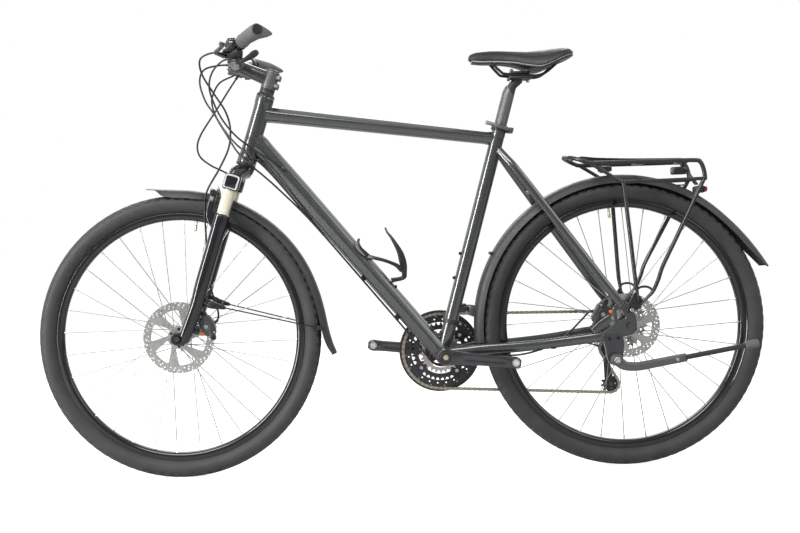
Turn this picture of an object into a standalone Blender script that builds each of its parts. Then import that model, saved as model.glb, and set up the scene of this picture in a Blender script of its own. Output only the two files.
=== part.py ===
# Trekking bicycle, metres, +X towards the front wheel, +Y to the rider's left, +Z up.
# The origin lies on the ground, in the middle of the length and of the width.

import math

import bmesh
import bpy
from mathutils import Matrix, Vector
from mathutils.geometry import tessellate_polygon

for old in list(bpy.data.objects):
    bpy.data.objects.remove(old, do_unlink=True)

# Play between pieces
gap = 0.0003
running_gap = 0.0005

# Wheels
wheel_radius = 0.360
wheelbase = 1.131
tyre_half_width = 0.024
tyre_wall = 0.003
tyre_height = 0.042
rim_half_width = 0.0125
rim_depth = 0.020
rim_wall = 0.0018
wheel_sides = 24
axle_radius = 0.005
front_dropout_gap = 0.100
rear_dropout_gap = 0.135
spoke_count = 32
spoke_radius = 0.0011
front_rotor_radius = 0.090
rear_rotor_radius = 0.080
rotor_thickness = 0.002
rotor_seat_radius = 0.016
front_rotor_inset = 0.0120
rear_rotor_inset = 0.0155

# Frame
bottom_bracket_behind = 0.6681
bottom_bracket_drop = 0.0645
bottom_shell_radius = 0.020
bottom_shell_width = 0.073
head_angle = math.radians(72.1)
fork_offset = 0.0369
fork_length = 0.4723
head_tube_length = 0.1757
head_tube_radius = 0.0225
tube_wall = 0.0016
seat_tube_lean = math.radians(15.9)
seat_tube_length = 0.602
seat_tube_radius = 0.01745
top_tube_front_along = 0.1309
top_tube_front_radius = 0.018
top_tube_rear_radius = 0.0145
top_tube_rear_along = 0.5667
down_tube_along = 0.0649
down_tube_radius = 0.024
chain_stay_height = 0.024
seat_stay_height = 0.020
stay_width = 0.014
dropout_thickness = 0.007

# Fork and cockpit
leg_lead = 0.0155
leg_spacing = 0.065
stanchion_radius = 0.0155
stanchion_wall = 0.0015
fork_travel = 0.060
crown_bottom = 0.3941
lower_leg_top = 0.3280
lower_leg_radius = 0.0195
bar_clamp_radius = 0.0159
bar_end_radius = 0.0111
bar_half_width = 0.325
grip_length = 0.130
grip_radius = 0.0165

# Seat
seat_post_radius = 0.0158
post_above_clamp = 0.105
post_insertion = 0.120
saddle_length = 0.260
saddle_width = 0.150

# Drive
crank_length = 0.175
crank_phase = math.radians(6.0)
chain_pitch = 0.0127
large_ring_teeth = 48
middle_ring_teeth = 36
small_ring_teeth = 26
cog_teeth = 13
pulley_teeth = 11
largest_cog_teeth = 34
tooth_thickness = 0.0017
large_ring_side = -0.0575
ring_pitch = 0.0075
cog_side = -0.0590
cog_pitch = 0.00395

# Mudguards and rack
mudguard_gap = 0.0205
front_mudguard_gap = 0.013
mudguard_half_width = 0.030
mudguard_depth = 0.018
mudguard_wall = 0.002
mudguard_tip_angle = math.radians(20.5)
mudguard_flare = 0.017
rack_tube_radius = 0.0055
rack_half_width = 0.060

# Places that follow from the sizes above
mudguard_radius = wheel_radius + mudguard_gap
tip_reach = (mudguard_radius + mudguard_flare) * math.cos(mudguard_tip_angle)
total_length = wheel_radius + wheelbase + tip_reach
front_axle_x = total_length / 2 - wheel_radius
rear_axle_x = front_axle_x - wheelbase


# A place given by its distance behind the front axle, its height over the axles and its side
def place(behind, above, side=0.0):
    return Vector((front_axle_x - behind, side, wheel_radius + above))


# A place behind the rear axle, above it and to the side
def rear_place(behind, above, side=0.0):
    return place(wheelbase + behind, above, side)


def from_rear_axle(outline):
    return [(wheelbase + behind, above) for behind, above in outline]


def from_bottom_bracket(outline):
    return [(bottom_bracket_behind + behind, above - bottom_bracket_drop) for behind, above in outline]


front_axle = place(0.0, 0.0)
rear_axle = place(wheelbase, 0.0)
bottom_bracket = place(bottom_bracket_behind, -bottom_bracket_drop)
steer_up = Vector((-math.cos(head_angle), 0.0, math.sin(head_angle)))
steer_forward = Vector((math.sin(head_angle), 0.0, math.cos(head_angle)))
steer_foot = front_axle - steer_forward * fork_offset
left = Vector((0.0, 1.0, 0.0))
seat_up = Vector((-math.sin(seat_tube_lean), 0.0, math.cos(seat_tube_lean)))
seat_back = Vector((-math.cos(seat_tube_lean), 0.0, -math.sin(seat_tube_lean)))


# A place in the fork's own directions: ahead of the steering axis, to the left, up the axis
def fork_place(ahead, side, up):
    return steer_foot + steer_forward * ahead + left * side + steer_up * up


# A place in the seat tube's own directions
def seat_place(back, side, up):
    return bottom_bracket + seat_back * back + left * side + seat_up * up


def material(name, colour, roughness, metallic=0.0):
    made = bpy.data.materials.new(name)
    made.use_nodes = True
    shader = made.node_tree.nodes["Principled BSDF"]
    shader.inputs["Base Color"].default_value = (*colour, 1.0)
    shader.inputs["Roughness"].default_value = roughness
    shader.inputs["Metallic"].default_value = metallic
    made.diffuse_color = (*colour, 1.0)
    return made


frame_paint = material("frame_paint", (0.060, 0.066, 0.062), 0.30, 0.5)
black_paint = material("black_paint", (0.018, 0.018, 0.020), 0.25)
satin_black = material("satin_black", (0.030, 0.030, 0.032), 0.5)
champagne = material("champagne", (0.80, 0.76, 0.62), 0.2, 0.8)
bare_alloy = material("bare_alloy", (0.45, 0.45, 0.46), 0.35, 1.0)
dark_alloy = material("dark_alloy", (0.10, 0.10, 0.105), 0.35, 0.8)
steel = material("steel", (0.55, 0.54, 0.52), 0.3, 1.0)
chain_steel = material("chain_steel", (0.36, 0.31, 0.25), 0.4, 1.0)
tyre_rubber = material("tyre_rubber", (0.030, 0.030, 0.032), 0.8)
grip_rubber = material("grip_rubber", (0.060, 0.060, 0.062), 0.85)
guard_plastic = material("guard_plastic", (0.045, 0.045, 0.047), 0.6)
hose_plastic = material("hose_plastic", (0.012, 0.012, 0.013), 0.45)
saddle_cover = material("saddle_cover", (0.020, 0.020, 0.022), 0.5)
red_lens = material("red_lens", (0.35, 0.01, 0.015), 0.2)


# A shape is a list of points and a list of faces
def joined(shapes):
    points = []
    faces = []
    for shape_points, shape_faces in shapes:
        start = len(points)
        points.extend(shape_points)
        faces.extend([tuple(start + i for i in face) for face in shape_faces])
    return points, faces


def mirrored(shape):
    points, faces = shape
    flipped = [Vector((p.x, -p.y, p.z)) for p in points]
    return flipped, [tuple(reversed(face)) for face in faces]


# A regular section of a tube: sides flats, the first flat facing along the first direction
def round_section(sides, radius, other_radius=None):
    second = radius if other_radius is None else other_radius
    step = 2 * math.pi / sides
    return [(radius * math.cos((k + 0.5) * step), second * math.sin((k + 0.5) * step)) for k in range(sides)]


def box_section(width, height):
    wide = width / 2
    high = height / 2
    return [(wide, high), (-wide, high), (-wide, -high), (wide, -high)]


# Rings of points along a path; each section point is (along across, along the other normal)
def rings_along(points, sections, across):
    rings = []
    side = across.normalized()
    count = len(points)
    for index, point in enumerate(points):
        ahead = points[min(index + 1, count - 1)] - points[max(index - 1, 0)]
        tangent = ahead.normalized()
        side = (side - tangent * side.dot(tangent)).normalized()
        normal = tangent.cross(side)
        section = sections[index] if isinstance(sections[0], list) else sections
        rings.append([point + side * u + normal * v for u, v in section])
    return rings


def skin(rings, start, wrap=False):
    faces = []
    size = len(rings[0])
    pairs = len(rings) if wrap else len(rings) - 1
    for i in range(pairs):
        near = start + i * size
        far = start + ((i + 1) % len(rings)) * size
        for j in range(size):
            k = (j + 1) % size
            faces.append((near + j, near + k, far + k, far + j))
    return faces


# A solid swept along a path
def sweep(points, sections, across=left):
    rings = rings_along(points, sections, across)
    size = len(rings[0])
    faces = skin(rings, 0)
    last = (len(rings) - 1) * size
    faces.append(tuple(reversed(range(size))))
    faces.append(tuple(last + j for j in range(size)))
    return [p for ring in rings for p in ring], faces


# A tube with open ends swept along a path
def pipe(points, outer, inner, across=left):
    outside = rings_along(points, outer, across)
    inside = rings_along(points, inner, across)
    size = len(outside[0])
    offset = len(outside) * size
    faces = skin(outside, 0)
    faces += [tuple(reversed(face)) for face in skin(inside, offset)]
    last = (len(outside) - 1) * size
    for j in range(size):
        k = (j + 1) % size
        faces.append((k, j, offset + j, offset + k))
        faces.append((last + j, last + k, offset + last + k, offset + last + j))
    return [p for ring in outside + inside for p in ring], faces


# Directions of a piece turned about an axis through a point
def turned_place(origin, axis):
    z = axis.normalized()
    x = Vector((1.0, 0.0, 0.0)) if abs(z.x) < 0.9 else Vector((0.0, 0.0, 1.0))
    x = (x - z * x.dot(z)).normalized()
    y = z.cross(x)
    return Matrix.Translation(origin) @ Matrix((x, y, z)).transposed().to_4x4()


# A turned solid; the profile is (radius, along the axis), and a closed profile leaves a bore
def turned(profile, sides, origin, axis=left, closed=False):
    place_matrix = turned_place(origin, axis)
    points = []
    ring_of = []
    step = 2 * math.pi / sides
    for radius, along in profile:
        if radius == 0.0:
            ring_of.append([len(points)])
            points.append(Vector((0.0, 0.0, along)))
            continue
        ring_of.append([len(points) + k for k in range(sides)])
        for k in range(sides):
            angle = (k + 0.5) * step
            points.append(Vector((radius * math.cos(angle), radius * math.sin(angle), along)))
    faces = []
    count = len(profile) if closed else len(profile) - 1
    for i in range(count):
        a = ring_of[i]
        b = ring_of[(i + 1) % len(profile)]
        if len(a) == 1 and len(b) == 1:
            continue
        for k in range(sides):
            n = (k + 1) % sides
            if len(a) == 1:
                faces.append((a[0], b[n], b[k]))
            elif len(b) == 1:
                faces.append((a[k], a[n], b[0]))
            else:
                faces.append((a[k], a[n], b[n], b[k]))
    return [place_matrix @ point for point in points], faces


# A plain round bar between two points
def rod(start, end, radius, sides=8, end_radius=None):
    length = (end - start).length
    last = radius if end_radius is None else end_radius
    return turned([(0.0, 0.0), (radius, 0.0), (last, length), (0.0, length)], sides, start, end - start)


# A flat plate, its outline and holes given in the plane of the bike (behind, above) round a centre
def plate(outline, side, thickness, holes=()):
    loops = [outline] + [list(hole) for hole in holes]
    flat = [Vector((x, z, 0.0)) for loop in loops for x, z in loop]
    triangles = tessellate_polygon([[Vector((x, z, 0.0)) for x, z in loop] for loop in loops])
    count = len(flat)
    points = [place(v.x, v.y, side) for v in flat] + [place(v.x, v.y, side + thickness) for v in flat]
    faces = [tuple(t) for t in triangles] + [tuple(count + i for i in reversed(t)) for t in triangles]
    start = 0
    for loop in loops:
        size = len(loop)
        for j in range(size):
            k = (j + 1) % size
            faces.append((start + j, start + k, count + start + k, count + start + j))
        start += size
    return points, faces


def circle_loop(behind, above, radius, sides, phase=0.5):
    step = 2 * math.pi / sides
    angles = [(k + phase) * step for k in range(sides)]
    return [(behind + radius * math.cos(a), above + radius * math.sin(a)) for a in angles]


def box(centre, size, directions=None):
    half = [s / 2 for s in size]
    axes = directions or (Vector((1, 0, 0)), Vector((0, 1, 0)), Vector((0, 0, 1)))
    points = []
    for sx in (-1, 1):
        for sy in (-1, 1):
            for sz in (-1, 1):
                offset = axes[0] * (sx * half[0]) + axes[1] * (sy * half[1]) + axes[2] * (sz * half[2])
                points.append(centre + offset)
    faces = [(0, 1, 3, 2), (4, 6, 7, 5), (0, 4, 5, 1), (2, 3, 7, 6), (0, 2, 6, 4), (1, 5, 7, 3)]
    return points, faces


# A smooth curve through the given points
def smooth_path(points, pieces):
    ends = [points[0] * 2 - points[1]] + list(points) + [points[-1] * 2 - points[-2]]
    path = []
    for i in range(1, len(ends) - 2):
        a, b, c, d = ends[i - 1], ends[i], ends[i + 1], ends[i + 2]
        for k in range(pieces):
            t = k / pieces
            path.append(
                b
                + (c - a) * (0.5 * t)
                + (a * 2 - b * 5 + c * 4 - d) * (0.5 * t * t)
                + (b * 3 - a - c * 3 + d) * (0.5 * t * t * t)
            )
    path.append(points[-1].copy())
    return path


def mesh_from(shape, name):
    mesh = bpy.data.meshes.new(name)
    points, faces = shape
    mesh.from_pydata([tuple(p) for p in points], [], faces)
    work = bmesh.new()
    work.from_mesh(mesh)
    bmesh.ops.remove_doubles(work, verts=work.verts, dist=0.000002)
    bmesh.ops.recalc_face_normals(work, faces=work.faces)
    work.to_mesh(mesh)
    work.free()
    return mesh


# One body from a first shape, with others welded on and others cut away
def welded(first, added=(), cut=()):
    base = bpy.data.objects.new("base", mesh_from(first, "base"))
    bpy.context.scene.collection.objects.link(base)
    helpers = []
    for operation, shapes in (("UNION", added), ("DIFFERENCE", cut)):
        for shape in shapes:
            helper = bpy.data.objects.new("helper", mesh_from(shape, "helper"))
            bpy.context.scene.collection.objects.link(helper)
            helpers.append(helper)
            step = base.modifiers.new(operation, "BOOLEAN")
            step.operation = operation
            step.solver = "EXACT"
            step.object = helper
    bpy.context.view_layer.update()
    evaluated = base.evaluated_get(bpy.context.evaluated_depsgraph_get())
    result = bpy.data.meshes.new_from_object(evaluated)
    points = [vertex.co.copy() for vertex in result.vertices]
    faces = [tuple(polygon.vertices) for polygon in result.polygons]
    for spare in helpers + [base]:
        bpy.data.objects.remove(spare, do_unlink=True)
    bpy.data.meshes.remove(result)
    return points, faces


# An empty on a joint's axis, which the moving pieces are parented to
def joint_empty(name, location, parent=None, rotation=(0.0, 0.0, 0.0)):
    empty = bpy.data.objects.new(name, None)
    bpy.context.scene.collection.objects.link(empty)
    empty.location = location
    empty.rotation_euler = rotation
    if parent is not None:
        empty.parent = parent
        empty.matrix_parent_inverse = parent.matrix_world.inverted()
    bpy.context.view_layer.update()
    return empty


# A named piece of the bicycle
def piece(name, shape, finish, carrier, sharp=35.0):
    mesh = mesh_from(shape, name)
    mesh.materials.append(finish)
    mesh.transform(carrier.matrix_world.inverted())
    mesh.shade_smooth()
    mesh.set_sharp_from_angle(angle=math.radians(sharp))
    made = bpy.data.objects.new(name, mesh)
    bpy.context.scene.collection.objects.link(made)
    made.parent = carrier
    return made


bike = joint_empty("bicycle", Vector((0.0, 0.0, 0.0)))
steering = joint_empty("steering_axis", steer_foot, rotation=(0.0, head_angle - math.pi / 2, 0.0))
fork_slide = joint_empty("fork_travel", steer_foot, steering, (0.0, head_angle - math.pi / 2, 0.0))
front_spin = joint_empty("front_wheel_axis", front_axle)
rear_spin = joint_empty("rear_wheel_axis", rear_axle)
crank_spin = joint_empty("crank_axis", bottom_bracket)

# Main tubes
head_bottom = fork_length
head_top = fork_length + head_tube_length
head_bore = head_tube_radius - 0.004
post_bore = seat_post_radius + 0.00035
shell_bore = 0.0172


def head_cutter(extra=gap):
    ends = [fork_place(0.0, 0.0, head_bottom - 0.02), fork_place(0.0, 0.0, head_top + 0.02)]
    return rod(ends[0], ends[1], head_tube_radius + extra, 24)


def seat_cutter(extra=gap):
    top = seat_place(0.0, 0.0, seat_tube_length)
    return rod(seat_place(0.0, 0.0, -0.01), top, seat_tube_radius + extra, 24)


def shell_cutter(extra=gap):
    half = left * (bottom_shell_width / 2 + 0.03)
    return rod(bottom_bracket - half, bottom_bracket + half, bottom_shell_radius + extra, 24)


def head_tube():
    flare = 0.0025
    stops = [0.0, 0.018, 0.030, head_tube_length - 0.024, head_tube_length - 0.014, head_tube_length]
    swell = [flare, flare, 0.0, 0.0, flare / 2, flare / 2]
    path = [fork_place(0.0, 0.0, head_bottom + along) for along in stops]
    outer = [round_section(16, head_tube_radius + extra) for extra in swell]
    inner = [round_section(16, head_bore) for _ in stops]
    piece("head_tube", pipe(path, outer, inner), frame_paint, bike)


top_front = fork_place(0.0, 0.0, head_bottom + top_tube_front_along)
top_rear = seat_place(0.0, 0.0, top_tube_rear_along)
down_front = fork_place(0.0, 0.0, head_bottom + down_tube_along)


def top_tube():
    outer = []
    inner = []
    for tall in (top_tube_front_radius, top_tube_rear_radius):
        outer.append(round_section(16, tall * 0.95, tall))
        inner.append(round_section(16, tall * 0.95 - tube_wall, tall - tube_wall))
    shape = welded(pipe([top_front, top_rear], outer, inner), cut=[head_cutter(0.0026), seat_cutter()])
    piece("top_tube", shape, frame_paint, bike)


def down_tube():
    outer = round_section(16, down_tube_radius)
    inner = round_section(16, down_tube_radius - tube_wall)
    cutters = [head_cutter(0.0026), seat_cutter(), shell_cutter()]
    shape = welded(pipe([down_front, bottom_bracket], outer, inner), cut=cutters)
    piece("down_tube", shape, frame_paint, bike)


def seat_tube():
    high = seat_place(0.0, 0.0, seat_tube_length)
    ends = [seat_place(0.0, 0.0, 0.006), high]
    tube = pipe(ends, round_section(20, seat_tube_radius), round_section(20, post_bore))
    half = left * (bottom_shell_width / 2)
    shell = rod(bottom_bracket - half, bottom_bracket + half, bottom_shell_radius, 24)
    bore = rod(bottom_bracket - half * 1.2, bottom_bracket + half * 1.2, shell_bore, 24)
    slot = box(high + seat_back * seat_tube_radius, (0.02, 0.003, 0.07), (seat_back, left, seat_up))
    piece("seat_tube", welded(tube, [shell], [bore, slot]), frame_paint, bike)


# Stays and dropout of one side, drawn for the left and mirrored for the right
dropout_inside = rear_dropout_gap / 2 + gap
kickstand_pivot = (wheelbase - 0.041, -0.081)


def stay_section(height):
    return round_section(8, stay_width / 2, height / 2)


def rear_stays(side_name, sign):
    inner = dropout_inside + dropout_thickness / 2
    chain_path = [
        place(bottom_bracket_behind + 0.010, -0.062, 0.024),
        place(bottom_bracket_behind + 0.060, -0.058, 0.0285),
        place(bottom_bracket_behind + 0.110, -0.052, 0.0385),
        place(wheelbase - 0.200, -0.041, 0.0520),
        place(wheelbase - 0.140, -0.034, 0.0595),
        place(wheelbase - 0.078, -0.026, inner - 0.001),
        place(wheelbase - 0.045, -0.022, inner),
    ]
    chain_stay = sweep(chain_path, stay_section(chain_stay_height))
    upper = seat_place(0.0557, 0.0, seat_tube_length - 0.0970)
    lower = rear_place(-0.038, 0.078)
    seat_path = [
        seat_place(0.0104, 0.010, seat_tube_length - 0.0620),
        seat_place(0.0305, 0.024, seat_tube_length - 0.0780),
        upper + left * 0.036,
        upper.lerp(lower, 0.19) + left * 0.044,
        upper.lerp(lower, 0.68) + left * 0.060,
        lower + left * inner,
        rear_place(-0.019, 0.050, inner),
    ]
    seat_stay = sweep(seat_path, stay_section(seat_stay_height))
    outline = [
        (wheelbase - 0.062, -0.037),
        (wheelbase - 0.064, -0.014),
        (wheelbase - 0.036, 0.006),
        (wheelbase - 0.040, 0.046),
        (wheelbase - 0.014, 0.064),
        (wheelbase + 0.014, 0.026),
        (wheelbase + 0.017, -0.010),
        (wheelbase + 0.008, -0.020),
        (wheelbase - 0.016, -0.024),
    ]
    axle_hole = circle_loop(wheelbase, 0.0, axle_radius + running_gap, 12)
    dropout = plate(outline, dropout_inside, dropout_thickness, [axle_hole])
    cutters = [shell_cutter(), seat_cutter()]
    added = [seat_stay, dropout]
    if sign > 0:
        behind, above = kickstand_pivot
        bracket_outline = [
            (behind - 0.028, -0.022),
            (behind + 0.016, -0.018),
            (behind + 0.017, above - 0.004),
            (behind + 0.008, above - 0.015),
            (behind - 0.008, above - 0.015),
            (behind - 0.019, above - 0.002),
        ]
        hole = circle_loop(behind, above, 0.0044, 10)
        added.append(plate(bracket_outline, dropout_inside + 0.002, 0.010, [hole]))
        mount = sweep(
            [rear_place(-0.091, -0.012, 0.0720), rear_place(-0.048, 0.022, 0.0720)],
            box_section(0.006, 0.018),
        )
        added.append(mount)
    else:
        hanger = [
            (wheelbase - 0.006, -0.012),
            (wheelbase + 0.017, -0.008),
            (wheelbase + 0.017, -0.030),
            (wheelbase + 0.008, -0.037),
            (wheelbase - 0.002, -0.032),
        ]
        added.append(plate(hanger, dropout_inside, dropout_thickness))
        for shape_index, shape in enumerate(added):
            added[shape_index] = mirrored(shape)
        chain_stay = mirrored(chain_stay)
    shape = welded(chain_stay, added, cutters)
    piece("rear_stays_" + side_name, shape, frame_paint, bike)


def bottom_bracket_sleeve():
    outside = bottom_shell_width / 2
    spindle_bore = 0.0125
    cup = 0.0215
    half = outside + 0.009
    profile = [(spindle_bore, -half), (cup, -half), (cup, -outside - gap), (shell_bore - gap, -outside - gap)]
    profile += [(radius, -along) for radius, along in reversed(profile)]
    shape = turned(profile, 16, bottom_bracket, closed=True)
    piece("bottom_bracket_sleeve", shape, dark_alloy, bike)


steerer_radius = 0.0143
stem_bottom = head_top + 0.0205


def headset():
    cup = head_bore * math.cos(math.pi / 16) - gap
    profile = [
        (steerer_radius + running_gap, head_top - 0.010),
        (cup, head_top - 0.010),
        (cup, head_top + gap),
        (head_tube_radius + 0.001, head_top + gap),
        (head_tube_radius + 0.001, head_top + 0.005),
        (steerer_radius + 0.0035, head_top + 0.018),
        (steerer_radius + 0.0035, stem_bottom - gap),
        (steerer_radius + running_gap, stem_bottom - gap),
    ]
    piece("headset_top", turned(profile, 16, steer_foot, steer_up, closed=True), satin_black, bike)


# Wheels are drawn in the middle of the bicycle and turn about their axles
def tyre(name, centre, carrier):
    side = tyre_half_width
    bead = rim_half_width - rim_wall - gap
    outside = wheel_radius / math.cos(math.pi / wheel_sides)
    low = outside - tyre_height - 0.007
    outer = [
        (low, bead),
        (low + 0.0065, bead),
        (outside - 0.023, side),
        (outside - 0.009, side - 0.0072),
        (outside, 0.010),
    ]
    inner = [
        (low, bead - tyre_wall),
        (low + 0.0065, bead - tyre_wall),
        (outside - 0.024, side - tyre_wall),
        (outside - tyre_wall - 0.001, 0.008),
    ]
    profile = outer + [(r, -y) for r, y in reversed(outer)] + [(r, -y) for r, y in inner]
    profile += [(r, y) for r, y in reversed(inner)]
    piece(name, turned(profile, wheel_sides, centre, closed=True), tyre_rubber, carrier)


def rim(name, centre, carrier):
    outside = wheel_radius / math.cos(math.pi / wheel_sides)
    flange = outside - tyre_height - 0.002
    bed = flange - rim_depth
    half = rim_half_width
    outer = [(flange, half), (flange - 0.013, half), (bed, 0.006)]
    inner = [(flange, half - rim_wall), (flange - 0.012, half - rim_wall), (bed + rim_wall, 0.005)]
    profile = outer + [(r, -y) for r, y in reversed(outer)] + [(r, -y) for r, y in inner]
    profile += [(r, y) for r, y in reversed(inner)]
    piece(name, turned(profile, wheel_sides, centre, closed=True), black_paint, carrier)


def rim_bed_radius():
    return wheel_radius - tyre_height - 0.002 - rim_depth


# Spokes cross three others on their side of the hub, every second one leading
def spokes(centre, flange_radius, flange_sides):
    shapes = []
    per_side = spoke_count // 2
    step = 2 * math.pi / per_side
    rim_end = rim_bed_radius() - 0.0015
    for sign in (1, -1):
        for index in range(per_side):
            hub_angle = index * step + (0.0 if sign > 0 else step / 2)
            leading = 1 if index % 2 == 0 else -1
            rim_angle = hub_angle + leading * 3 * step
            near = flange_sides[sign] + sign * leading * 0.0012
            far = sign * (0.0035 + leading * 0.0015)
            start = Vector((flange_radius * math.cos(hub_angle), near, flange_radius * math.sin(hub_angle)))
            end = Vector((rim_end * math.cos(rim_angle), far, rim_end * math.sin(rim_angle)))
            shapes.append(sweep([centre + start, centre + end], round_section(3, spoke_radius), left))
    return joined(shapes)


def wheel_hub(name, centre, carrier, profile, flange_radius, flange_sides):
    body = turned(profile, 12, centre, closed=True)
    shape = welded(body, [spokes(centre, flange_radius, flange_sides)])
    piece(name, shape, bare_alloy, carrier)


def front_hub():
    bore = axle_radius + running_gap
    end = front_dropout_gap / 2 - gap - 0.0005
    rotor_face = front_dropout_gap / 2 - front_rotor_inset - rotor_thickness / 2
    profile = [
        (bore, -end),
        (0.009, -end),
        (0.012, -0.038),
        (0.026, -0.0345),
        (0.026, -0.0315),
        (0.0125, -0.028),
        (0.0125, 0.018),
        (0.026, 0.0205),
        (0.026, 0.0235),
        (0.021, 0.026),
        (0.021, rotor_face - gap),
        (rotor_seat_radius, rotor_face - gap),
        (rotor_seat_radius, rotor_face + 0.004),
        (0.009, end),
        (bore, end),
    ]
    wheel_hub("front_hub", front_axle, front_spin, profile, 0.022, {1: 0.022, -1: -0.033})


def rear_hub():
    bore = axle_radius + running_gap
    end = rear_dropout_gap / 2 - gap - 0.0005
    rotor_face = rear_dropout_gap / 2 - rear_rotor_inset - rotor_thickness / 2
    profile = [
        (bore, cog_side + 9 * cog_pitch + 0.0012),
        (0.014, cog_side + 9 * cog_pitch + 0.0012),
        (0.0265, -0.0195),
        (0.0265, -0.0165),
        (0.015, -0.013),
        (0.015, 0.026),
        (0.0265, 0.0315),
        (0.0265, 0.0345),
        (0.021, 0.038),
        (0.021, rotor_face - gap),
        (rotor_seat_radius, rotor_face - gap),
        (rotor_seat_radius, rotor_face + 0.004),
        (0.009, end),
        (bore, end),
    ]
    wheel_hub("rear_hub", rear_axle, rear_spin, profile, 0.0225, {1: 0.033, -1: -0.018})


# A brake disc: braking ring, slanted arms and a centre ring over the hub's spigot
def rotor(name, centre, carrier, radius, side):
    behind = front_axle_x - centre.x
    arms = 6
    windows = []
    for index in range(arms):
        start = 2 * math.pi * index / arms
        window = []
        for turn, share in ((0.32, 0.36), (0.80, 0.36), (1.05, 0.78), (0.78, 0.80), (0.50, 0.80)):
            angle = start + turn * 2 * math.pi / arms
            reach = radius * share
            window.append((behind + reach * math.cos(angle), reach * math.sin(angle)))
        windows.append(window)
    hole = circle_loop(behind, 0.0, rotor_seat_radius / math.cos(math.pi / 12) + gap, 12)
    outline = circle_loop(behind, 0.0, radius, 24)
    shape = plate(outline, side - rotor_thickness / 2, rotor_thickness, [hole] + windows)
    piece(name, shape, steel, carrier)


def axle(name, centre, half, carrier):
    nut = 0.0085
    profile = [
        (0.0, -half - 0.012),
        (nut, -half - 0.012),
        (nut, -half - gap),
        (axle_radius, -half - gap),
        (axle_radius, half + gap),
        (nut, half + gap),
        (nut, half + 0.010),
        (0.0, half + 0.010),
    ]
    piece(name, turned(profile, 12, centre), dark_alloy, carrier)


def wheels():
    tyre("front_tyre", front_axle, front_spin)
    tyre("rear_tyre", rear_axle, rear_spin)
    rim("front_rim", front_axle, front_spin)
    rim("rear_rim", rear_axle, rear_spin)
    front_hub()
    rear_hub()
    front_side = front_dropout_gap / 2 - front_rotor_inset
    rear_side = rear_dropout_gap / 2 - rear_rotor_inset
    rotor("front_rotor", front_axle, front_spin, front_rotor_radius, front_side)
    rotor("rear_rotor", rear_axle, rear_spin, rear_rotor_radius, rear_side)


head_tube()
top_tube()
down_tube()
seat_tube()
rear_stays("left", 1)
rear_stays("right", -1)
bottom_bracket_sleeve()
headset()
wheels()
axle("rear_axle", rear_axle, dropout_inside + dropout_thickness, bike)

# Fork
stanchion_top = crown_bottom + 0.024
stanchion_end = 0.215
crown_height = 0.042


def leg_axis(side, along):
    return fork_place(leg_lead, side * leg_spacing, along)


def fork_crown():
    bridge_path = []
    for side, ahead, along in (
        (-leg_spacing, leg_lead, crown_bottom + 0.024),
        (-0.046, 0.0120, crown_bottom + 0.0445),
        (-0.030, 0.0050, crown_bottom + 0.0565),
        (0.0, 0.0010, crown_bottom + 0.0580),
        (0.030, 0.0050, crown_bottom + 0.0565),
        (0.046, 0.0120, crown_bottom + 0.0445),
        (leg_spacing, leg_lead, crown_bottom + 0.024),
    ):
        bridge_path.append(fork_place(ahead, side, along))
    bridge = sweep(bridge_path, box_section(0.036, 0.033), steer_forward)
    shapes = []
    for side in (1, -1):
        low = leg_axis(side, crown_bottom)
        profile = [
            (0.0, 0.0),
            (stanchion_radius + 0.0045, 0.0),
            (stanchion_radius + 0.0055, crown_height * 0.8),
            (stanchion_radius + 0.0025, crown_height),
            (0.0, crown_height + 0.001),
        ]
        shapes.append(turned(profile, 12, low, steer_up))
        shapes.append(rod(leg_axis(side, stanchion_end), leg_axis(side, stanchion_top), stanchion_radius, 12))
    race_top = fork_place(0, 0, head_bottom - gap)
    race = rod(fork_place(0, 0, head_bottom - 0.012), race_top, head_tube_radius + 0.002, 16)
    top = stem_bottom + stem_clamp_height - 0.003
    steerer = rod(fork_place(0, 0, head_bottom - 0.02), fork_place(0, 0, top), steerer_radius, 16)
    bore = rod(fork_place(0, 0, crown_bottom), fork_place(0, 0, top + 0.01), steerer_radius - 0.0025, 12)
    hollows = [bore]
    for side in (1, -1):
        ends = (leg_axis(side, stanchion_end - 0.01), leg_axis(side, stanchion_top - 0.004))
        hollows.append(rod(ends[0], ends[1], stanchion_radius - stanchion_wall, 12))
    shape = welded(bridge, shapes + [race, steerer], hollows)
    piece("fork_crown", shape, champagne, steering)


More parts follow.
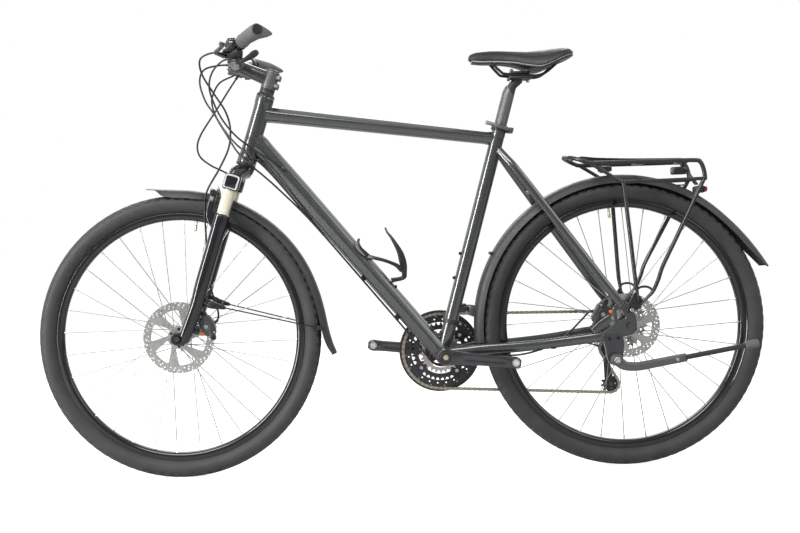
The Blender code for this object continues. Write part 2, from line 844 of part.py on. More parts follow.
def fork_lowers():
    slide_bore = stanchion_radius + 0.00035
    bottom = stanchion_end - fork_travel - 0.003
    shapes = []
    cuts = []
    for side in (1, -1):
        path = []
        sections = []
        for ahead, along, radius in (
            (leg_lead, lower_leg_top, lower_leg_radius),
            (leg_lead, lower_leg_top - 0.030, lower_leg_radius),
            (leg_lead, lower_leg_top - 0.034, lower_leg_radius - 0.0012),
            (leg_lead, 0.150, lower_leg_radius - 0.0015),
            (leg_lead - 0.002, 0.100, lower_leg_radius - 0.0040),
            (leg_lead + 0.003, 0.022, lower_leg_radius - 0.0060),
            (leg_lead + 0.006, -0.002, lower_leg_radius - 0.0100),
        ):
            path.append(fork_place(ahead, side * leg_spacing, along))
            sections.append(round_section(12, radius))
        shapes.append(sweep(path, sections))
        cuts.append(rod(leg_axis(side, bottom), leg_axis(side, lower_leg_top + 0.01), slide_bore, 12))
        near = front_axle + left * (side * (front_dropout_gap / 2 + gap))
        far = front_axle + left * (side * (leg_spacing + 0.010))
        shapes.append(rod(near, far, 0.0165, 12))
    arch_path = []
    for side, ahead, along in (
        (-leg_spacing, 0.029, lower_leg_top - 0.028),
        (-leg_spacing + 0.001, 0.0470, lower_leg_top - 0.004),
        (-leg_spacing + 0.006, 0.0505, lower_leg_top + 0.028),
        (-0.038, 0.056, lower_leg_top + 0.052),
        (0.0, 0.0575, lower_leg_top + 0.061),
        (0.038, 0.056, lower_leg_top + 0.052),
        (leg_spacing - 0.006, 0.0505, lower_leg_top + 0.028),
        (leg_spacing - 0.001, 0.0470, lower_leg_top - 0.004),
        (leg_spacing, 0.029, lower_leg_top - 0.028),
    ):
        arch_path.append(fork_place(ahead, side, along))
    shapes.append(sweep(arch_path, box_section(0.020, 0.012), steer_forward))
    for along in (0.030, 0.096):
        middle = fork_place(0.002, leg_spacing - 0.0045, along)
        shapes.append(box(middle, (0.026, 0.011, 0.014), (steer_forward, left, steer_up)))
    half = left * (leg_spacing + 0.02)
    cuts.append(rod(front_axle - half, front_axle + half, axle_radius + gap, 12))
    piece("fork_lowers", welded(shapes[0], shapes[1:], cuts), black_paint, fork_slide)


# A brake caliper straddles the braking ring; its slot is a disc a little larger than the rotor
def caliper(name, centre, disc_radius, reach, side, outward, carrier):
    along = left.cross(outward)
    middle = centre + outward * reach + left * side
    body = box(middle, (0.036, 0.030, 0.050), (outward, left, along))
    cap = rod(middle - left * 0.0145, middle + left * 0.0165, 0.013, 12)
    lugs = box(middle + outward * 0.007 + left * 0.0115, (0.014, 0.010, 0.078), (outward, left, along))
    slot = rod(centre + left * (side - 0.0030), centre + left * (side + 0.0030), disc_radius + 0.003, 24)
    piece(name, welded(body, [cap, lugs], [slot]), dark_alloy, carrier)


# Cockpit
stem_clamp_height = 0.047
bar_ahead = 0.0933
bar_above = 0.7043
bar_shape = [
    (0.000, 0.000, 0.000),
    (0.036, 0.000, 0.000),
    (0.075, 0.003, 0.010),
    (0.120, 0.014, 0.023),
    (0.190, 0.030, 0.030),
    (0.325, 0.075, 0.035),
]
bar_centre = fork_place(bar_ahead, 0.0, bar_above)
stretch = bar_half_width / bar_shape[-1][0]


# A place on the handlebar: out along the bar, with the backsweep and rise of its bends
def bar_point(side):
    reach = min(abs(side), bar_half_width) / stretch
    for (y0, back0, rise0), (y1, back1, rise1) in zip(bar_shape, bar_shape[1:]):
        if reach <= y1 + 1e-9:
            share = (reach - y0) / (y1 - y0)
            back = back0 + (back1 - back0) * share
            rise = rise0 + (rise1 - rise0) * share
            break
    return bar_centre + Vector((-back, side, rise))


def bar_radius(side):
    share = min(max((abs(side) - 0.045) / 0.075, 0.0), 1.0)
    return bar_clamp_radius + (bar_end_radius - bar_clamp_radius) * share


def handlebar():
    sides = [bar_half_width * share for share in (1.0, 0.585, 0.37, 0.23, 0.11)]
    stops = [-s for s in sides] + [0.0] + list(reversed(sides))
    path = [bar_point(s) for s in stops]
    outer = [round_section(10, bar_radius(s)) for s in stops]
    inner = [round_section(10, bar_radius(s) - 0.002) for s in stops]
    piece("handlebar", pipe(path, outer, inner, steer_forward), satin_black, steering)


def stem():
    low = fork_place(0.0, 0.0, stem_bottom)
    high = fork_place(0.0, 0.0, stem_bottom + stem_clamp_height)
    middle = low.lerp(high, 0.55)
    body = rod(middle, bar_centre, 0.0165, 12, 0.0160)
    clamp = rod(low, high, steerer_radius + 0.0047, 16)
    half = left * 0.023
    front = rod(bar_centre - half, bar_centre + half, bar_clamp_radius + 0.0055, 16)
    bolts = box(middle - steer_forward * 0.019, (0.013, 0.030, 0.038), (steer_forward, left, steer_up))
    holes = [
        rod(low - steer_up * 0.01, high - steer_up * 0.0025, steerer_radius + gap, 16),
        rod(bar_centre - half * 1.3, bar_centre + half * 1.3, bar_clamp_radius + gap * 2, 12),
    ]
    piece("stem", welded(clamp, [body, front, bolts], holes), satin_black, steering)


# An ergonomic grip: a sleeve whose outer end spreads backwards into a palm wing
def grip(side_name, sign):
    stops = []
    outer = []
    inner = []
    outline = (
        (0.0, 0.0, 1.0),
        (0.06, 0.0, 1.06),
        (0.35, 0.0, 0.97),
        (0.65, 0.006, 0.95),
        (0.85, 0.014, 0.92),
        (1.0, 0.017, 0.78),
    )
    for share, wing, swell in outline:
        reach = bar_half_width - 0.002 - grip_length * (1.0 - share)
        stops.append(bar_point(sign * reach))
        section = []
        for u, v in round_section(10, grip_radius * swell):
            section.append((u - wing * 1.9 if u < 0 else u, v))
        outer.append(section)
        inner.append(round_section(10, bar_radius(reach) + gap * 2.5))
    piece("grip_" + side_name, pipe(stops, outer, inner, steer_forward), grip_rubber, steering)


clamp_side = bar_half_width - grip_length - 0.023
lever_reach = 0.056
lever_drop = 0.022
lever_pivot_side = clamp_side - 0.022


def lever_place(sign, side, ahead, drop):
    return bar_point(sign * side) + Vector((ahead, 0.0, -drop))


# Brake master cylinder and gear shifter share one clamp beside the grip
def control(side_name, sign):
    ring_ends = [bar_point(sign * (clamp_side - 0.008)), bar_point(sign * (clamp_side + 0.008))]
    ring_outer = round_section(12, bar_end_radius + 0.0045)
    ring_inner = round_section(12, bar_radius(clamp_side) + gap * 1.5)
    ring = pipe(ring_ends, ring_outer, ring_inner, steer_forward)
    cylinder = sweep(
        [
            lever_place(sign, clamp_side + 0.010, 0.0180, 0.006),
            lever_place(sign, clamp_side - 0.030, 0.0240, 0.007),
            lever_place(sign, clamp_side - 0.077, 0.0300, 0.000),
        ],
        [round_section(8, 0.0065), round_section(8, 0.0095), round_section(8, 0.0050)],
        steer_up,
    )
    knuckle = box(lever_place(sign, lever_pivot_side, lever_reach * 0.60, 0.0120), (0.026, 0.014, 0.007))
    shifter = sweep(
        [
            lever_place(sign, clamp_side + 0.004, 0.006, 0.0185),
            lever_place(sign, clamp_side - 0.022, 0.010, 0.0240),
            lever_place(sign, clamp_side - 0.052, 0.014, 0.0230),
        ],
        [round_section(8, 0.0110, 0.0070), round_section(8, 0.0190, 0.0090), round_section(8, 0.0120, 0.0070)],
        steer_forward,
    )
    piece("control_" + side_name, welded(ring, [cylinder, knuckle, shifter]), satin_black, steering)


def brake_lever(side_name, sign):
    pivot = lever_place(sign, lever_pivot_side, lever_reach * 0.62, 0.0200)
    axis_empty = joint_empty("brake_lever_axis_" + side_name, pivot, steering)
    path = [
        lever_place(sign, lever_pivot_side - 0.012, lever_reach * 0.60, lever_drop),
        lever_place(sign, lever_pivot_side + 0.008, lever_reach * 0.86, lever_drop),
        lever_place(sign, lever_pivot_side + 0.036, lever_reach * 1.12, lever_drop + 0.001),
        lever_place(sign, lever_pivot_side + 0.080, lever_reach * 1.12, lever_drop + 0.001),
        lever_place(sign, lever_pivot_side + 0.120, lever_reach * 1.18, lever_drop + 0.001),
        lever_place(sign, lever_pivot_side + 0.138, lever_reach * 1.34, lever_drop + 0.001),
    ]
    widths = [0.012, 0.014, 0.010, 0.009, 0.010, 0.011]
    sections = [round_section(8, width / 2, 0.0036) for width in widths]
    piece("brake_lever_" + side_name, sweep(path, sections, steer_forward), dark_alloy, axis_empty)


def shift_lever(side_name, sign):
    pivot = lever_place(sign, clamp_side - 0.022, 0.004, 0.0415)
    axis_empty = joint_empty("shift_lever_axis_" + side_name, pivot, steering)
    path = [
        lever_place(sign, clamp_side - 0.026, 0.004, 0.0402),
        lever_place(sign, clamp_side - 0.006, -0.014, 0.0410),
        lever_place(sign, clamp_side + 0.008, -0.030, 0.0390),
    ]
    sizes = ((0.0065, 0.0022), (0.0055, 0.0022), (0.0075, 0.0030))
    sections = [round_section(8, wide, thin) for wide, thin in sizes]
    piece("shift_lever_" + side_name, sweep(path, sections, steer_forward), satin_black, axis_empty)


fork_crown()
fork_lowers()
front_caliper_out = Vector((-0.934, 0.0, 0.357)).normalized()
front_disc_side = front_dropout_gap / 2 - front_rotor_inset
disc = front_rotor_radius
caliper("front_brake_caliper", front_axle, disc, 0.076, front_disc_side, front_caliper_out, fork_slide)
rear_caliper_out = Vector((0.910, 0.0, 0.414)).normalized()
rear_disc_side = rear_dropout_gap / 2 - rear_rotor_inset
caliper("rear_brake_caliper", rear_axle, rear_rotor_radius, 0.072, rear_disc_side, rear_caliper_out, bike)
axle("front_axle", front_axle, leg_spacing + 0.010, fork_slide)
stem()
handlebar()
for name_of_side, side_sign in (("left", 1), ("right", -1)):
    grip(name_of_side, side_sign)
    control(name_of_side, side_sign)
    brake_lever(name_of_side, side_sign)
    shift_lever(name_of_side, side_sign)

# Seat
seat_slide = joint_empty("seat_travel", seat_place(0.0, 0.0, seat_tube_length))
rail_radius = 0.0035
rail_path_points = [
    (0.1302, 0.0675, 0.0360),
    (0.1162, 0.0535, 0.0350),
    (0.0862, 0.0280, 0.0280),
    (0.0642, 0.0210, 0.0220),
    (-0.0158, 0.0285, 0.0220),
    (-0.0288, 0.0365, 0.0205),
    (-0.0598, 0.0705, 0.0120),
    (-0.0658, 0.0745, 0.0050),
]


# A place behind the top of the seat post, above it and to the side
def saddle_place(behind, above, side=0.0):
    return seat_place(0.0, 0.0, seat_tube_length + post_above_clamp) + Vector((-behind, side, above))


def rails(radius):
    half = [saddle_place(x, z, y) for x, z, y in rail_path_points]
    other = [p * 1.0 for p in reversed(half)]
    for point in other:
        point.y = -point.y
    return sweep(half + other, round_section(6, radius), steer_up)


def seat_post():
    top_along = seat_tube_length + post_above_clamp
    low = seat_place(0.0, 0.0, seat_tube_length - post_insertion)
    top = seat_place(0.0, 0.0, top_along)
    tube = rod(low, top, seat_post_radius, 20)
    cradle_centre = saddle_place(0.0212, 0.0175)
    neck = sweep(
        [seat_place(0.002, 0.0, top_along - 0.020), saddle_place(0.0142, 0.0075), cradle_centre],
        [box_section(0.026, 0.030), box_section(0.034, 0.034), box_section(0.050, 0.052)],
    )
    tilt_forward = (saddle_place(-0.0158, 0.0285) - saddle_place(0.0642, 0.0210)).normalized()
    tilt_up = tilt_forward.cross(left)
    middle = saddle_place(0.0242, 0.02475)
    lower = box(middle - tilt_up * 0.0055, (0.056, 0.054, 0.009), (tilt_forward, left, tilt_up))
    upper = box(middle + tilt_up * 0.0065, (0.048, 0.052, 0.009), (tilt_forward, left, tilt_up))
    hollow = rod(low - seat_up * 0.01, top - seat_up * 0.024, seat_post_radius - 0.0022, 12)
    shape = welded(tube, [neck, lower, upper], [hollow, rails(rail_radius + gap * 1.4)])
    piece("seat_post", shape, dark_alloy, seat_slide)
    piece("saddle_rails", rails(rail_radius), steel, seat_slide)


# Saddle: each station is behind, half width, top and lower edge, both above the seat post's top
saddle_stations = [
    (0.0000, 0.0100, 0.0790, 0.0695),
    (0.0070, 0.0175, 0.0855, 0.0660),
    (0.0320, 0.0210, 0.0910, 0.0635),
    (0.0720, 0.0250, 0.0920, 0.0620),
    (0.1120, 0.0340, 0.0890, 0.0575),
    (0.1470, 0.0500, 0.0870, 0.0485),
    (0.1770, 0.0660, 0.0880, 0.0435),
    (0.2050, 0.0745, 0.0905, 0.0525),
    (0.2320, 0.0750, 0.0925, 0.0645),
    (0.2500, 0.0640, 0.0905, 0.0705),
    (0.2600, 0.0420, 0.0845, 0.0745),
]
saddle_front = -0.1053


def saddle():
    rings = []
    stretch_along = saddle_length / saddle_stations[-1][0]
    stretch_across = saddle_width / 2 / max(station[1] for station in saddle_stations)
    steps = 10
    for along, half, top, edge in saddle_stations:
        half *= stretch_across
        ring = []
        rising = max(0.0, min(1.0, (along - 0.08) / 0.05))
        falling = max(0.0, min(1.0, (0.26 - along) / 0.03))
        channel = 0.003 * rising * falling
        for k in range(steps + 1):
            angle = math.pi * k / steps
            across = math.cos(angle)
            crown = max(0.0, math.sin(angle)) ** 0.62
            dip = channel * max(0.0, 1.0 - (across / 0.35) ** 2)
            height = edge + (top - edge) * crown - dip
            ring.append(saddle_place(saddle_front + along * stretch_along, height, half * across))
        rise = min(0.013, (top - edge) * 0.55)
        for share in (-0.80, -0.40, 0.0, 0.40, 0.80):
            lift = rise * (1.0 - share * share)
            ring.append(saddle_place(saddle_front + along * stretch_along, edge + lift, half * share))
        rings.append(ring)
    size = len(rings[0])
    faces = skin(rings, 0)
    faces.append(tuple(reversed(range(size))))
    faces.append(tuple((len(rings) - 1) * size + j for j in range(size)))
    body = ([p for ring in rings for p in ring], faces)
    piece("saddle", welded(body, cut=[rails(rail_radius + gap * 1.4)]), saddle_cover, seat_slide, 50.0)


collar_height = 0.014
lever_hinge_back = 0.028
lever_hinge_side = 0.011


def seat_clamp():
    low = seat_place(0.0, 0.0, seat_tube_length - collar_height)
    high = seat_place(0.0, 0.0, seat_tube_length + 0.001)
    outer = round_section(20, seat_tube_radius + 0.0038)
    inner = round_section(20, seat_tube_radius + gap)
    ring = pipe([low, high], outer, inner)
    middle = low.lerp(high, 0.5)
    ear = box(middle + seat_back * 0.0245, (0.0110, 0.014, collar_height), (seat_back, left, seat_up))
    slot = box(middle + seat_back * 0.022, (0.020, 0.002, 0.03), (seat_back, left, seat_up))
    ears_back = middle + seat_back * 0.0255
    nut = rod(ears_back - left * 0.013, ears_back - left * 0.0060, 0.0065, 10)
    bridge = box(middle + seat_back * 0.0285, (0.003, 0.014, 0.006), (seat_back, left, seat_up))
    piece("seat_clamp", welded(welded(ring, [ear, nut], [slot]), [bridge]), satin_black, bike)
    pivot = middle + seat_back * lever_hinge_back + left * (lever_hinge_side + 0.002)
    carrier = joint_empty("seat_clamp_lever_axis", pivot)
    barrel = rod(pivot - seat_up * 0.007, pivot + seat_up * 0.007, 0.0055, 10)
    path = [
        middle + seat_back * back + left * side + seat_up * rise
        for back, side, rise in (
            (lever_hinge_back, lever_hinge_side + 0.003, 0.0),
            (0.014, 0.0265, 0.0),
            (-0.004, 0.0285, 0.001),
            (-0.024, 0.0240, 0.003),
            (-0.038, 0.0180, 0.004),
        )
    ]
    sections = [box_section(h, 0.0032) for h in (0.008, 0.010, 0.011, 0.011, 0.008)]
    piece("seat_clamp_lever", welded(barrel, [sweep(path, sections, seat_up)]), satin_black, carrier)


# Drive train
def pitch_radius(teeth):
    return chain_pitch / (2 * math.sin(math.pi / teeth))


large_ring_radius = pitch_radius(large_ring_teeth)
cog_radius = pitch_radius(cog_teeth)
pulley_radius = pitch_radius(pulley_teeth)
guide_centre = (wheelbase - 0.024, -0.070)
cage_reach = 0.093
chain_links = 118


# The chain's way round its wheels: each wheel is (forward, above, radius, sense, teeth)
def wheels_of_chain(cage_angle):
    guide_x = -guide_centre[0]
    guide_z = guide_centre[1]
    tension = (guide_x - cage_reach * math.sin(cage_angle), guide_z - cage_reach * math.cos(cage_angle))
    return [
        (-bottom_bracket_behind, -bottom_bracket_drop, large_ring_radius, 1, large_ring_teeth),
        (tension[0], tension[1], pulley_radius, 1, pulley_teeth),
        (guide_x, guide_z, pulley_radius, -1, pulley_teeth),
        (-wheelbase, 0.0, cog_radius, 1, cog_teeth),
    ]


def runs_of_chain(cage_angle):
    wheels_round = wheels_of_chain(cage_angle)
    count = len(wheels_round)
    directions = []
    for i in range(count):
        x0, z0, r0, s0, _ = wheels_round[i]
        x1, z1, r1, s1, _ = wheels_round[(i + 1) % count]
        reach = math.hypot(x1 - x0, z1 - z0)
        directions.append(math.atan2(z1 - z0, x1 - x0) - math.asin((r0 * s0 - r1 * s1) / reach))
    runs = []
    for i in range(count):
        x0, z0, r0, s0, n0 = wheels_round[i]
        x1, z1, r1, s1, _ = wheels_round[(i + 1) % count]
        arrive = directions[i - 1] + s0 * math.pi / 2
        leave = directions[i] + s0 * math.pi / 2
        turn = ((arrive - leave) * s0) % (2 * math.pi)
        runs.append(("arc", (x0, z0, r0, s0), arrive, turn, turn * n0 * chain_pitch / (2 * math.pi), i))
        start = (x0 + r0 * math.cos(leave), z0 + r0 * math.sin(leave))
        arrive_next = directions[i] + s1 * math.pi / 2
        end = (x1 + r1 * math.cos(arrive_next), z1 + r1 * math.sin(arrive_next))
        runs.append(("straight", start, end, 0.0, math.dist(start, end), i))
    return runs


def chain_length(cage_angle):
    return sum(run[4] for run in runs_of_chain(cage_angle))


# The cage swings back until the chain is a whole number of links long
def resting_cage_angle():
    wanted = chain_links * chain_pitch
    low, high = math.radians(-60.0), math.radians(75.0)
    rising = chain_length(high) > chain_length(low)
    for _ in range(60):
        middle = (low + high) / 2
        if (chain_length(middle) < wanted) == rising:
            low = middle
        else:
            high = middle
    return (low + high) / 2


side_of_wheel = [large_ring_side, cog_side, cog_side, cog_side]


def chain_point(runs, length):
    for kind, first, second, turn, run_length, index in runs:
        if length <= run_length + 1e-9:
            share = length / run_length
            near = side_of_wheel[index]
            if kind == "straight":
                far = side_of_wheel[(index + 1) % len(side_of_wheel)]
                x = first[0] + (second[0] - first[0]) * share
                z = first[1] + (second[1] - first[1]) * share
                return place(-x, z, near + (far - near) * share)
            x0, z0, radius, sense = first
            angle = second - sense * turn * share
            return place(-(x0 + radius * math.cos(angle)), z0 + radius * math.sin(angle), near)
        length -= run_length
    return None


cage_angle = resting_cage_angle()
chain_runs = runs_of_chain(cage_angle)


# Angle of a tooth gap: where a pin of the chain lies on that wheel
def gap_angle(wheel_index):
    start = 0.0
    for kind, first, second, turn, run_length, index in chain_runs:
        if kind == "arc" and index == wheel_index:
            past = math.ceil(start / chain_pitch - 1e-6) * chain_pitch - start
            return second - first[3] * turn * past / run_length
        start += run_length
    return 0.0


def toothed_outline(behind, above, teeth, phase):
    pitch = pitch_radius(teeth)
    step = 2 * math.pi / teeth
    outline = []
    for k in range(teeth):
        angle = phase + k * step
        root = pitch - 0.0052
        outline.append((behind - root * math.cos(angle), above + root * math.sin(angle)))
        tip = angle + step / 2
        outline.append((behind - (pitch + 0.0034) * math.cos(tip), above + (pitch + 0.0034) * math.sin(tip)))
    return outline


def toothed_disc(behind, above, teeth, phase, side, bore_radius, bore_sides=24):
    outline = toothed_outline(behind, above, teeth, phase)
    hole = circle_loop(behind, above, bore_radius, bore_sides)
    return plate(outline, side - tooth_thickness / 2, tooth_thickness, [hole])


# On its wheels the chain bends at every second pin; between them it is drawn straight
def chain_stations():
    stations = []
    for index in range(0, chain_links, 2):
        length = index * chain_pitch
        start = 0.0
        for kind, _, _, _, run_length, _ in chain_runs:
            near_wheel = kind == "arc" and start - chain_pitch <= length <= start + run_length + chain_pitch
            if near_wheel or index % 12 == 0:
                stations.append(chain_point(chain_runs, length))
                break
            start += run_length
    return stations


def chain():
    stations = chain_stations()
    count = len(stations)
    strips = []
    pins = []
    half_height = 0.0038
    plate_inside = tooth_thickness / 2 + 0.0004
    plate_outside = plate_inside + 0.0016
    frames = []
    for index, point in enumerate(stations):
        ahead = (stations[(index + 1) % count] - stations[index - 1]).normalized()
        frames.append((point, ahead, ahead.cross(left).normalized()))
    for sign in (1, -1):
        rings = []
        for point, ahead, outward in frames:
            ring = []
            corners = ((plate_inside, -1), (plate_outside, -1), (plate_outside, 1), (plate_inside, 1))
            for across, high in corners:
                ring.append(point + left * (sign * across) + outward * (high * half_height))
            rings.append(ring)
        strips.append(([p for ring in rings for p in ring], skin(rings, 0, wrap=True)))
    for point, ahead, outward in frames[::2]:
        width = plate_inside * 2 + 0.0010
        pins.append(box(point, (0.0030, width, 0.0036), (ahead, left, outward)))
    piece("chain", welded(strips[0], [joined(pins), strips[1]]), chain_steel, bike)


spindle_radius = 0.012
arm_inner = 0.0645
arm_thickness = 0.014


def crank_arm(direction, side_sign):
    start = bottom_bracket + left * (side_sign * (arm_inner + arm_thickness / 2))
    end = start + direction * crank_length + left * (side_sign * 0.006)
    stops = (-0.07, 0.0, 0.12, 0.5, 0.9, 1.0, 1.07)
    heights = (0.026, 0.040, 0.036, 0.028, 0.028, 0.030, 0.020)
    path = [start.lerp(end, s) for s in stops]
    return sweep(path, [round_section(10, arm_thickness / 2, h / 2) for h in heights]), end


def cranks():
    forward = Vector((math.cos(crank_phase), 0.0, math.sin(crank_phase)))
    right_arm, right_end = crank_arm(forward, -1)
    left_arm, left_end = crank_arm(-forward, 1)
    outer_end = arm_inner + arm_thickness
    spindle_end = bottom_bracket + left * (outer_end - 0.001)
    spindle = rod(bottom_bracket - left * arm_inner, spindle_end, spindle_radius, 16)
    hub_disc = rod(bottom_bracket - left * 0.070, bottom_bracket - left * 0.0515, 0.0215, 20)
    spider_side = large_ring_side + tooth_thickness / 2 + gap
    spider_width = ring_pitch - tooth_thickness - 2 * gap
    parts = [spindle, hub_disc]
    for k in range(4):
        angle = crank_phase + math.pi / 4 + k * math.pi / 2
        radial = Vector((math.cos(angle), 0.0, math.sin(angle)))
        middle = bottom_bracket + left * (spider_side + spider_width / 2)
        path = [middle + radial * 0.012, middle + radial * 0.040, middle + radial * 0.060]
        sections = [box_section(spider_width, w) for w in (0.026, 0.016, 0.015)]
        parts.append(sweep(path, sections))
    cut = []
    for end in (right_end, left_end):
        cut.append(rod(end - left * 0.012, end + left * 0.012, 0.0071, 10))
    recess = rod(bottom_bracket + left * 0.040, bottom_bracket + left * (outer_end + 0.01), 0.0075, 8)
    piece("crank_right", welded(right_arm, parts, [cut[0], recess]), dark_alloy, crank_spin)
    hub = rod(bottom_bracket + left * 0.0475, bottom_bracket + left * (outer_end + 0.001), 0.0205, 20)
    bore = rod(bottom_bracket + left * 0.04, bottom_bracket + left * 0.09, spindle_radius + gap * 1.4, 16)
    piece("crank_left", welded(left_arm, [hub], [bore, cut[1]]), dark_alloy, crank_spin)


# A chainring that carries no chain here is drawn to the middle of its teeth
def plain_disc(behind, above, teeth, side, bore_radius):
    outline = circle_loop(behind, above, pitch_radius(teeth) + 0.0025, 24)
    hole = circle_loop(behind, above, bore_radius, 16)
    return plate(outline, side - tooth_thickness / 2, tooth_thickness, [hole])


def chainrings():
    phase = gap_angle(0)
    behind, above = bottom_bracket_behind, -bottom_bracket_drop
    large = toothed_disc(behind, above, large_ring_teeth, phase, large_ring_side, 0.046)
    piece("large_chainring", large, dark_alloy, crank_spin)
    middle_side = large_ring_side + ring_pitch
    small_side = middle_side + ring_pitch
    middle = plain_disc(behind, above, middle_ring_teeth, middle_side, 0.033)
    small = plain_disc(behind, above, small_ring_teeth, small_side, 0.029)
    posts = []
    for k in range(4):
        angle = crank_phase + math.pi / 4 + k * math.pi / 2
        centre = bottom_bracket + Vector((math.cos(angle), 0.0, math.sin(angle))) * 0.041
        post_end = centre + left * (small_side + 0.0005)
        posts.append(rod(centre + left * (middle_side - 0.0005), post_end, 0.005, 8))
    piece("inner_chainrings", welded(middle, [small] + posts), dark_alloy, crank_spin)


cog_sizes = (11, 13, 15, 17, 19, 21, 23, 26, 30, largest_cog_teeth)


def cassette():
    core = 0.017
    half = tooth_thickness / 2
    profile = [(axle_radius + running_gap, cog_side - cog_pitch - 0.0012)]
    profile.append((core, cog_side - cog_pitch - 0.0012))
    for index, teeth in enumerate(cog_sizes):
        side = cog_side + (index - 1) * cog_pitch
        tip = pitch_radius(teeth) + 0.0025
        if teeth == cog_teeth:
            continue
        profile += [(core, side - half), (tip, side - half), (tip, side + half), (core, side + half)]
    profile.append((core, cog_side + 9 * cog_pitch + 0.0008))
    profile.append((axle_radius + running_gap, cog_side + 9 * cog_pitch + 0.0008))
    body = turned(profile, 12, rear_axle, closed=True)
    driven = toothed_disc(wheelbase, 0.0, cog_teeth, gap_angle(3), cog_side, 0.015, 12)
    carrier = joint_empty("cassette_axis", rear_axle)
    piece("cassette", welded(body, [driven]), steel, carrier)


pulley_hole = 0.0029


def rear_derailleur():
    _, tension_wheel, guide_wheel, _ = wheels_of_chain(cage_angle)
    guide = place(-guide_wheel[0], guide_wheel[1], cog_side)
    tension = place(-tension_wheel[0], tension_wheel[1], cog_side)
    plate_gap = 0.0056
    carrier = joint_empty("derailleur_cage_axis", guide)
    plates = []
    for sign in (1, -1):
        shift = left * (sign * plate_gap)
        path = [guide.lerp(tension, s) + shift for s in (-0.11, 0.0, 0.5, 1.0, 1.12)]
        plates.append(sweep(path, [box_section(0.0018, w) for w in (0.012, 0.022, 0.018, 0.022, 0.010)]))
    across = left * plate_gap
    axles = [rod(c - across, c + across, pulley_hole - running_gap, 8) for c in (guide, tension)]
    piece("derailleur_cage", welded(plates[0], [plates[1]] + axles), dark_alloy, carrier)
    for name, centre, index in (("guide_pulley", guide, 2), ("tension_pulley", tension, 1)):
        spin = joint_empty(name + "_axis", centre, carrier)
        behind = front_axle_x - centre.x
        above = centre.z - wheel_radius
        hole = pulley_hole / math.cos(math.pi / 10)
        disc = toothed_disc(behind, above, pulley_teeth, gap_angle(index), cog_side, hole, 10)
        piece(name, disc, satin_black, spin)
    knuckle_side = cog_side - plate_gap - 0.0009 - gap
    hanger = place(wheelbase + 0.008, -0.026, -dropout_inside - dropout_thickness - gap)
    hinge = Vector((guide.x, knuckle_side, guide.z))
    outer = -0.094
    parts = [
        rod(Vector((hinge.x, outer, hinge.z)), hinge, 0.0115, 12),
        sweep(
            [Vector((hanger.x, outer + 0.005, hanger.z)), Vector((hinge.x, outer + 0.005, hinge.z))],
            box_section(0.010, 0.017),
        ),
    ]
    mount = rod(Vector((hanger.x, outer, hanger.z)), hanger, 0.0095, 12)
    piece("rear_derailleur", welded(mount, parts), dark_alloy, bike)


def front_derailleur():
    along = 0.0854
    low = seat_place(0.0, 0.0, along - 0.006)
    high = seat_place(0.0, 0.0, along + 0.006)
    band = rod(low, high, seat_tube_radius + 0.0030, 20)
    plate_out = large_ring_side - 0.0049
    plate_in = large_ring_side + 0.0049
    outline = from_bottom_bracket(
        [
            (0.0339, 0.1040),
            (0.0479, 0.1210),
            (0.0969, 0.1175),
            (0.1199, 0.0945),
            (0.1039, 0.0815),
            (0.0619, 0.0975),
        ]
    )
    outer = plate(outline, plate_out - 0.0012, 0.0012)
    inner = plate(outline, plate_in, 0.0012)
    bridge = from_bottom_bracket([(0.0479, 0.1155), (0.0499, 0.1195), (0.0959, 0.1160), (0.0939, 0.1120)])
    top = plate(bridge, plate_out - 0.0006, plate_in - plate_out + 0.0012)
    link = sweep(
        [
            seat_place(0.004, -seat_tube_radius - 0.001, along + 0.001),
            bottom_bracket + Vector((-0.0379, -0.034, 0.1105)),
            bottom_bracket + Vector((-0.0669, -0.0545, 0.1170)),
        ],
        [box_section(0.012, 0.012), box_section(0.016, 0.014), box_section(0.020, 0.006)],
        steer_up,
    )
    piece("front_derailleur", welded(band, [outer, inner, top, link], [seat_cutter()]), dark_alloy, bike)


seat_post()
saddle()
seat_clamp()
cranks()
chainrings()
cassette()
rear_derailleur()
front_derailleur()
chain()

# Mudguards: an arched strip along an arc about the wheel's axle
def guard_section(half_width, depth):
    shoulder = half_width * 0.86
    drop = depth * 0.30
    wall = mudguard_wall
    outer = [(half_width, -depth), (shoulder, -drop), (0.0, 0.0), (-shoulder, -drop), (-half_width, -depth)]
    thin = shoulder - wall * 0.8
    edge = half_width - wall
    under = -drop - wall * 0.6
    inner = [(-edge, -depth), (-thin, under), (0.0, -wall), (thin, under), (edge, -depth)]
    return outer + inner


# Stations are (angle in degrees from straight back, turning up and forward; radius; half width)
def guard_strip(axle_behind, stations):
    path = []
    sections = []
    for angle, radius, half in stations:
        turn = math.radians(angle)
        path.append(place(axle_behind + radius * math.cos(turn), radius * math.sin(turn)))
        sections.append(guard_section(half, mudguard_depth))
    return sweep(path, sections)


def rear_mudguard():
    stations = []
    tip = math.degrees(mudguard_tip_angle)
    flare_span = 25.0
    flared = (tip, tip + 7, tip + 15, tip + flare_span)
    for angle in flared + (58, 71, 84, 97, 110, 123, 136, 149, 161, 171, 179, 186):
        share = max(0.0, (tip + flare_span - angle) / flare_span)
        radius = mudguard_radius + mudguard_flare * share ** 1.5
        narrow = max(0.0, (angle - 171.0) / 15.0)
        stations.append((angle, radius, mudguard_half_width - 0.008 * narrow))
    piece("rear_mudguard", guard_strip(wheelbase, stations), guard_plastic, bike)


front_guard_radius = wheel_radius + front_mudguard_gap
front_stay_guard_end = (front_guard_radius - 0.011, 0.011, 0.0275)
front_stay_clip = (0.101, 0.0785, 0.062)


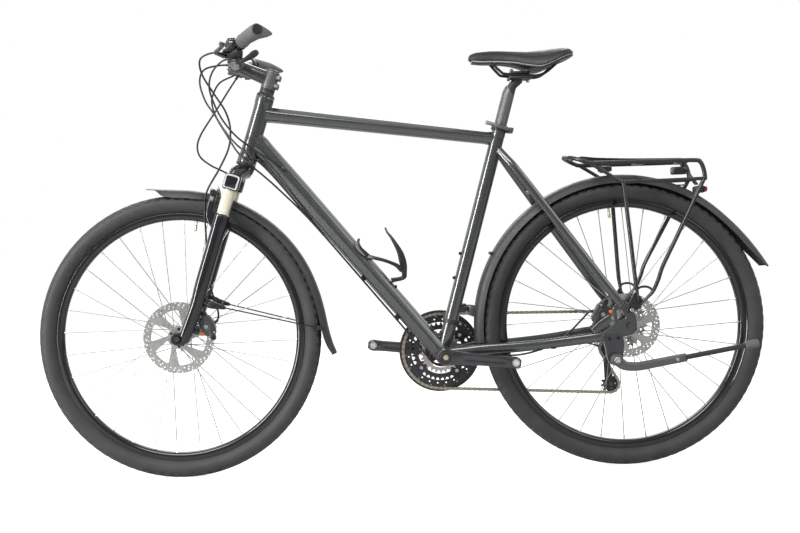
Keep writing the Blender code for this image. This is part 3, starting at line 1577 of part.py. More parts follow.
def front_mudguard():
    stations = []
    waist = 0.020
    for angle, extra, half in (
        (-7.5, 0.029, 0.026),
        (-3.0, 0.014, 0.029),
        (4.0, 0.004, 0.030),
        (16.0, 0.0, 0.030),
        (29.0, 0.0, 0.030),
        (42.0, 0.0, 0.030),
        (55.0, 0.0, 0.029),
        (65.0, 0.0, 0.026),
        (69.0, 0.0, waist),
        (76.0, 0.0, waist),
        (80.0, 0.0, 0.027),
        (91.0, 0.002, 0.029),
        (97.0, 0.007, 0.026),
        (101.6, 0.014, 0.016),
    ):
        stations.append((angle, front_guard_radius + extra, half))
    strip = guard_strip(0.0, stations)
    added = []
    for sign in (1, -1):
        behind, above, side = front_stay_clip
        clip = place(behind, above, sign * side)
        behind, above, side = front_stay_guard_end
        end = place(behind, above, sign * side)
        along = (end - clip).normalized()
        added.append(sweep([clip, end], round_section(5, 0.0018)))
        start = clip - along * 0.022
        tapered = [box_section(0.012, 0.018), box_section(0.006, 0.009)]
        added.append(sweep([start, clip + along * 0.022], tapered))
    piece("front_mudguard", welded(strip, added), guard_plastic, fork_slide)


# Luggage rack
rack_rail_above = mudguard_radius + 0.0285
rack_lower_front = (-0.0004, 0.0496)
rack_lower_rear = (0.1995, 0.0461)
rack_foot_side = 0.0785


# A place behind the rear axle, below the rack's rails and to the side
def rack_place(behind, drop, side=0.0):
    return place(wheelbase + behind, rack_rail_above - drop, side)


def rack():
    width = rack_half_width
    tube = round_section(6, rack_tube_radius)
    half = [
        (rack_lower_rear[0] + 0.002, rack_lower_rear[1] + 0.004, width),
        (0.1990, 0.0230, width),
        (0.1920, 0.0060, width),
        (0.1780, 0.0, width),
        (-0.0790, 0.0, width),
        (-0.1110, -0.0100, width - 0.006),
        (-0.1280, -0.0165, width - 0.024),
        (-0.1345, -0.0189, width - 0.044),
    ]
    bow = [rack_place(x, drop, y) for x, drop, y in half]
    bow += [rack_place(x, drop, -y) for x, drop, y in reversed(half)]
    shapes = []
    for sign in (1, -1):
        lower = [(-0.0830, 0.0015), (-0.0130, 0.0455), rack_lower_front, rack_lower_rear]
        shapes.append(sweep([rack_place(x, drop, sign * width) for x, drop in lower], tube))
        foot = sign * rack_foot_side
        front_leg = [
            rack_place(rack_lower_front[0] + 0.001, rack_lower_front[1], sign * width),
            rear_place(0.0140, 0.1200, foot),
            rear_place(0.0200, 0.0600, foot),
        ]
        shapes.append(sweep(front_leg, tube))
        rear_leg = [
            rack_place(rack_lower_rear[0] - 0.001, rack_lower_rear[1], sign * width),
            rear_place(0.0800, 0.1400, foot),
            rear_place(0.0580, 0.0860, foot),
            rear_place(0.0260, 0.0540, foot),
        ]
        shapes.append(sweep(rear_leg, tube))
        arch = [(0.0180, 0.0850), (0.0270, 0.0960), (0.0410, 0.0970), (0.0570, 0.0870)]
        shapes.append(sweep([rear_place(x, z, foot) for x, z in arch], box_section(0.005, 0.004)))
        outline = from_rear_axle(
            [
                (0.0130, 0.0880),
                (0.0250, 0.0900),
                (0.0370, 0.0640),
                (0.0210, 0.0400),
                (-0.0070, 0.0310),
                (-0.0090, 0.0450),
            ]
        )
        toe = plate(outline, dropout_inside + dropout_thickness + gap, 0.0055)
        shapes.append(toe if sign > 0 else mirrored(toe))
    for behind in (-0.0560, 0.0520, 0.1610):
        ends = [rack_place(behind, 0.0, width), rack_place(behind, 0.0, -width)]
        shapes.append(sweep(ends, round_section(6, 0.004), steer_forward))
    high = rack_rail_above + 0.002
    low = rack_rail_above - 0.010
    deck = from_rear_axle([(0.1250, low), (0.1250, high), (0.1710, high), (0.1710, low)])
    shapes.append(plate(deck, -0.018, 0.036))
    clear = mudguard_radius + 0.0012
    for front, rear, half_width in ((-0.0450, -0.0270, 0.010), (0.1430, 0.1720, 0.012)):
        low_front = math.sqrt(clear**2 - front**2)
        low_rear = math.sqrt(clear**2 - rear**2)
        top = rack_rail_above - 0.003
        outline = from_rear_axle([(front, top), (rear, top), (rear, low_rear), (front, low_front)])
        shapes.append(plate(outline, -half_width, 2 * half_width))
    front_plate = [rack_place(-0.0360, 0.0045, -0.02), rack_place(-0.0360, 0.0045, 0.02)]
    shapes.append(sweep(front_plate, box_section(0.045, 0.006), steer_forward))
    lamp_bracket = [
        (0.1610, 0.0030),
        (0.1850, 0.0390),
        (0.1930, 0.0610),
        (0.1890, 0.0640),
        (0.1790, 0.0430),
        (0.1550, 0.0060),
    ]
    bracket = from_rear_axle([(behind, rack_rail_above - drop) for behind, drop in lamp_bracket])
    shapes.append(plate(bracket, -0.008, 0.016))
    piece("luggage_rack", welded(sweep(bow, tube), shapes), satin_black, bike)


def rear_light():
    half = 0.034
    path = [rack_place(0.2080, 0.0720, side) for side in (-half, -half * 0.8, half * 0.8, half)]
    sizes = ((0.014, 0.010), (0.026, 0.018), (0.026, 0.018), (0.014, 0.010))
    sections = [box_section(width, height) for width, height in sizes]
    piece("rear_light", sweep(path, sections, steer_forward), red_lens, bike)


# Bottle cage: along the down tube, out from it, and to the side
down_along = (down_front - bottom_bracket).normalized()
down_out = down_along.cross(left)


def cage_place(along, out, side=0.0):
    return bottom_bracket + down_along * along + down_out * out + left * side


def bottle_cage():
    foot = down_tube_radius + gap + 0.0015
    spine = [
        (0.352, 0.0440),
        (0.318, 0.0300),
        (0.296, foot),
        (0.222, foot),
        (0.207, 0.0340),
        (0.205, 0.0560),
        (0.228, 0.0820),
        (0.275, 0.1030),
        (0.312, 0.1080),
        (0.331, 0.1150),
    ]
    widths = (0.010, 0.014, 0.020, 0.020, 0.018, 0.016, 0.014, 0.014, 0.014, 0.010)
    back = sweep([cage_place(t, n) for t, n in spine], [box_section(w, 0.0026) for w in widths])
    bands = []
    for sign in (1, -1):
        route = [
            (0.289, foot, 0.006),
            (0.285, 0.0300, 0.022),
            (0.268, 0.0450, 0.0370),
            (0.252, 0.0620, 0.0385),
            (0.246, 0.0800, 0.0300),
            (0.245, 0.0900, 0.0120),
            (0.245, 0.0905, 0.004),
        ]
        path = [cage_place(t, n, sign * side) for t, n, side in route]
        bands.append(sweep(path, box_section(0.010, 0.0026), down_along))
    piece("bottle_cage", welded(back, bands), satin_black, bike)


# Folded kickstand; its foot slides in the bored end of its leg
leg_side = 0.0895
stand_end = (wheelbase + 0.1310, -0.0800)
stand_bend = (wheelbase + 0.0190, -0.0985)
stand_length = 0.358


def kickstand():
    pivot = place(kickstand_pivot[0], kickstand_pivot[1], leg_side)
    carrier = joint_empty("kickstand_axis", place(kickstand_pivot[0], kickstand_pivot[1]))
    bend = place(stand_bend[0], stand_bend[1], leg_side)
    end = place(stand_end[0], stand_end[1], leg_side)
    along = (end - bend).normalized()
    path = [pivot, rear_place(-0.0190, -0.0970, leg_side), bend, end]
    widths = ((0.009, 0.013), (0.009, 0.012), (0.009, 0.0105), (0.009, 0.0105))
    arm = sweep(path, [round_section(10, w, h) for w, h in widths])
    eye_inside = dropout_inside + 0.002 + 0.010 + gap
    eye = rod(pivot + left * (eye_inside - leg_side), pivot + left * 0.010, 0.0145, 14)
    pin = rod(pivot + left * (0.0640 - leg_side), pivot, 0.0038, 8)
    bore = rod(end - along * 0.075, end + along * 0.01, 0.0072, 10)
    piece("kickstand_leg", welded(arm, [eye, pin], [bore]), dark_alloy, carrier)
    slide = joint_empty("kickstand_foot_travel", end, carrier)
    tip = bend + along * (stand_length - 0.060)
    rod_start = end - along * 0.060
    profile = [
        (0.0, 0.0),
        (0.0065, 0.0),
        (0.0065, (tip - rod_start).length - 0.036),
        (0.0105, (tip - rod_start).length - 0.034),
        (0.0110, (tip - rod_start).length - 0.004),
        (0.0085, (tip - rod_start).length),
        (0.0, (tip - rod_start).length),
    ]
    piece("kickstand_foot", turned(profile, 8, rod_start, along), dark_alloy, slide)


# Hoses and cables: points chosen by hand, each behind the front axle, above the axles and to the side
def cable(name, route, radius, carrier=bike):
    points = [place(*point) for point in route]
    piece(name, sweep(smooth_path(points, 2), round_section(5, radius)), hose_plastic, carrier)


hose_radius = 0.0025
cable_radius = 0.0024
front_hose_route = [
    (0.1400, 0.7040, 0.0925),
    (0.1100, 0.7090, 0.0860),
    (0.0780, 0.6960, 0.0720),
    (0.0800, 0.6600, 0.0560),
    (0.1080, 0.6110, 0.0430),
    (0.1340, 0.5680, 0.0380),
    (0.1450, 0.5250, 0.0380),
    (0.1400, 0.4750, 0.0430),
    (0.1160, 0.4240, 0.0480),
    (0.0840, 0.3700, 0.0480),
    (0.0760, 0.3300, 0.0440),
    (0.0760, 0.2500, 0.0380),
    (0.0780, 0.1600, 0.0370),
    (0.0900, 0.1000, 0.0370),
    (0.1010, 0.0620, 0.0378),
    (0.0990, 0.0430, 0.0380),
    (0.0900, 0.0344, 0.0380),
]
rear_hose_route = [
    (0.1400, 0.7040, -0.0925),
    (0.1050, 0.7020, -0.0870),
    (0.0700, 0.6900, -0.0760),
    (0.0610, 0.6550, -0.0540),
    (0.0760, 0.6050, -0.0310),
    (0.1020, 0.5640, -0.0100),
    (0.1290, 0.5210, 0.0090),
    (0.1600, 0.4830, 0.0260),
    (0.1980, 0.4520, 0.0370),
    (0.2280, 0.4250, 0.0360),
    (0.2640, 0.3840, 0.0300),
    (0.3400, 0.2890, 0.0150),
    (0.4360, 0.1710, 0.0100),
    (0.5740, 0.0010, 0.0080),
    (0.6150, -0.0520, 0.0100),
    (0.6560, -0.0920, 0.0160),
    (0.7280, -0.0760, 0.0290),
    (0.7900, -0.0700, 0.0390),
    (0.8700, -0.0660, 0.0430),
    (0.9450, -0.0440, 0.0430),
    (0.9850, -0.0140, 0.0450),
    (1.0150, 0.0160, 0.0490),
    (1.0340, 0.0355, 0.0515),
    (1.0475, 0.0376, 0.0520),
]
front_shift_route = [
    (0.1620, 0.6870, 0.1175),
    (0.1360, 0.6860, 0.1000),
    (0.1080, 0.6620, 0.0800),
    (0.0980, 0.6250, 0.0660),
    (0.1100, 0.5800, 0.0520),
    (0.1320, 0.5380, 0.0480),
    (0.1620, 0.5020, 0.0420),
    (0.1960, 0.4750, 0.0370),
    (0.2220, 0.4560, 0.0360),
    (0.2520, 0.4370, 0.0300),
    (0.2820, 0.4160, 0.0255),
]
rear_shift_route = [
    (0.1620, 0.6870, -0.1175),
    (0.1450, 0.6760, -0.1020),
    (0.1120, 0.6560, -0.0760),
    (0.0960, 0.6250, -0.0540),
    (0.0930, 0.5960, -0.0370),
    (0.1060, 0.5570, -0.0180),
    (0.1330, 0.5100, 0.0040),
    (0.1600, 0.4660, 0.0220),
    (0.1940, 0.4300, 0.0330),
    (0.2260, 0.4020, 0.0300),
    (0.2660, 0.3640, 0.0180),
    (0.3350, 0.2920, 0.0010),
    (0.4360, 0.1710, -0.0050),
    (0.5740, 0.0010, -0.0070),
    (0.6150, -0.0520, -0.0080),
    (0.6560, -0.0920, -0.0100),
    (0.7280, -0.0760, -0.0280),
    (0.7900, -0.0700, -0.0400),
    (0.8700, -0.0640, -0.0460),
    (0.9450, -0.0560, -0.0530),
    (0.9950, -0.0520, -0.0620),
    (1.0500, -0.0560, -0.0760),
    (1.0910, -0.0670, -0.0830),
]
lockout_route = [
    (0.1560, 0.6770, -0.1190),
    (0.1420, 0.6520, -0.1000),
    (0.1260, 0.6240, -0.0820),
    (0.1060, 0.5900, -0.0680),
    (0.0810, 0.5520, -0.0580),
    (0.0590, 0.5160, -0.0520),
    (0.0500, 0.4870, -0.0510),
    (0.0570, 0.4600, -0.0530),
    (0.0830, 0.4380, -0.0570),
    (0.1080, 0.4250, -0.0620),
    (0.1310, 0.4130, -0.0650),
]


def cables():
    cable("front_brake_hose", front_hose_route, hose_radius, steering)
    cable("rear_brake_hose", rear_hose_route, hose_radius)
    cable("front_shift_cable", front_shift_route, cable_radius)
    cable("rear_shift_cable", rear_shift_route, cable_radius)
    cable("lockout_cable", lockout_route, cable_radius, steering)


rear_mudguard()
front_mudguard()
rack()
rear_light()
bottle_cage()
kickstand()
cables()
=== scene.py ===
# Trekking bicycle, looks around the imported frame. Metres, +X to the front wheel, +Y rider's left, +Z up.
import math

import bmesh
import bpy
import numpy as np
from mathutils import Matrix


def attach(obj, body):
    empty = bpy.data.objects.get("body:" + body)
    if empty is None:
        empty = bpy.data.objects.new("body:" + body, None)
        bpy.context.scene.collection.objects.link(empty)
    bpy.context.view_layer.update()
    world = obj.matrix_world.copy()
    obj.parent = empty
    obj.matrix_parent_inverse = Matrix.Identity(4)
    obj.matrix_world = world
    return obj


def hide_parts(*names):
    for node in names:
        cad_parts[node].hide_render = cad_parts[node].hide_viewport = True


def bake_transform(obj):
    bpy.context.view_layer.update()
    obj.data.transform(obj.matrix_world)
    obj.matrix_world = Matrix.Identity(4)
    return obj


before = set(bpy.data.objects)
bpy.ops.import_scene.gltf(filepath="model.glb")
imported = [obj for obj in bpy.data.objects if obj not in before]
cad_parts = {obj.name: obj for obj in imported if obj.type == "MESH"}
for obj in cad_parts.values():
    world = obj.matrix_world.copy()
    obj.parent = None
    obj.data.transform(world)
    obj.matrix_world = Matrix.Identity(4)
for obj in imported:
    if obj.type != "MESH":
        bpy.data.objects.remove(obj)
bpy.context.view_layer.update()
tau = 2 * math.pi

# Where things are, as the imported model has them
bike = {"frontX": 0.571664, "axleZ": 0.36, "wheelbase": 1.131, "bracketBehind": 0.6681,
    "bracketAbove": -0.0645, "headAngle": math.radians(72.1), "forkOffset": 0.0369,
    "seatLean": math.radians(15.9)}


def at(behind, above, side=0.0):  # a place behind the front axle, above the axles and to the left
    b, a, s = np.broadcast_arrays(np.asarray(behind, float), above, side)
    return np.stack([bike["frontX"] - b, s, bike["axleZ"] + a], -1)


steerUp = np.array([-math.cos(bike["headAngle"]), 0.0, math.sin(bike["headAngle"])])
steerAhead = np.array([math.sin(bike["headAngle"]), 0.0, math.cos(bike["headAngle"])])
seatUp = np.array([-math.sin(bike["seatLean"]), 0.0, math.cos(bike["seatLean"])])
seatBack = np.array([-math.cos(bike["seatLean"]), 0.0, -math.sin(bike["seatLean"])])
leftWay = np.array([0.0, 1.0, 0.0])
frontAxle = at(0, 0)
rearAxle = at(bike["wheelbase"], 0)
bracket = at(bike["bracketBehind"], bike["bracketAbove"])
steerFoot = frontAxle - steerAhead * bike["forkOffset"]


def atFork(ahead, side, along):  # a place on the steered part, from the foot of its axis
    a, s, u = np.broadcast_arrays(np.asarray(ahead, float), side, along)
    return steerFoot + a[..., None] * steerAhead + s[..., None] * leftWay + u[..., None] * steerUp


def atSeat(back, side, along):  # a place on the seat tube, from the bottom bracket
    b, s, u = np.broadcast_arrays(np.asarray(back, float), side, along)
    return bracket + b[..., None] * seatBack + s[..., None] * leftWay + u[..., None] * seatUp


# A shape is its points, its quads, its triangles and a uv for each point
def shape(points, quads=None, tris=None, uv=None):
    points = np.asarray(points, float).reshape(-1, 3)
    quads = np.zeros((0, 4), int) if quads is None else np.asarray(quads, int).reshape(-1, 4)
    tris = np.zeros((0, 3), int) if tris is None else np.asarray(tris, int).reshape(-1, 3)
    uv = np.zeros((len(points), 2)) if uv is None else np.asarray(uv, float).reshape(-1, 2)
    return points, quads, tris, uv


def together(shapes):  # several shapes as one
    start, points, quads, tris, uv = 0, [], [], [], []
    for p, q, t, u in shapes:
        points.append(p)
        quads.append(q + start)
        tris.append(t + start)
        uv.append(u)
        start += len(p)
    return np.vstack(points), np.vstack(quads), np.vstack(tris), np.vstack(uv)


# Surface on a grid: point (i, j) joins (i+1, j), (i+1, j+1) and (i, j+1);
# a closed way repeats its first line, and each capped end gets a fan to its middle
def grid(points, aroundClosed=True, alongClosed=False, capped=True):
    if aroundClosed:
        points = np.concatenate([points, points[:, :1]], 1)
    if alongClosed:
        points = np.concatenate([points, points[:1]], 0)
    rows, cols = points.shape[:2]
    index = np.arange(rows * cols).reshape(rows, cols)
    quads = np.stack([index[:-1, :-1], index[1:, :-1], index[1:, 1:], index[:-1, 1:]], -1).reshape(-1, 4)
    v, u = np.meshgrid(np.linspace(0, 1, cols), np.linspace(0, 1, rows))
    flat, uv, tris = points.reshape(-1, 3), np.stack([u, v], -1).reshape(-1, 2), np.zeros((0, 3), int)
    if capped and aroundClosed and not alongClosed:
        for row in (0, rows - 1):
            middle = points[row, :-1].mean(0)
            ring = index[row]
            hub = np.full(cols - 1, len(flat))
            tris = np.vstack([tris, np.stack([ring[:-1], ring[1:], hub], -1)])
            flat = np.vstack([flat, middle])
            uv = np.vstack([uv, [float(row > 0), 0.5]])
    return shape(flat, quads, tris, uv)


def smooth(points, pieces=8, closed=False):  # a Catmull-Rom curve through all the points
    p = np.asarray(points, float)
    if closed:
        p = np.vstack([p[-1:], p, p[:2]])
    else:
        p = np.vstack([2 * p[0] - p[1], p, 2 * p[-1] - p[-2]])
    t = (np.arange(pieces) / pieces)[None, :, None]
    a, b, c, d = p[:-3, None], p[1:-2, None], p[2:-1, None], p[3:, None]
    curve = b + (c - a) * 0.5 * t + (a - 2.5 * b + 2 * c - 0.5 * d) * t**2 + (1.5 * b - 0.5 * a - 1.5 * c
        + 0.5 * d) * t**3
    curve = curve.reshape(-1, p.shape[1])
    return curve if closed else np.vstack([curve, p[-2:-1]])


# each corner becomes a parabola between points a radius away
def rounded(points, radius, steps=4, closed=False):
    p = np.asarray(points, float)
    before, after = np.roll(p, 1, 0) - p, np.roll(p, -1, 0) - p
    far = np.minimum(np.linalg.norm(before, axis=1), np.linalg.norm(after, axis=1)) * 0.49
    reach = np.minimum(radius, far)[:, None]
    a = p + before / np.maximum(np.linalg.norm(before, axis=1), 1e-9)[:, None] * reach
    c = p + after / np.maximum(np.linalg.norm(after, axis=1), 1e-9)[:, None] * reach
    t = np.linspace(0, 1, steps + 1)[None, :, None]
    arcs = a[:, None] * (1 - t) ** 2 + 2 * p[:, None] * t * (1 - t) + c[:, None] * t**2
    if closed:
        return arcs.reshape(-1, p.shape[1])
    return np.vstack([p[:1], arcs[1:-1].reshape(-1, p.shape[1]), p[-1:]])


def ways(path, across, closed=False):  # the path's own axes: across made square to it, and the third axis
    p = np.asarray(path, float)
    if closed:
        ahead = np.roll(p, -1, 0) - np.roll(p, 1, 0)
    else:
        ahead = np.gradient(p, axis=0)
    ahead /= np.linalg.norm(ahead, axis=1)[:, None]
    across = np.broadcast_to(np.asarray(across, float), p.shape)
    across = np.where((np.abs((across * ahead).sum(1)) > 0.9999).all(), np.roll(across, 1, axis=1), across)
    u = across - (across * ahead).sum(1)[:, None] * ahead
    firm = np.flatnonzero(np.linalg.norm(u, axis=1) > 1e-4)
    u = u[firm[np.abs(np.arange(len(p))[:, None] - firm).argmin(1)]]
    u = u - (u * ahead).sum(1)[:, None] * ahead
    u /= np.linalg.norm(u, axis=1)[:, None]
    return ahead, u, np.cross(ahead, u)


# A section carried along a path:
# point (i, j) = path i + section u j times across + section v j times the third axis
def carried(path, section, across=(0, 1, 0), closed=False, capped=True):
    p = np.asarray(path, float)
    _, u, v = ways(p, across, closed)
    s = np.asarray(section, float)
    if s.ndim == 2:
        s = np.broadcast_to(s, (len(p),) + s.shape)
    points = p[:, None] + s[..., :1] * u[:, None] + s[..., 1:] * v[:, None]
    return grid(points, True, closed, capped)


def ring(sides, width, height=None, power=2.0):  # a circle, or a superellipse, as points
    a = np.arange(sides) / sides * tau
    height = width if height is None else height
    c, s = np.cos(a), np.sin(a)
    k = 2.0 / power
    width, height = np.asarray(width, float), np.asarray(height, float)
    x = np.sign(c) * np.abs(c) ** k * width[..., None]
    y = np.sign(s) * np.abs(s) ** k * height[..., None]
    return np.stack([x, y], -1)


# Round bar along a path: point (i, j) = path i + radius i * (cos aj * across + sin aj * third axis)
def tube(path, radius, sides=14, across=(0, 1, 0), closed=False):
    radius = np.broadcast_to(np.asarray(radius, float), (len(path),))
    return carried(path, ring(sides, radius), across, closed)


# A profile of (radius, along) pairs turned about an axis:
# point = centre + axis * along + radius * direction(angle)
def turned(profile, centre, axis=(0, 1, 0), sides=48, hollow=False):
    profile = np.asarray(profile, float)
    axis = np.asarray(axis, float) / np.linalg.norm(axis)
    first = np.cross(axis, [0.0, 0.0, 1.0] if abs(axis[2]) < 0.9 else [1.0, 0.0, 0.0])
    first /= np.linalg.norm(first)
    second = np.cross(axis, first)
    a = np.arange(sides) / sides * tau
    rays = np.cos(a)[:, None] * first + np.sin(a)[:, None] * second
    points = np.asarray(centre, float) + profile[:, None, 1:] * axis + profile[:, None, :1] * rays[None]
    return grid(points, True, hollow, not hollow)


def rod(a, b, radius, sides=20, edge=0.0004):  # a straight pin with eased ends
    a, b = np.asarray(a, float), np.asarray(b, float)
    reach = np.linalg.norm(b - a)
    edge = min(edge, radius * 0.4)
    profile = [(0, 0), (radius - edge, 0), (radius, edge), (radius, reach - edge), (radius - edge, reach),
        (0, reach)]
    return turned(profile, a, b - a, sides)


# Superellipse box: section of half sizes less the ease near both ends, carried along the first axis
def block(middle, size, axes=((1, 0, 0), (0, 1, 0), (0, 0, 1)), ease=0.0015, power=5.0, sides=32):
    # a superellipse box with eased ends, its first axis being the long way of the sweep
    axes = np.asarray([np.asarray(a, float) / np.linalg.norm(a) for a in axes])
    half = np.asarray(size, float) / 2
    ease = min(ease, half.min() * 0.6)
    t = np.array([-half[0], -half[0] + ease * 0.3, -half[0] + ease, half[0] - ease, half[0] - ease * 0.3,
        half[0]])
    cut = np.array([ease, ease * 0.3, 0, 0, ease * 0.3, ease])
    section = ring(sides, half[1] - cut, half[2] - cut, power)
    points = np.asarray(middle, float) + t[:, None, None] * axes[0] + section[...,
        :1] * axes[1] + section[..., 1:] * axes[2]
    return grid(points)


def circle(behind, above, radius, sides=32, start=0.0):  # a round outline in the side view
    a = start + np.arange(sides) / sides * tau
    return np.stack([behind + radius * np.cos(a), above + radius * np.sin(a)], -1)


# A flat plate: closed outlines filled with their holes and given a thickness, its edge eased.
# Outlines are (behind, above) pairs, and the plate lies across the bicycle from side - half to side + half
def plate(outlines, side, thickness, edge=0.0003, place=None):
    curve = bpy.data.curves.new("outline", "CURVE")
    curve.dimensions = "2D"
    curve.fill_mode = "BOTH"
    curve.bevel_depth = edge
    curve.bevel_resolution = 0
    curve.extrude = thickness / 2 - edge
    curve.offset = -edge
    for number, outline in enumerate(outlines):
        p = np.asarray(outline, float)
        area = (p[:, 0] * np.roll(p[:, 1], -1) - p[:, 1] * np.roll(p[:, 0], -1)).sum()
        if (area > 0) != (number == 0):
            p = p[::-1]
        line = curve.splines.new("POLY")
        line.points.add(len(p) - 1)
        line.points.foreach_set("co", np.column_stack([p, np.zeros(len(p)), np.ones(len(p))]).ravel())
        line.use_cyclic_u = True
    holder = bpy.data.objects.new("outline", curve)
    bpy.context.scene.collection.objects.link(holder)
    mesh = holder.evaluated_get(bpy.context.evaluated_depsgraph_get()).to_mesh()
    mesh.calc_loop_triangles()
    co = np.empty(len(mesh.vertices) * 3)
    mesh.vertices.foreach_get("co", co)
    tri = np.empty(len(mesh.loop_triangles) * 3, np.int32)
    mesh.loop_triangles.foreach_get("vertices", tri)
    co = co.reshape(-1, 3)
    holder.to_mesh_clear()
    bpy.data.objects.remove(holder)
    bpy.data.curves.remove(curve)
    points = at(co[:, 0], co[:, 1], side + co[:, 2]) if place is None else place(co[:, 0], co[:, 1],
        side + co[:, 2])
    return shape(points, None, tri, co[:, :2] * 10)


def mirrored(made):  # the same shape on the other side of the bicycle
    p, q, t, u = made
    return p * [1, -1, 1], q[:, ::-1], t[:, ::-1], u


pieces = {}


# One object from (material, shapes) pairs: doubles merged, faces pointing outwards, soft below the angle
def makePiece(name, body, parts, replaces=(), angle=38, subdivide=0):
    mesh = bpy.data.meshes.new(name)
    made = [together(shapes) for _, shapes in parts]
    points, quads, tris, uv = together(made)
    owner = np.concatenate([np.full(len(m[1]), i) for i, m in enumerate(made)] + [np.full(len(m[2]), i) for i,
        m in enumerate(made)])
    loops = np.concatenate([quads.ravel(), tris.ravel()]).astype(np.int32)
    totals = np.concatenate([np.full(len(quads), 4), np.full(len(tris), 3)]).astype(np.int32)
    mesh.vertices.add(len(points))
    mesh.vertices.foreach_set("co", points.ravel())
    mesh.loops.add(len(loops))
    mesh.loops.foreach_set("vertex_index", loops)
    mesh.polygons.add(len(totals))
    mesh.polygons.foreach_set("loop_start", (np.cumsum(totals) - totals).astype(np.int32))
    mesh.polygons.foreach_set("loop_total", totals)
    mesh.polygons.foreach_set("material_index", owner.astype(np.int32))
    mesh.uv_layers.new(name="UVMap").data.foreach_set("uv", uv[loops].ravel())
    mesh.update(calc_edges=True)
    for material, _ in parts:
        mesh.materials.append(material)
    work = bmesh.new()
    work.from_mesh(mesh)
    bmesh.ops.remove_doubles(work, verts=work.verts, dist=2e-6)
    bmesh.ops.recalc_face_normals(work, faces=work.faces)
    work.to_mesh(mesh)
    work.free()
    mesh.polygons.foreach_set("use_smooth", np.ones(len(mesh.polygons), bool))
    mesh.set_sharp_from_angle(angle=math.radians(angle))
    made = bpy.data.objects.new(name, mesh)
    bpy.context.scene.collection.objects.link(made)
    if subdivide:
        finer = made.modifiers.new("finer", "SUBSURF")
        finer.levels = finer.render_levels = subdivide
    if body:
        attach(made, body)
    if replaces:
        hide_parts(*replaces)
    pieces[name] = made
    return made


# A finish: colour with cloudy variation, roughness with its own variation, and fine relief
def finish(name, look):
    made = bpy.data.materials.new(name)
    made.use_nodes = True
    tree = made.node_tree
    nodes, links = tree.nodes, tree.links
    shader = nodes["Principled BSDF"]
    shader.inputs["Metallic"].default_value = look.get("metal", 0.0)
    shader.inputs["Coat Weight"].default_value = look.get("coat", 0.0)
    shader.inputs["Coat Roughness"].default_value = look.get("coatRough", 0.06)
    shader.inputs["IOR"].default_value = look.get("ior", 1.5)
    shader.inputs["Sheen Weight"].default_value = look.get("sheen", 0.0)
    where = nodes.new("ShaderNodeTexCoord")
    source = where.outputs["UV" if look.get("onUv") else "Object"]
    mapping = nodes.new("ShaderNodeMapping")
    mapping.inputs["Scale"].default_value = look.get("stretch", (1.0, 1.0, 1.0))
    links.new(source, mapping.inputs["Vector"])
    source = mapping.outputs["Vector"]

    def noise(scale, detail, rough=0.55):
        node = nodes.new("ShaderNodeTexNoise")
        node.inputs["Scale"].default_value = scale
        node.inputs["Detail"].default_value = detail
        node.inputs["Roughness"].default_value = rough
        links.new(source, node.inputs["Vector"])
        return node.outputs["Fac"]

    def spread(value, low, high):
        node = nodes.new("ShaderNodeMapRange")
        node.inputs["From Min"].default_value = 0.3
        node.inputs["From Max"].default_value = 0.7
        node.inputs["To Min"].default_value = low
        node.inputs["To Max"].default_value = high
        links.new(value, node.inputs["Value"])
        return node.outputs["Result"]

    colour = np.array(look["colour"])
    other = np.array(look.get("other", colour * (1 + look.get("mottle", 0.25))))
    ramp = nodes.new("ShaderNodeMix")
    ramp.data_type = "RGBA"
    ramp.inputs["A"].default_value = (*np.clip(colour, 0, 1), 1.0)
    ramp.inputs["B"].default_value = (*np.clip(other, 0, 1), 1.0)
    links.new(spread(noise(look.get("cloud", 14.0), 5), 0.0, 1.0), ramp.inputs["Factor"])
    links.new(ramp.outputs["Result"], shader.inputs["Base Color"])
    rough = look.get("rough", 0.5)
    vary = look.get("roughVary", 0.15)
    links.new(spread(noise(look.get("smear", 60.0), 4), rough * (1 - vary), rough * (1 + vary)),
        shader.inputs["Roughness"])
    kind = look.get("relief", "noise")
    if kind == "cells":
        cells = nodes.new("ShaderNodeTexVoronoi")
        cells.feature = "DISTANCE_TO_EDGE"
        cells.inputs["Scale"].default_value = look["grain"]
        links.new(source, cells.inputs["Vector"])
        height = spread(cells.outputs["Distance"], 0.0, 1.0)
    elif kind == "rings":
        waves = nodes.new("ShaderNodeTexWave")
        waves.wave_type = "RINGS"
        waves.rings_direction = "Y"
        waves.inputs["Scale"].default_value = look["grain"]
        waves.inputs["Distortion"].default_value = 1.5
        links.new(source, waves.inputs["Vector"])
        height = waves.outputs["Fac"]
    else:
        height = noise(look.get("grain", 900.0), 3)
    bump = nodes.new("ShaderNodeBump")
    bump.inputs["Strength"].default_value = look.get("deep", 0.15)
    bump.inputs["Distance"].default_value = look.get("reliefDepth", 0.0003)
    links.new(height, bump.inputs["Height"])
    links.new(bump.outputs["Normal"], shader.inputs["Normal"])
    return made


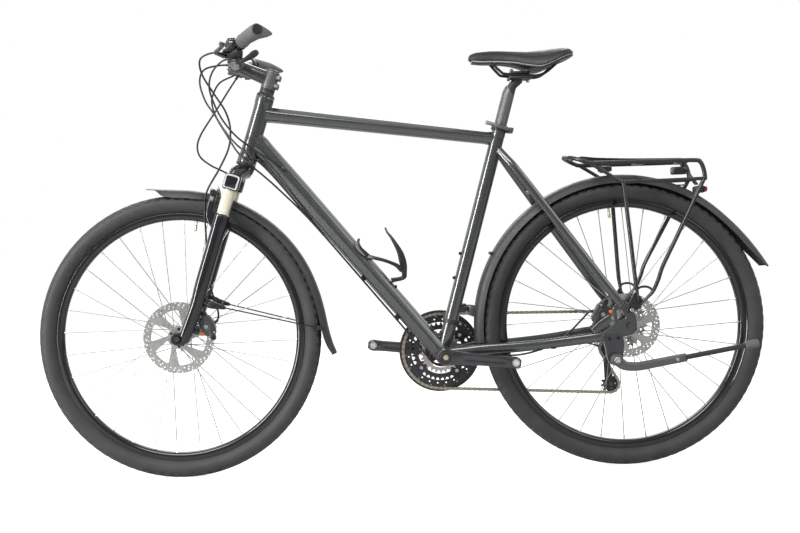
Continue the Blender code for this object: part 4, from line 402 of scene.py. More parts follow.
finishes = {
    "framePaint": {"colour": (0.085, 0.09, 0.088), "metal": 0.8, "rough": 0.24, "coat": 0.9,
        "coatRough": 0.04, "grain": 2600, "deep": 0.1, "cloud": 900, "mottle": 0.45},
    "blackPaint": {"colour": (0.006, 0.006, 0.008), "rough": 0.16, "coat": 0.5, "grain": 700, "deep": 0.03,
        "mottle": 0.3},
    "satinBlack": {"colour": (0.02, 0.02, 0.022), "rough": 0.42, "grain": 2200, "deep": 0.12, "mottle": 0.5},
    "rackBlack": {"colour": (0.016, 0.016, 0.017), "rough": 0.3, "coat": 0.25, "grain": 1500, "deep": 0.08,
        "mottle": 0.4},
    "champagne": {"colour": (0.8, 0.74, 0.56), "other": (0.88, 0.83, 0.68), "metal": 0.3, "rough": 0.16,
        "grain": 800, "deep": 0.04, "cloud": 8},
    "bareAlloy": {"colour": (0.5, 0.5, 0.51), "metal": 1.0, "rough": 0.34, "grain": 1200, "deep": 0.12,
        "mottle": 0.2},
    "barAlloy": {"colour": (0.34, 0.34, 0.35), "metal": 0.9, "rough": 0.3, "grain": 1500, "deep": 0.08,
        "mottle": 0.2},
    "darkAlloy": {"colour": (0.085, 0.087, 0.092), "metal": 0.75, "rough": 0.36, "grain": 1500, "deep": 0.1,
        "mottle": 0.4},
    "postGrey": {"colour": (0.13, 0.13, 0.135), "metal": 0.7, "rough": 0.4, "grain": 1800, "deep": 0.1,
        "mottle": 0.2},
    "crankGrey": {"colour": (0.045, 0.046, 0.05), "metal": 0.6, "rough": 0.22, "coat": 0.7, "grain": 900,
        "deep": 0.05, "mottle": 0.5},
    "brushedSteel": {"colour": (0.56, 0.55, 0.53), "metal": 1.0, "rough": 0.28, "relief": "rings",
        "grain": 240, "deep": 0.15, "mottle": 0.15},
    "steel": {"colour": (0.58, 0.57, 0.55), "metal": 1.0, "rough": 0.3, "grain": 900, "deep": 0.08,
        "mottle": 0.15},
    "spokeSteel": {"colour": (0.24, 0.24, 0.24), "metal": 0.9, "rough": 0.35, "grain": 700, "deep": 0.05,
        "mottle": 0.2},
    "chainSteel": {"colour": (0.36, 0.3, 0.22), "other": (0.5, 0.46, 0.38), "metal": 1.0, "rough": 0.34,
        "grain": 1500, "deep": 0.08, "cloud": 140},
    "sprocketSteel": {"colour": (0.46, 0.44, 0.41), "metal": 1.0, "rough": 0.36, "grain": 900, "deep": 0.1,
        "mottle": 0.25},
    "ringSteel": {"colour": (0.5, 0.46, 0.45), "metal": 1.0, "rough": 0.32, "grain": 900, "deep": 0.1,
        "mottle": 0.2},
    "tyreRubber": {"colour": (0.028, 0.0275, 0.029), "other": (0.042, 0.041, 0.043), "rough": 0.62,
        "grain": 1400, "deep": 0.22, "cloud": 30, "roughVary": 0.12},
    "gripRubber": {"colour": (0.105, 0.102, 0.102), "rough": 0.75, "relief": "cells", "grain": 900,
        "deep": 0.35, "mottle": 0.4},
    "guardPlastic": {"colour": (0.03, 0.03, 0.031), "rough": 0.46, "grain": 1900, "deep": 0.1, "mottle": 0.3},
    "stripPlastic": {"colour": (0.012, 0.012, 0.013), "rough": 0.35, "grain": 1500, "deep": 0.08,
        "mottle": 0.4},
    "hosePlastic": {"colour": (0.01, 0.01, 0.011), "rough": 0.34, "grain": 1700, "deep": 0.06, "mottle": 0.5},
    "saddleVinyl": {"colour": (0.009, 0.009, 0.01), "rough": 0.5, "relief": "cells", "grain": 620,
        "deep": 0.22, "mottle": 0.5},
    "saddleShell": {"colour": (0.3, 0.31, 0.32), "rough": 0.4, "grain": 1100, "deep": 0.08, "mottle": 0.2},
    "blackSteel": {"colour": (0.016, 0.016, 0.017), "metal": 0.4, "rough": 0.3, "grain": 900, "deep": 0.05,
        "mottle": 0.4},
    "brass": {"colour": (0.66, 0.58, 0.42), "metal": 0.8, "rough": 0.26, "grain": 900, "deep": 0.05,
        "mottle": 0.15},
    "orangeClip": {"colour": (0.6, 0.14, 0.02), "rough": 0.4, "grain": 900, "deep": 0.05, "mottle": 0.15},
    "redLens": {"colour": (0.42, 0.03, 0.016), "rough": 0.16, "coat": 0.6, "relief": "cells", "grain": 260,
        "deep": 0.2, "mottle": 0.2},
    # pale face: fills the crank pedal eyes; on the fork crown and the fork arch it is painted reflection and
    # painted highlight
    "paleFaceAndPaintedSheen": {"colour": (0.62, 0.63, 0.64), "metal": 0.3, "rough": 0.3, "grain": 900, "deep": 0.04,
        "mottle": 0.1}}
mat = {name: finish(name, look) for name, look in finishes.items()}
print("finishes ready:", len(mat))

# Studio: pale floor that keeps a faint shadow, soft lamps, white behind
studio = {"floorReach": 30.0, "floorShadow": 0.55, "worldFill": 0.3, "keyWatts": 100.0, "fillWatts": 24.0,
    "backWatts": 60.0, "stripWatts": 80.0, "roomEdge": 0.7}


# Floor as the camera sees it: a faint shadow added to a glow that fills it up to white; plain for other rays
def floorMaterial():
    made = bpy.data.materials.new("paleFloor")
    made.use_nodes = True
    nodes, links = made.node_tree.nodes, made.node_tree.links
    nodes.clear()
    out = nodes.new("ShaderNodeOutputMaterial")
    plain = nodes.new("ShaderNodeBsdfDiffuse")
    plain.inputs["Color"].default_value = (0.6, 0.6, 0.6, 1.0)
    faint = nodes.new("ShaderNodeBsdfDiffuse")
    faint.inputs["Color"].default_value = (studio["floorShadow"],) * 3 + (1.0,)
    glow = nodes.new("ShaderNodeEmission")
    glow.inputs["Strength"].default_value = 1.01 - studio["floorShadow"] * studio["worldFill"]
    both = nodes.new("ShaderNodeAddShader")
    links.new(faint.outputs[0], both.inputs[0])
    links.new(glow.outputs[0], both.inputs[1])
    path = nodes.new("ShaderNodeLightPath")
    seen = nodes.new("ShaderNodeMath")
    seen.operation = "MAXIMUM"
    links.new(path.outputs["Is Camera Ray"], seen.inputs[0])
    links.new(path.outputs["Is Transmission Ray"], seen.inputs[1])
    mix = nodes.new("ShaderNodeMixShader")
    links.new(seen.outputs[0], mix.inputs[0])
    links.new(plain.outputs[0], mix.inputs[1])
    links.new(both.outputs[0], mix.inputs[2])
    links.new(mix.outputs[0], out.inputs[0])
    return made


# Soft lamp at a place: tilt = atan2(level distance, drop), heading = atan2(y, x) - 90 degrees
def areaLamp(name, place, aim, size, watts):
    light = bpy.data.lights.new(name, "AREA")
    light.shape = "RECTANGLE"
    light.size, light.size_y = size
    light.energy = watts
    lamp = bpy.data.objects.new(name, light)
    lamp.location = place
    way = np.asarray(aim, float) - place
    lamp.rotation_euler = (math.atan2(math.hypot(way[0], way[1]), -way[2]), 0.0,
        math.atan2(way[1], way[0]) - math.pi / 2)
    bpy.context.scene.collection.objects.link(lamp)


# Floor, world and lamps; the world a shiny face mirrors falls from white to the fill with the way's y
def makeStudio():
    reach = studio["floorReach"]
    mesh = bpy.data.meshes.new("floor")
    mesh.from_pydata([(-reach, -reach, 0), (reach, -reach, 0), (reach, reach, 0), (-reach, reach, 0)], [],
        [(0, 1, 2, 3)])
    mesh.materials.append(floorMaterial())
    floor = bpy.data.objects.new("floor", mesh)
    bpy.context.scene.collection.objects.link(floor)
    world = bpy.data.worlds.new("studio")
    world.use_nodes = True
    bpy.context.scene.world = world
    nodes, links = world.node_tree.nodes, world.node_tree.links
    nodes.clear()
    out = nodes.new("ShaderNodeOutputWorld")
    light = nodes.new("ShaderNodeBackground")
    light.inputs["Color"].default_value = (1.0, 1.0, 1.0, 1.0)
    path = nodes.new("ShaderNodeLightPath")
    seen = nodes.new("ShaderNodeMath")
    seen.operation = "MAXIMUM"
    links.new(path.outputs["Is Camera Ray"], seen.inputs[0])
    links.new(path.outputs["Is Transmission Ray"], seen.inputs[1])
    # What shiny faces mirror: white walls behind and above, a dimmer room on the camera's side
    way = nodes.new("ShaderNodeTexCoord")
    parts = nodes.new("ShaderNodeSeparateXYZ")
    links.new(way.outputs["Generated"], parts.inputs[0])
    room = nodes.new("ShaderNodeMapRange")
    room.inputs["From Min"].default_value = -0.1
    room.inputs["From Max"].default_value = studio["roomEdge"]
    room.inputs["To Min"].default_value = 1.0
    room.inputs["To Max"].default_value = 0.0
    links.new(parts.outputs["Y"], room.inputs["Value"])
    shiny = nodes.new("ShaderNodeMath")
    shiny.operation = "MULTIPLY"
    links.new(path.outputs["Is Glossy Ray"], shiny.inputs[0])
    links.new(room.outputs["Result"], shiny.inputs[1])
    also = nodes.new("ShaderNodeMath")
    also.operation = "MAXIMUM"
    links.new(seen.outputs[0], also.inputs[0])
    links.new(shiny.outputs[0], also.inputs[1])
    level = nodes.new("ShaderNodeMapRange")
    level.inputs["To Min"].default_value = studio["worldFill"]
    links.new(also.outputs[0], level.inputs["Value"])
    links.new(level.outputs["Result"], light.inputs["Strength"])
    links.new(light.outputs[0], out.inputs[0])
    areaLamp("keyLamp", (1.2, 2.6, 3.2), (0.0, 0.0, 0.6), (3.0, 1.6), studio["keyWatts"])
    areaLamp("fillLamp", (-2.6, 1.8, 2.2), (-0.3, 0.0, 0.5), (2.0, 2.0), studio["fillWatts"])
    areaLamp("backLamp", (0.2, -2.6, 2.8), (0.0, 0.0, 0.6), (3.2, 1.4), studio["backWatts"])
    areaLamp("sideStrip", (2.7, 1.5, 1.1), (0.2, 0.0, 0.6), (0.35, 2.4), studio["stripWatts"])
    bpy.context.scene.view_settings.view_transform = "Standard"


photoView = {"place": (0.1867, 2.8, 0.641), "lens": 49.2, "shift": (0.09, -0.0556),
    "roll": math.radians(1.687)}


# Camera of the photograph, with its shift and its small roll
def makeCamera():
    camera = bpy.data.cameras.new("camera")
    camera.lens = photoView["lens"]
    camera.sensor_width = 36.0
    camera.shift_x, camera.shift_y = photoView["shift"]
    camera.dof.use_dof = False
    holder = bpy.data.objects.new("camera", camera)
    bpy.context.scene.collection.objects.link(holder)
    c, s = math.cos(photoView["roll"]), math.sin(photoView["roll"])
    x, y, z = photoView["place"]
    holder.matrix_world = Matrix([(-c, -s, 0.0, x), (0.0, 0.0, 1.0, y), (-s, c, 0.0, z),
        (0.0, 0.0, 0.0, 1.0)])
    bpy.context.scene.camera = holder


makeStudio()
makeCamera()
print("studio and camera ready")

# Wheels: tread height is a field over the angle and the width of the tyre
wheel = {"treadKnobs": 92, "knobHeight": 0.0021, "aroundTyre": 1380, "flangeTop": 0.3172, "rimBed": 0.2965,
    "spokes": 32, "spokeRadius": 0.00105, "valveAngle": {"front": 99.5, "rear": 84.7},
    "spokeTurn": {"front": 3.35, "rear": 0.95}}


# Tyre: radius(angle, y) = wall profile + knob height * tread pattern(turns of angle, side), round the axle
def tyreShape(centre):
    wall = smooth([(0.316, 0.01), (0.3178, 0.0118), (0.3235, 0.0172), (0.3305, 0.0216), (0.3385, 0.0234),
        (0.3462, 0.0222), (0.352, 0.018), (0.3556, 0.0116), (0.3574, 0.005), (0.3578, 0.0)], 3)
    section = np.vstack([wall, wall[-2::-1] * [1, -1]])
    a = np.arange(wheel["aroundTyre"]) / wheel["aroundTyre"]
    angle, y = np.meshgrid(a * tau, section[:, 1])
    radius = np.broadcast_to(section[:, :1], y.shape)
    turns = a[None] * wheel["treadKnobs"]
    wide = np.abs(y)
    chevron = np.mod(turns + wide * 95, 1.0)
    middle = np.clip((0.36 - np.abs(chevron - 0.5)) * 14, 0, 1) * np.clip((0.0098 - wide) * 1400, 0, 1)
    middle *= np.clip((wide - 0.0009) * 1800, 0, 1)
    stagger = np.mod(turns + 0.5 + np.sign(y) * 0.25, 1.0)
    shoulder = np.clip((0.3 - np.abs(stagger - 0.5)) * 14, 0, 1) * np.clip((wide - 0.0112) * 1500, 0, 1)
    shoulder *= np.clip((0.0212 - wide) * 900, 0, 1) * (radius > 0.342)
    shallow = 0.00045 * np.clip(1 - np.abs(radius - 0.3232) / 0.0009, 0, 1)  # bead line on the wall
    height = wheel["knobHeight"] * (middle + shoulder * 0.85) + shallow
    flare = np.gradient(section, axis=0)
    out = np.stack([-flare[:, 1], flare[:, 0]], -1)
    out /= np.linalg.norm(out, axis=1)[:, None]
    radius = radius + height * out[:, :1]
    y = y + height * out[:, 1:]
    points = np.stack([radius * np.cos(angle), y, radius * np.sin(angle)], -1) + centre
    return grid(points, True, True)


# Rim: one closed profile of radius and side, turned round the axle
def rimShape(centre):
    top, bed = wheel["flangeTop"], wheel["rimBed"]
    outer = [(top - 0.003, 0.0098), (top - 0.0008, 0.0106), (top, 0.0116), (top - 0.0006, 0.0127),
        (top - 0.0026, 0.0128), (top - 0.0032, 0.0122), (top - 0.0038, 0.0125), (top - 0.0125, 0.0123),
        (bed + 0.0035, 0.01), (bed + 0.001, 0.0066), (bed, 0.003)]
    inner = [(bed + 0.002, 0.003), (bed + 0.005, 0.008), (top - 0.01, 0.01)]
    loop = outer + [(r, -y) for r, y in outer[::-1]] + [(r, -y) for r, y in inner[::-1]] + inner
    return turned(loop, centre, (0, 1, 0), 288, True)


# Each spoke runs straight from its flange hole to the rim; its head bends over the flange
def spokeShapes(centre, flangeRadius, flangeSides, turn):
    perSide = wheel["spokes"] // 2
    step = tau / perSide
    wires, nipples = [], []
    for sign in (1, -1):
        for index in range(perSide):
            hubAngle = math.radians(turn) + index * step + (0.0 if sign > 0 else step / 2)
            leading = 1 if index % 2 == 0 else -1
            rimAngle = hubAngle + leading * 3 * step
            near = flangeSides[sign] + sign * leading * 0.0022
            far = sign * 0.0035
            start = centre + [flangeRadius * math.cos(hubAngle), near, flangeRadius * math.sin(hubAngle)]
            end = centre + [0.2975 * math.cos(rimAngle), far, 0.2975 * math.sin(rimAngle)]
            head = start + [0.0, -sign * leading * 0.004, 0.0]
            way = (end - start) / np.linalg.norm(end - start)
            path = rounded([head, start, end - way * 0.004], 0.0022, 3)
            wires.append(tube(path, wheel["spokeRadius"], 7, way + [0.01, 0.9, 0.02]))
            wires.append(turned([(0, -0.0006), (0.0017, -0.0004), (0.0019, 0.0003), (0.0009, 0.0011),
                (0, 0.0012)], head, (0, sign * leading, 0), 10))
            nipples.append(turned([(0, 0), (0.0012, 0), (0.0019, 0.0014), (0.0019, 0.0105), (0.0023, 0.012),
                (0, 0.0125)], end - way * 0.0125, way, 8))
    return wires, nipples


# Hub body: rounded profile of radius and side, turned round the axle
def turnedHub(profile, centre):
    return turned(rounded(profile, 0.0011, 2), centre, (0, 1, 0), 72)


# Rotor: disc outline less holes in rings of constant radius, joined to the carrier by swept arms
def rotorShapes(behind, side, radius, band):
    inner = radius - band
    outline = circle(behind, 0, radius, 120)
    t = np.arange(120) / 120 * tau
    holes = [np.stack([behind + 0.0175 * np.cos(t[::3]), 0.0175 * np.sin(t[::3])], -1)]
    arms, steps = 6, np.linspace(0, 1, 12)
    for k in range(arms):
        first = tau * k / arms
        gapStart, gapEnd = 0.2, 0.82
        low, high = 0.0285, inner - 0.003
        a = first + (gapStart + (gapEnd - gapStart) * steps) * tau / arms
        outer = np.stack([np.full(12, high), a + 0.3], -1)
        inward = np.stack([np.full(12, low), a[::-1]], -1)
        polar = np.vstack([outer, inward])
        window = np.stack([behind + polar[:, 0] * np.cos(polar[:, 1]), polar[:, 0] * np.sin(polar[:, 1])], -1)
        holes.append(rounded(window[[0, 4, 8, 11, 12, 17, 23]], 0.006, 4, True))
    for row, count in ((0.22, 42), (0.55, 42), (0.85, 42)):
        for k in range(count):
            a = tau * (k + row * 2.4) / count
            if (k + int(row * 10)) % 3 == 0:
                continue
            r = inner + band * row
            holes.append(circle(behind + r * math.cos(a), r * math.sin(a), 0.0017 if row != 0.55 else 0.0021,
                10))
    disc = plate([outline] + holes, side, 0.0019, 0.0002)
    bolts = []
    for k in range(6):
        a = tau * (k + 0.5) / 6
        spot = at(behind + 0.0222 * math.cos(a), 0.0222 * math.sin(a), side + 0.0008)
        bolts.append(turned([(0, 0), (0.0034, 0), (0.0036, 0.0008), (0.003, 0.0022), (0.0016, 0.0024),
            (0.0014, 0.0012), (0, 0.0012)], spot, (0, 1, 0), 12))
    return disc, bolts


# Valve: stepped profile turned round the line from the rim towards the axle
def valveShapes(centre, angle):
    out = np.array([math.cos(angle), 0.0, math.sin(angle)])
    start = centre + out * 0.299
    profile = [(0, 0), (0.0046, 0), (0.0046, 0.0025), (0.0031, 0.003), (0.0031, 0.013), (0.0024, 0.0135),
        (0.0024, 0.015), (0.0038, 0.0155), (0.0038, 0.025), (0.0025, 0.0272), (0, 0.0276)]
    return [turned(rounded(profile, 0.0006, 1), start, -out, 20)]


# Both wheels: tyre, rim with valve, hub with spokes, and rotor, each riding its wheel
def makeWheels():
    frontSides, rearSides = {1: 0.022, -1: -0.033}, {1: 0.033, -1: -0.018}
    frontBody = [(0, -0.0488), (0.0085, -0.0488), (0.0085, -0.044), (0.0112, -0.043), (0.0118, -0.037),
        (0.0262, -0.0345), (0.0262, -0.0315), (0.014, -0.0285), (0.0118, -0.024), (0.0112, -0.006),
        (0.0118, 0.014), (0.0145, 0.0185), (0.0262, 0.0205), (0.0262, 0.0235), (0.0185, 0.0262),
        (0.021, 0.029), (0.021, 0.0366), (0.0158, 0.0368), (0.0158, 0.0405), (0.0128, 0.0415),
        (0.0088, 0.0455), (0.0085, 0.0488), (0, 0.0488)]
    rearBody = [(0, -0.0236), (0.014, -0.0236), (0.015, -0.0215), (0.0266, -0.0198), (0.0266, -0.0165),
        (0.0165, -0.0135), (0.014, -0.008), (0.0138, 0.016), (0.016, 0.027), (0.0266, 0.0315),
        (0.0266, 0.0345), (0.019, 0.0375), (0.021, 0.0405), (0.021, 0.0506), (0.0158, 0.0508),
        (0.0158, 0.0555), (0.0128, 0.0565), (0.009, 0.061), (0.0085, 0.0665), (0, 0.0665)]
    for name, centre, body, sides, flange in (("front", frontAxle, frontBody, frontSides, 0.022),
            ("rear", rearAxle, rearBody, rearSides, 0.0225)):
        ridesOn = name + "_wheel"
        makePiece(name + "TyreTread", ridesOn, [(mat["tyreRubber"], [tyreShape(centre)])],
            (name + "_tyre",), 32)
        makePiece(name + "RimHoop", ridesOn, [(mat["blackPaint"], [rimShape(centre)])],
            (name + "_rim",), 30)
        wires, nipples = spokeShapes(centre, flange, sides, wheel["spokeTurn"][name])
        makePiece(name + "HubAndSpokes", ridesOn,
            [(mat["bareAlloy"], [turnedHub(body, centre)]), (mat["spokeSteel"], wires),
            (mat["steel"], nipples)], (name + "_hub",), 35)
        behind = 0.0 if name == "front" else bike["wheelbase"]
        radius, side = (0.09, 0.038) if name == "front" else (0.08, 0.052)
        disc, bolts = rotorShapes(behind, side, radius, 0.0165)
        makePiece(name + "BrakeDisc", ridesOn,
            [(mat["brushedSteel"], [disc]), (mat["blackSteel"], bolts)], (name + "_rotor",), 30)
        makePiece(name + "Valve", ridesOn,
            [(mat["brass"], valveShapes(centre, math.radians(wheel["valveAngle"][name])))], (), 30)


makeWheels()
print("wheels ready")

# Frame: lengths along each tube are from its lower or front end
frameShape = {"headBottom": 0.4723, "headTop": 0.648, "topFront": 0.1309, "downFront": 0.0649,
    "seatTop": 0.602, "topRear": 0.5667, "seatRadius": 0.01745, "shellHalf": 0.0365, "weld": 0.0016}


# Soft polygon: radius = half width / (sum of max(0, cos(angle - side angle)) ^ soft) ^ (1 / soft)
def softPolygon(points, facets, width, height=None, soft=14.0, phase=0.0):
    a = np.arange(points) / points * tau
    sides = phase + np.arange(facets) / facets * tau
    r = (np.clip(np.cos(a[:, None] - sides[None]), 0, 1) ** soft).sum(1) ** (-1.0 / soft)
    height = width if height is None else height
    width, height = np.asarray(width, float), np.asarray(height, float)
    return np.stack([width[..., None] * r * np.cos(a), height[..., None] * r * np.sin(a)], -1)


# Tube between two points: width and height are read from stops, each end swells into its weld
def frameTube(a, b, widths, heights, facets, welds=(0.0, 0.0), soft=14.0, phase=0.0, steps=60, points=48,
        across=(0, 1, 0)):
    a, b = np.asarray(a, float), np.asarray(b, float)
    t = np.linspace(0, 1, steps)
    reach = np.linalg.norm(b - a)
    w = np.interp(t, np.linspace(0, 1, len(widths)), widths)
    h = np.interp(t, np.linspace(0, 1, len(heights)), heights)
    fromStart = np.abs(t * reach - welds[0])
    to = np.abs((1 - t) * reach - welds[1])
    bead = frameShape["weld"] * (np.exp(-(fromStart / 0.0035) ** 2) * (welds[0] > 0)
        + np.exp(-(to / 0.0035) ** 2) * (welds[1] > 0))
    path = a + (b - a) * t[:, None]
    return carried(path, softPolygon(points, facets, w + bead, h + bead, soft, phase), across)


# Main tubes: head tube turned, the others faceted sections carried along their lines, with weld beads
def makeFrame():
    paint = mat["framePaint"]
    bottom, top = frameShape["headBottom"], frameShape["headTop"]
    low = atFork(0, 0, 0)
    wall = [(0.0185, bottom), (0.0248, bottom), (0.0252, bottom + 0.0008), (0.0252, bottom + 0.015),
        (0.0246, bottom + 0.0172), (0.0228, bottom + 0.025), (0.0222, bottom + 0.04), (0.022, bottom + 0.09),
        (0.0222, top - 0.033), (0.023, top - 0.02), (0.0238, top - 0.016), (0.024, top - 0.001),
        (0.0236, top), (0.0185, top)]
    head = turned(wall + [(0.0185, top - 0.02), (0.0185, bottom + 0.02)], low, steerUp, 96, True)
    makePiece("headTube", "frame", [(paint, [head])], ("head_tube",), 42)

    topFront = atFork(0, 0, bottom + frameShape["topFront"])
    topRear = atSeat(0, 0, frameShape["topRear"])
    made = frameTube(topFront, topRear, (0.0178, 0.0162, 0.015, 0.0142), (0.0186, 0.017, 0.0158, 0.015), 6,
        (0.0235, 0.0185), 11, math.radians(12))
    makePiece("topTube", "frame", [(paint, [made])], ("top_tube",), 60)

    downFront = atFork(0, 0, bottom + frameShape["downFront"])
    made = frameTube(downFront, bracket, (0.0212, 0.0218, 0.0218, 0.0205, 0.02),
        (0.0262, 0.025, 0.0235, 0.0228, 0.0218), 8, (0.027, 0.0), 20, math.radians(22.5), 90, 64)
    extras = []
    downWay = (bracket - downFront) / np.linalg.norm(bracket - downFront)
    under = np.cross(downWay, leftWay)
    under *= -np.sign(under[2])
    for share in (0.335, 0.62, 0.8):
        spot = downFront + (bracket - downFront) * share + under * 0.0262
        extras.append(block(spot, (0.014, 0.013, 0.005), (downWay, leftWay, under), 0.0015, 4))
        extras.append(rod(spot, spot + under * 0.0035, 0.0024, 14))
    makePiece("downTube", "frame", [(paint, [made]), (mat["stripPlastic"], extras)],
        ("down_tube",), 60)

    seat = turned(rounded([(0.01615, 0.006), (0.0176, 0.006), (frameShape["seatRadius"], 0.08),
        (frameShape["seatRadius"], frameShape["seatTop"] - 0.03), (0.0181, frameShape["seatTop"] - 0.024),
        (0.0181, frameShape["seatTop"]), (0.01615, frameShape["seatTop"])], 0.0006, 2, True), bracket, seatUp,
        96, True)
    half = frameShape["shellHalf"]
    shell = turned([(0.0172, -half), (0.0208, -half), (0.0212, -half + 0.0006), (0.0212, half - 0.0006),
        (0.0208, half), (0.0172, half)], bracket, leftWay, 72, True)
    bosses = []
    for spotPx in (0.196, 0.26):
        spot = atSeat(-0.017, 0, spotPx)
        bosses.append(rod(spot, spot - seatBack * 0.004, 0.0046, 18))
        bosses.append(rod(spot - seatBack * 0.0035, spot - seatBack * 0.0062, 0.003, 6))
    makePiece("seatTubeAndShell", "frame",
        [(paint, [seat, shell]), (mat["stripPlastic"], bosses)], ("seat_tube",), 42)

    cups = []
    for way in (1, -1):
        outline = [(0.0128, half), (0.0222, half), (0.0225, half + 0.0008), (0.0225, half + 0.007),
            (0.0214, half + 0.0088), (0.0128, half + 0.0088)]
        cups.append(turned([(r, a * way) for r, a in outline], bracket, leftWay, 64, True))
    notches = []
    for k in range(16):
        a = k / 16 * tau
        for way in (1, -1):
            spot = bracket + [0.0224 * math.cos(a), way * (half + 0.004), 0.0224 * math.sin(a)]
            notches.append(block(spot, (0.0016, 0.006, 0.0022),
                ((math.cos(a), 0, math.sin(a)), leftWay, (-math.sin(a), 0, math.cos(a))), 0.0004, 6, 12))
    makePiece("bottomBracketCups", "frame", [(mat["darkAlloy"], cups + notches)],
        ("bottom_bracket_sleeve",), 35)


makeFrame()

# Rear stays, drawn on the left: each station is behind, above, side, half width, half height
stays = {"chain": [(0.678, -0.062, 0.024, 0.009, 0.015), (0.728, -0.058, 0.0285, 0.0085, 0.015),
    (0.778, -0.052, 0.0385, 0.0075, 0.0138), (0.86, -0.047, 0.0465, 0.0072, 0.0128),
    (0.931, -0.041, 0.052, 0.007, 0.0124), (0.991, -0.034, 0.0595, 0.0068, 0.0122),
    (1.053, -0.026, 0.07, 0.0062, 0.012), (1.09, -0.0215, 0.0712, 0.005, 0.0105)],
    "seat": [(0.826, 0.452, 0.01, 0.007, 0.0098), (0.8405, 0.4314, 0.024, 0.0072, 0.01),
    (0.86, 0.406, 0.036, 0.0072, 0.0102), (0.9043, 0.3437, 0.044, 0.007, 0.0106),
    (0.96, 0.265, 0.052, 0.007, 0.011), (1.0184, 0.183, 0.06, 0.0069, 0.0112),
    (1.065, 0.117, 0.0672, 0.0066, 0.0112), (1.093, 0.078, 0.0705, 0.006, 0.011),
    (1.112, 0.05, 0.0713, 0.0048, 0.009)], "dropoutSide": 0.0713, "dropoutThick": 0.0068}


# Stay: faceted section whose half sizes run with the stations, carried along their smoothed line
def stayShape(stations, facets=8, soft=16.0):
    s = smooth(np.array(stations), 8)
    path = at(s[:, 0], s[:, 1], s[:, 2])
    return carried(path, softPolygon(40, facets, s[:, 3], s[:, 4], soft, math.radians(22.5)), (0, 1, 0))


# Rear stays: chain stay, seat stay and dropout on the left, mirrored to the right
def makeStays():
    base = bike["wheelbase"]
    chainStay, seatStay = stayShape(stays["chain"]), stayShape(stays["seat"])
    outline = rounded([(base - 0.066, -0.038), (base - 0.07, -0.014), (base - 0.04, 0.004),
        (base - 0.044, 0.044), (base - 0.026, 0.066), (base - 0.012, 0.066), (base + 0.014, 0.026),
        (base + 0.018, -0.008), (base + 0.008, -0.021), (base - 0.016, -0.026)], 0.008, 4, True)
    window = rounded([(base - 0.03, 0.012), (base - 0.034, 0.04), (base - 0.023, 0.044), (base - 0.01, 0.02)],
        0.005, 4, True)
    axleHole = circle(base, 0, 0.0056, 28)
    side, thick = stays["dropoutSide"], stays["dropoutThick"]
    dropout = plate([outline, window, axleHole], side, thick, 0.0009)
    bridge = tube(at([0.904, 0.902, 0.902, 0.904], [0.3437] * 4, [0.044, 0.02, -0.02, -0.044]), [0.0066] * 4,
        24, (1, 0, 0))
    behind, above = base - 0.041, -0.081
    bracketPlate = rounded([(behind - 0.032, -0.02), (behind + 0.018, -0.016), (behind + 0.024, -0.04),
        (behind + 0.019, above - 0.004), (behind + 0.009, above - 0.0155), (behind - 0.009, above - 0.0155),
        (behind - 0.019, above - 0.002), (behind - 0.024, -0.05)], 0.007, 4, True)
    hole = circle(behind, above, 0.0046, 24)
    stand = plate([bracketPlate, hole], 0.0745, 0.01, 0.001)
    small = [rod(at(behind - 0.014, -0.03, 0.079), at(behind - 0.014, -0.03, 0.0818), 0.0042, 20),
        rod(at(behind + 0.008, -0.028, 0.079), at(behind + 0.008, -0.028, 0.0818), 0.0042, 20)]
    mountEdge = at([1.04, 1.058, 1.083], [-0.012, 0.006, 0.022], [0.072] * 3)
    mount = carried(smooth(mountEdge, 6), ring(28, np.full(13, 0.0032), np.full(13, 0.0092), 3.5), (0, 1, 0))
    clips = []
    for t in (0.36, 0.62):
        spot = np.array(stays["chain"])[3, :3] * (1 - t) + np.array(stays["chain"])[5, :3] * t
        clips.append(block(at(spot[0], spot[1] - 0.013, spot[2]), (0.012, 0.01, 0.004), ease=0.001, power=4))
    makePiece("rearStaysLeft", "frame",
        [(mat["framePaint"], [chainStay, seatStay, dropout, bridge, mount]), (mat["crankGrey"], [stand]),
        (mat["blackSteel"], small + clips)], ("rear_stays_left",), 40)
    hanger = plate([rounded([(base - 0.008, -0.012), (base + 0.018, -0.008), (base + 0.019, -0.028),
        (base + 0.009, -0.038), (base - 0.003, -0.034)], 0.005, 4, True),
        circle(base + 0.008, -0.027, 0.0048, 20)], side, thick, 0.0009)
    right = [mirrored(s) for s in (chainStay, seatStay, dropout, hanger)]
    makePiece("rearStaysRight", "frame", [(mat["framePaint"], right)], ("rear_stays_right",),
        40)


makeStays()

# Headset: upper cap with its spacers; the stack between head tube and stem
def makeHeadset():
    top = frameShape["headTop"]
    loop = [(0.0148, top + 0.0003), (0.0237, top + 0.0003), (0.0238, top + 0.003), (0.0225, top + 0.0046),
        (0.0186, top + 0.01), (0.0183, top + 0.0118), (0.0188, top + 0.012), (0.0188, top + 0.0158),
        (0.0182, top + 0.016), (0.0188, top + 0.0162), (0.0188, top + 0.02), (0.0185, top + 0.0202),
        (0.0148, top + 0.0202)]
    makePiece("headsetStack", "frame",
        [(mat["satinBlack"], [turned(loop, steerFoot, steerUp, 80, True)])], ("headset_top",), 32)


makeHeadset()
print("frame ready")

# Fork: distances are ahead of the steering axis and up it
fork = {"legLead": 0.0155, "legSide": 0.065, "crownBottom": 0.3941, "crownTall": 0.042, "lowerTop": 0.328,
    "stemBottom": 0.6685, "steerer": 0.0143}


def atLeg(ahead, side, onward):  # a place from the axis of the left leg, in the fork's own ways
    return atFork(fork["legLead"] + ahead, fork["legSide"] + side, onward)
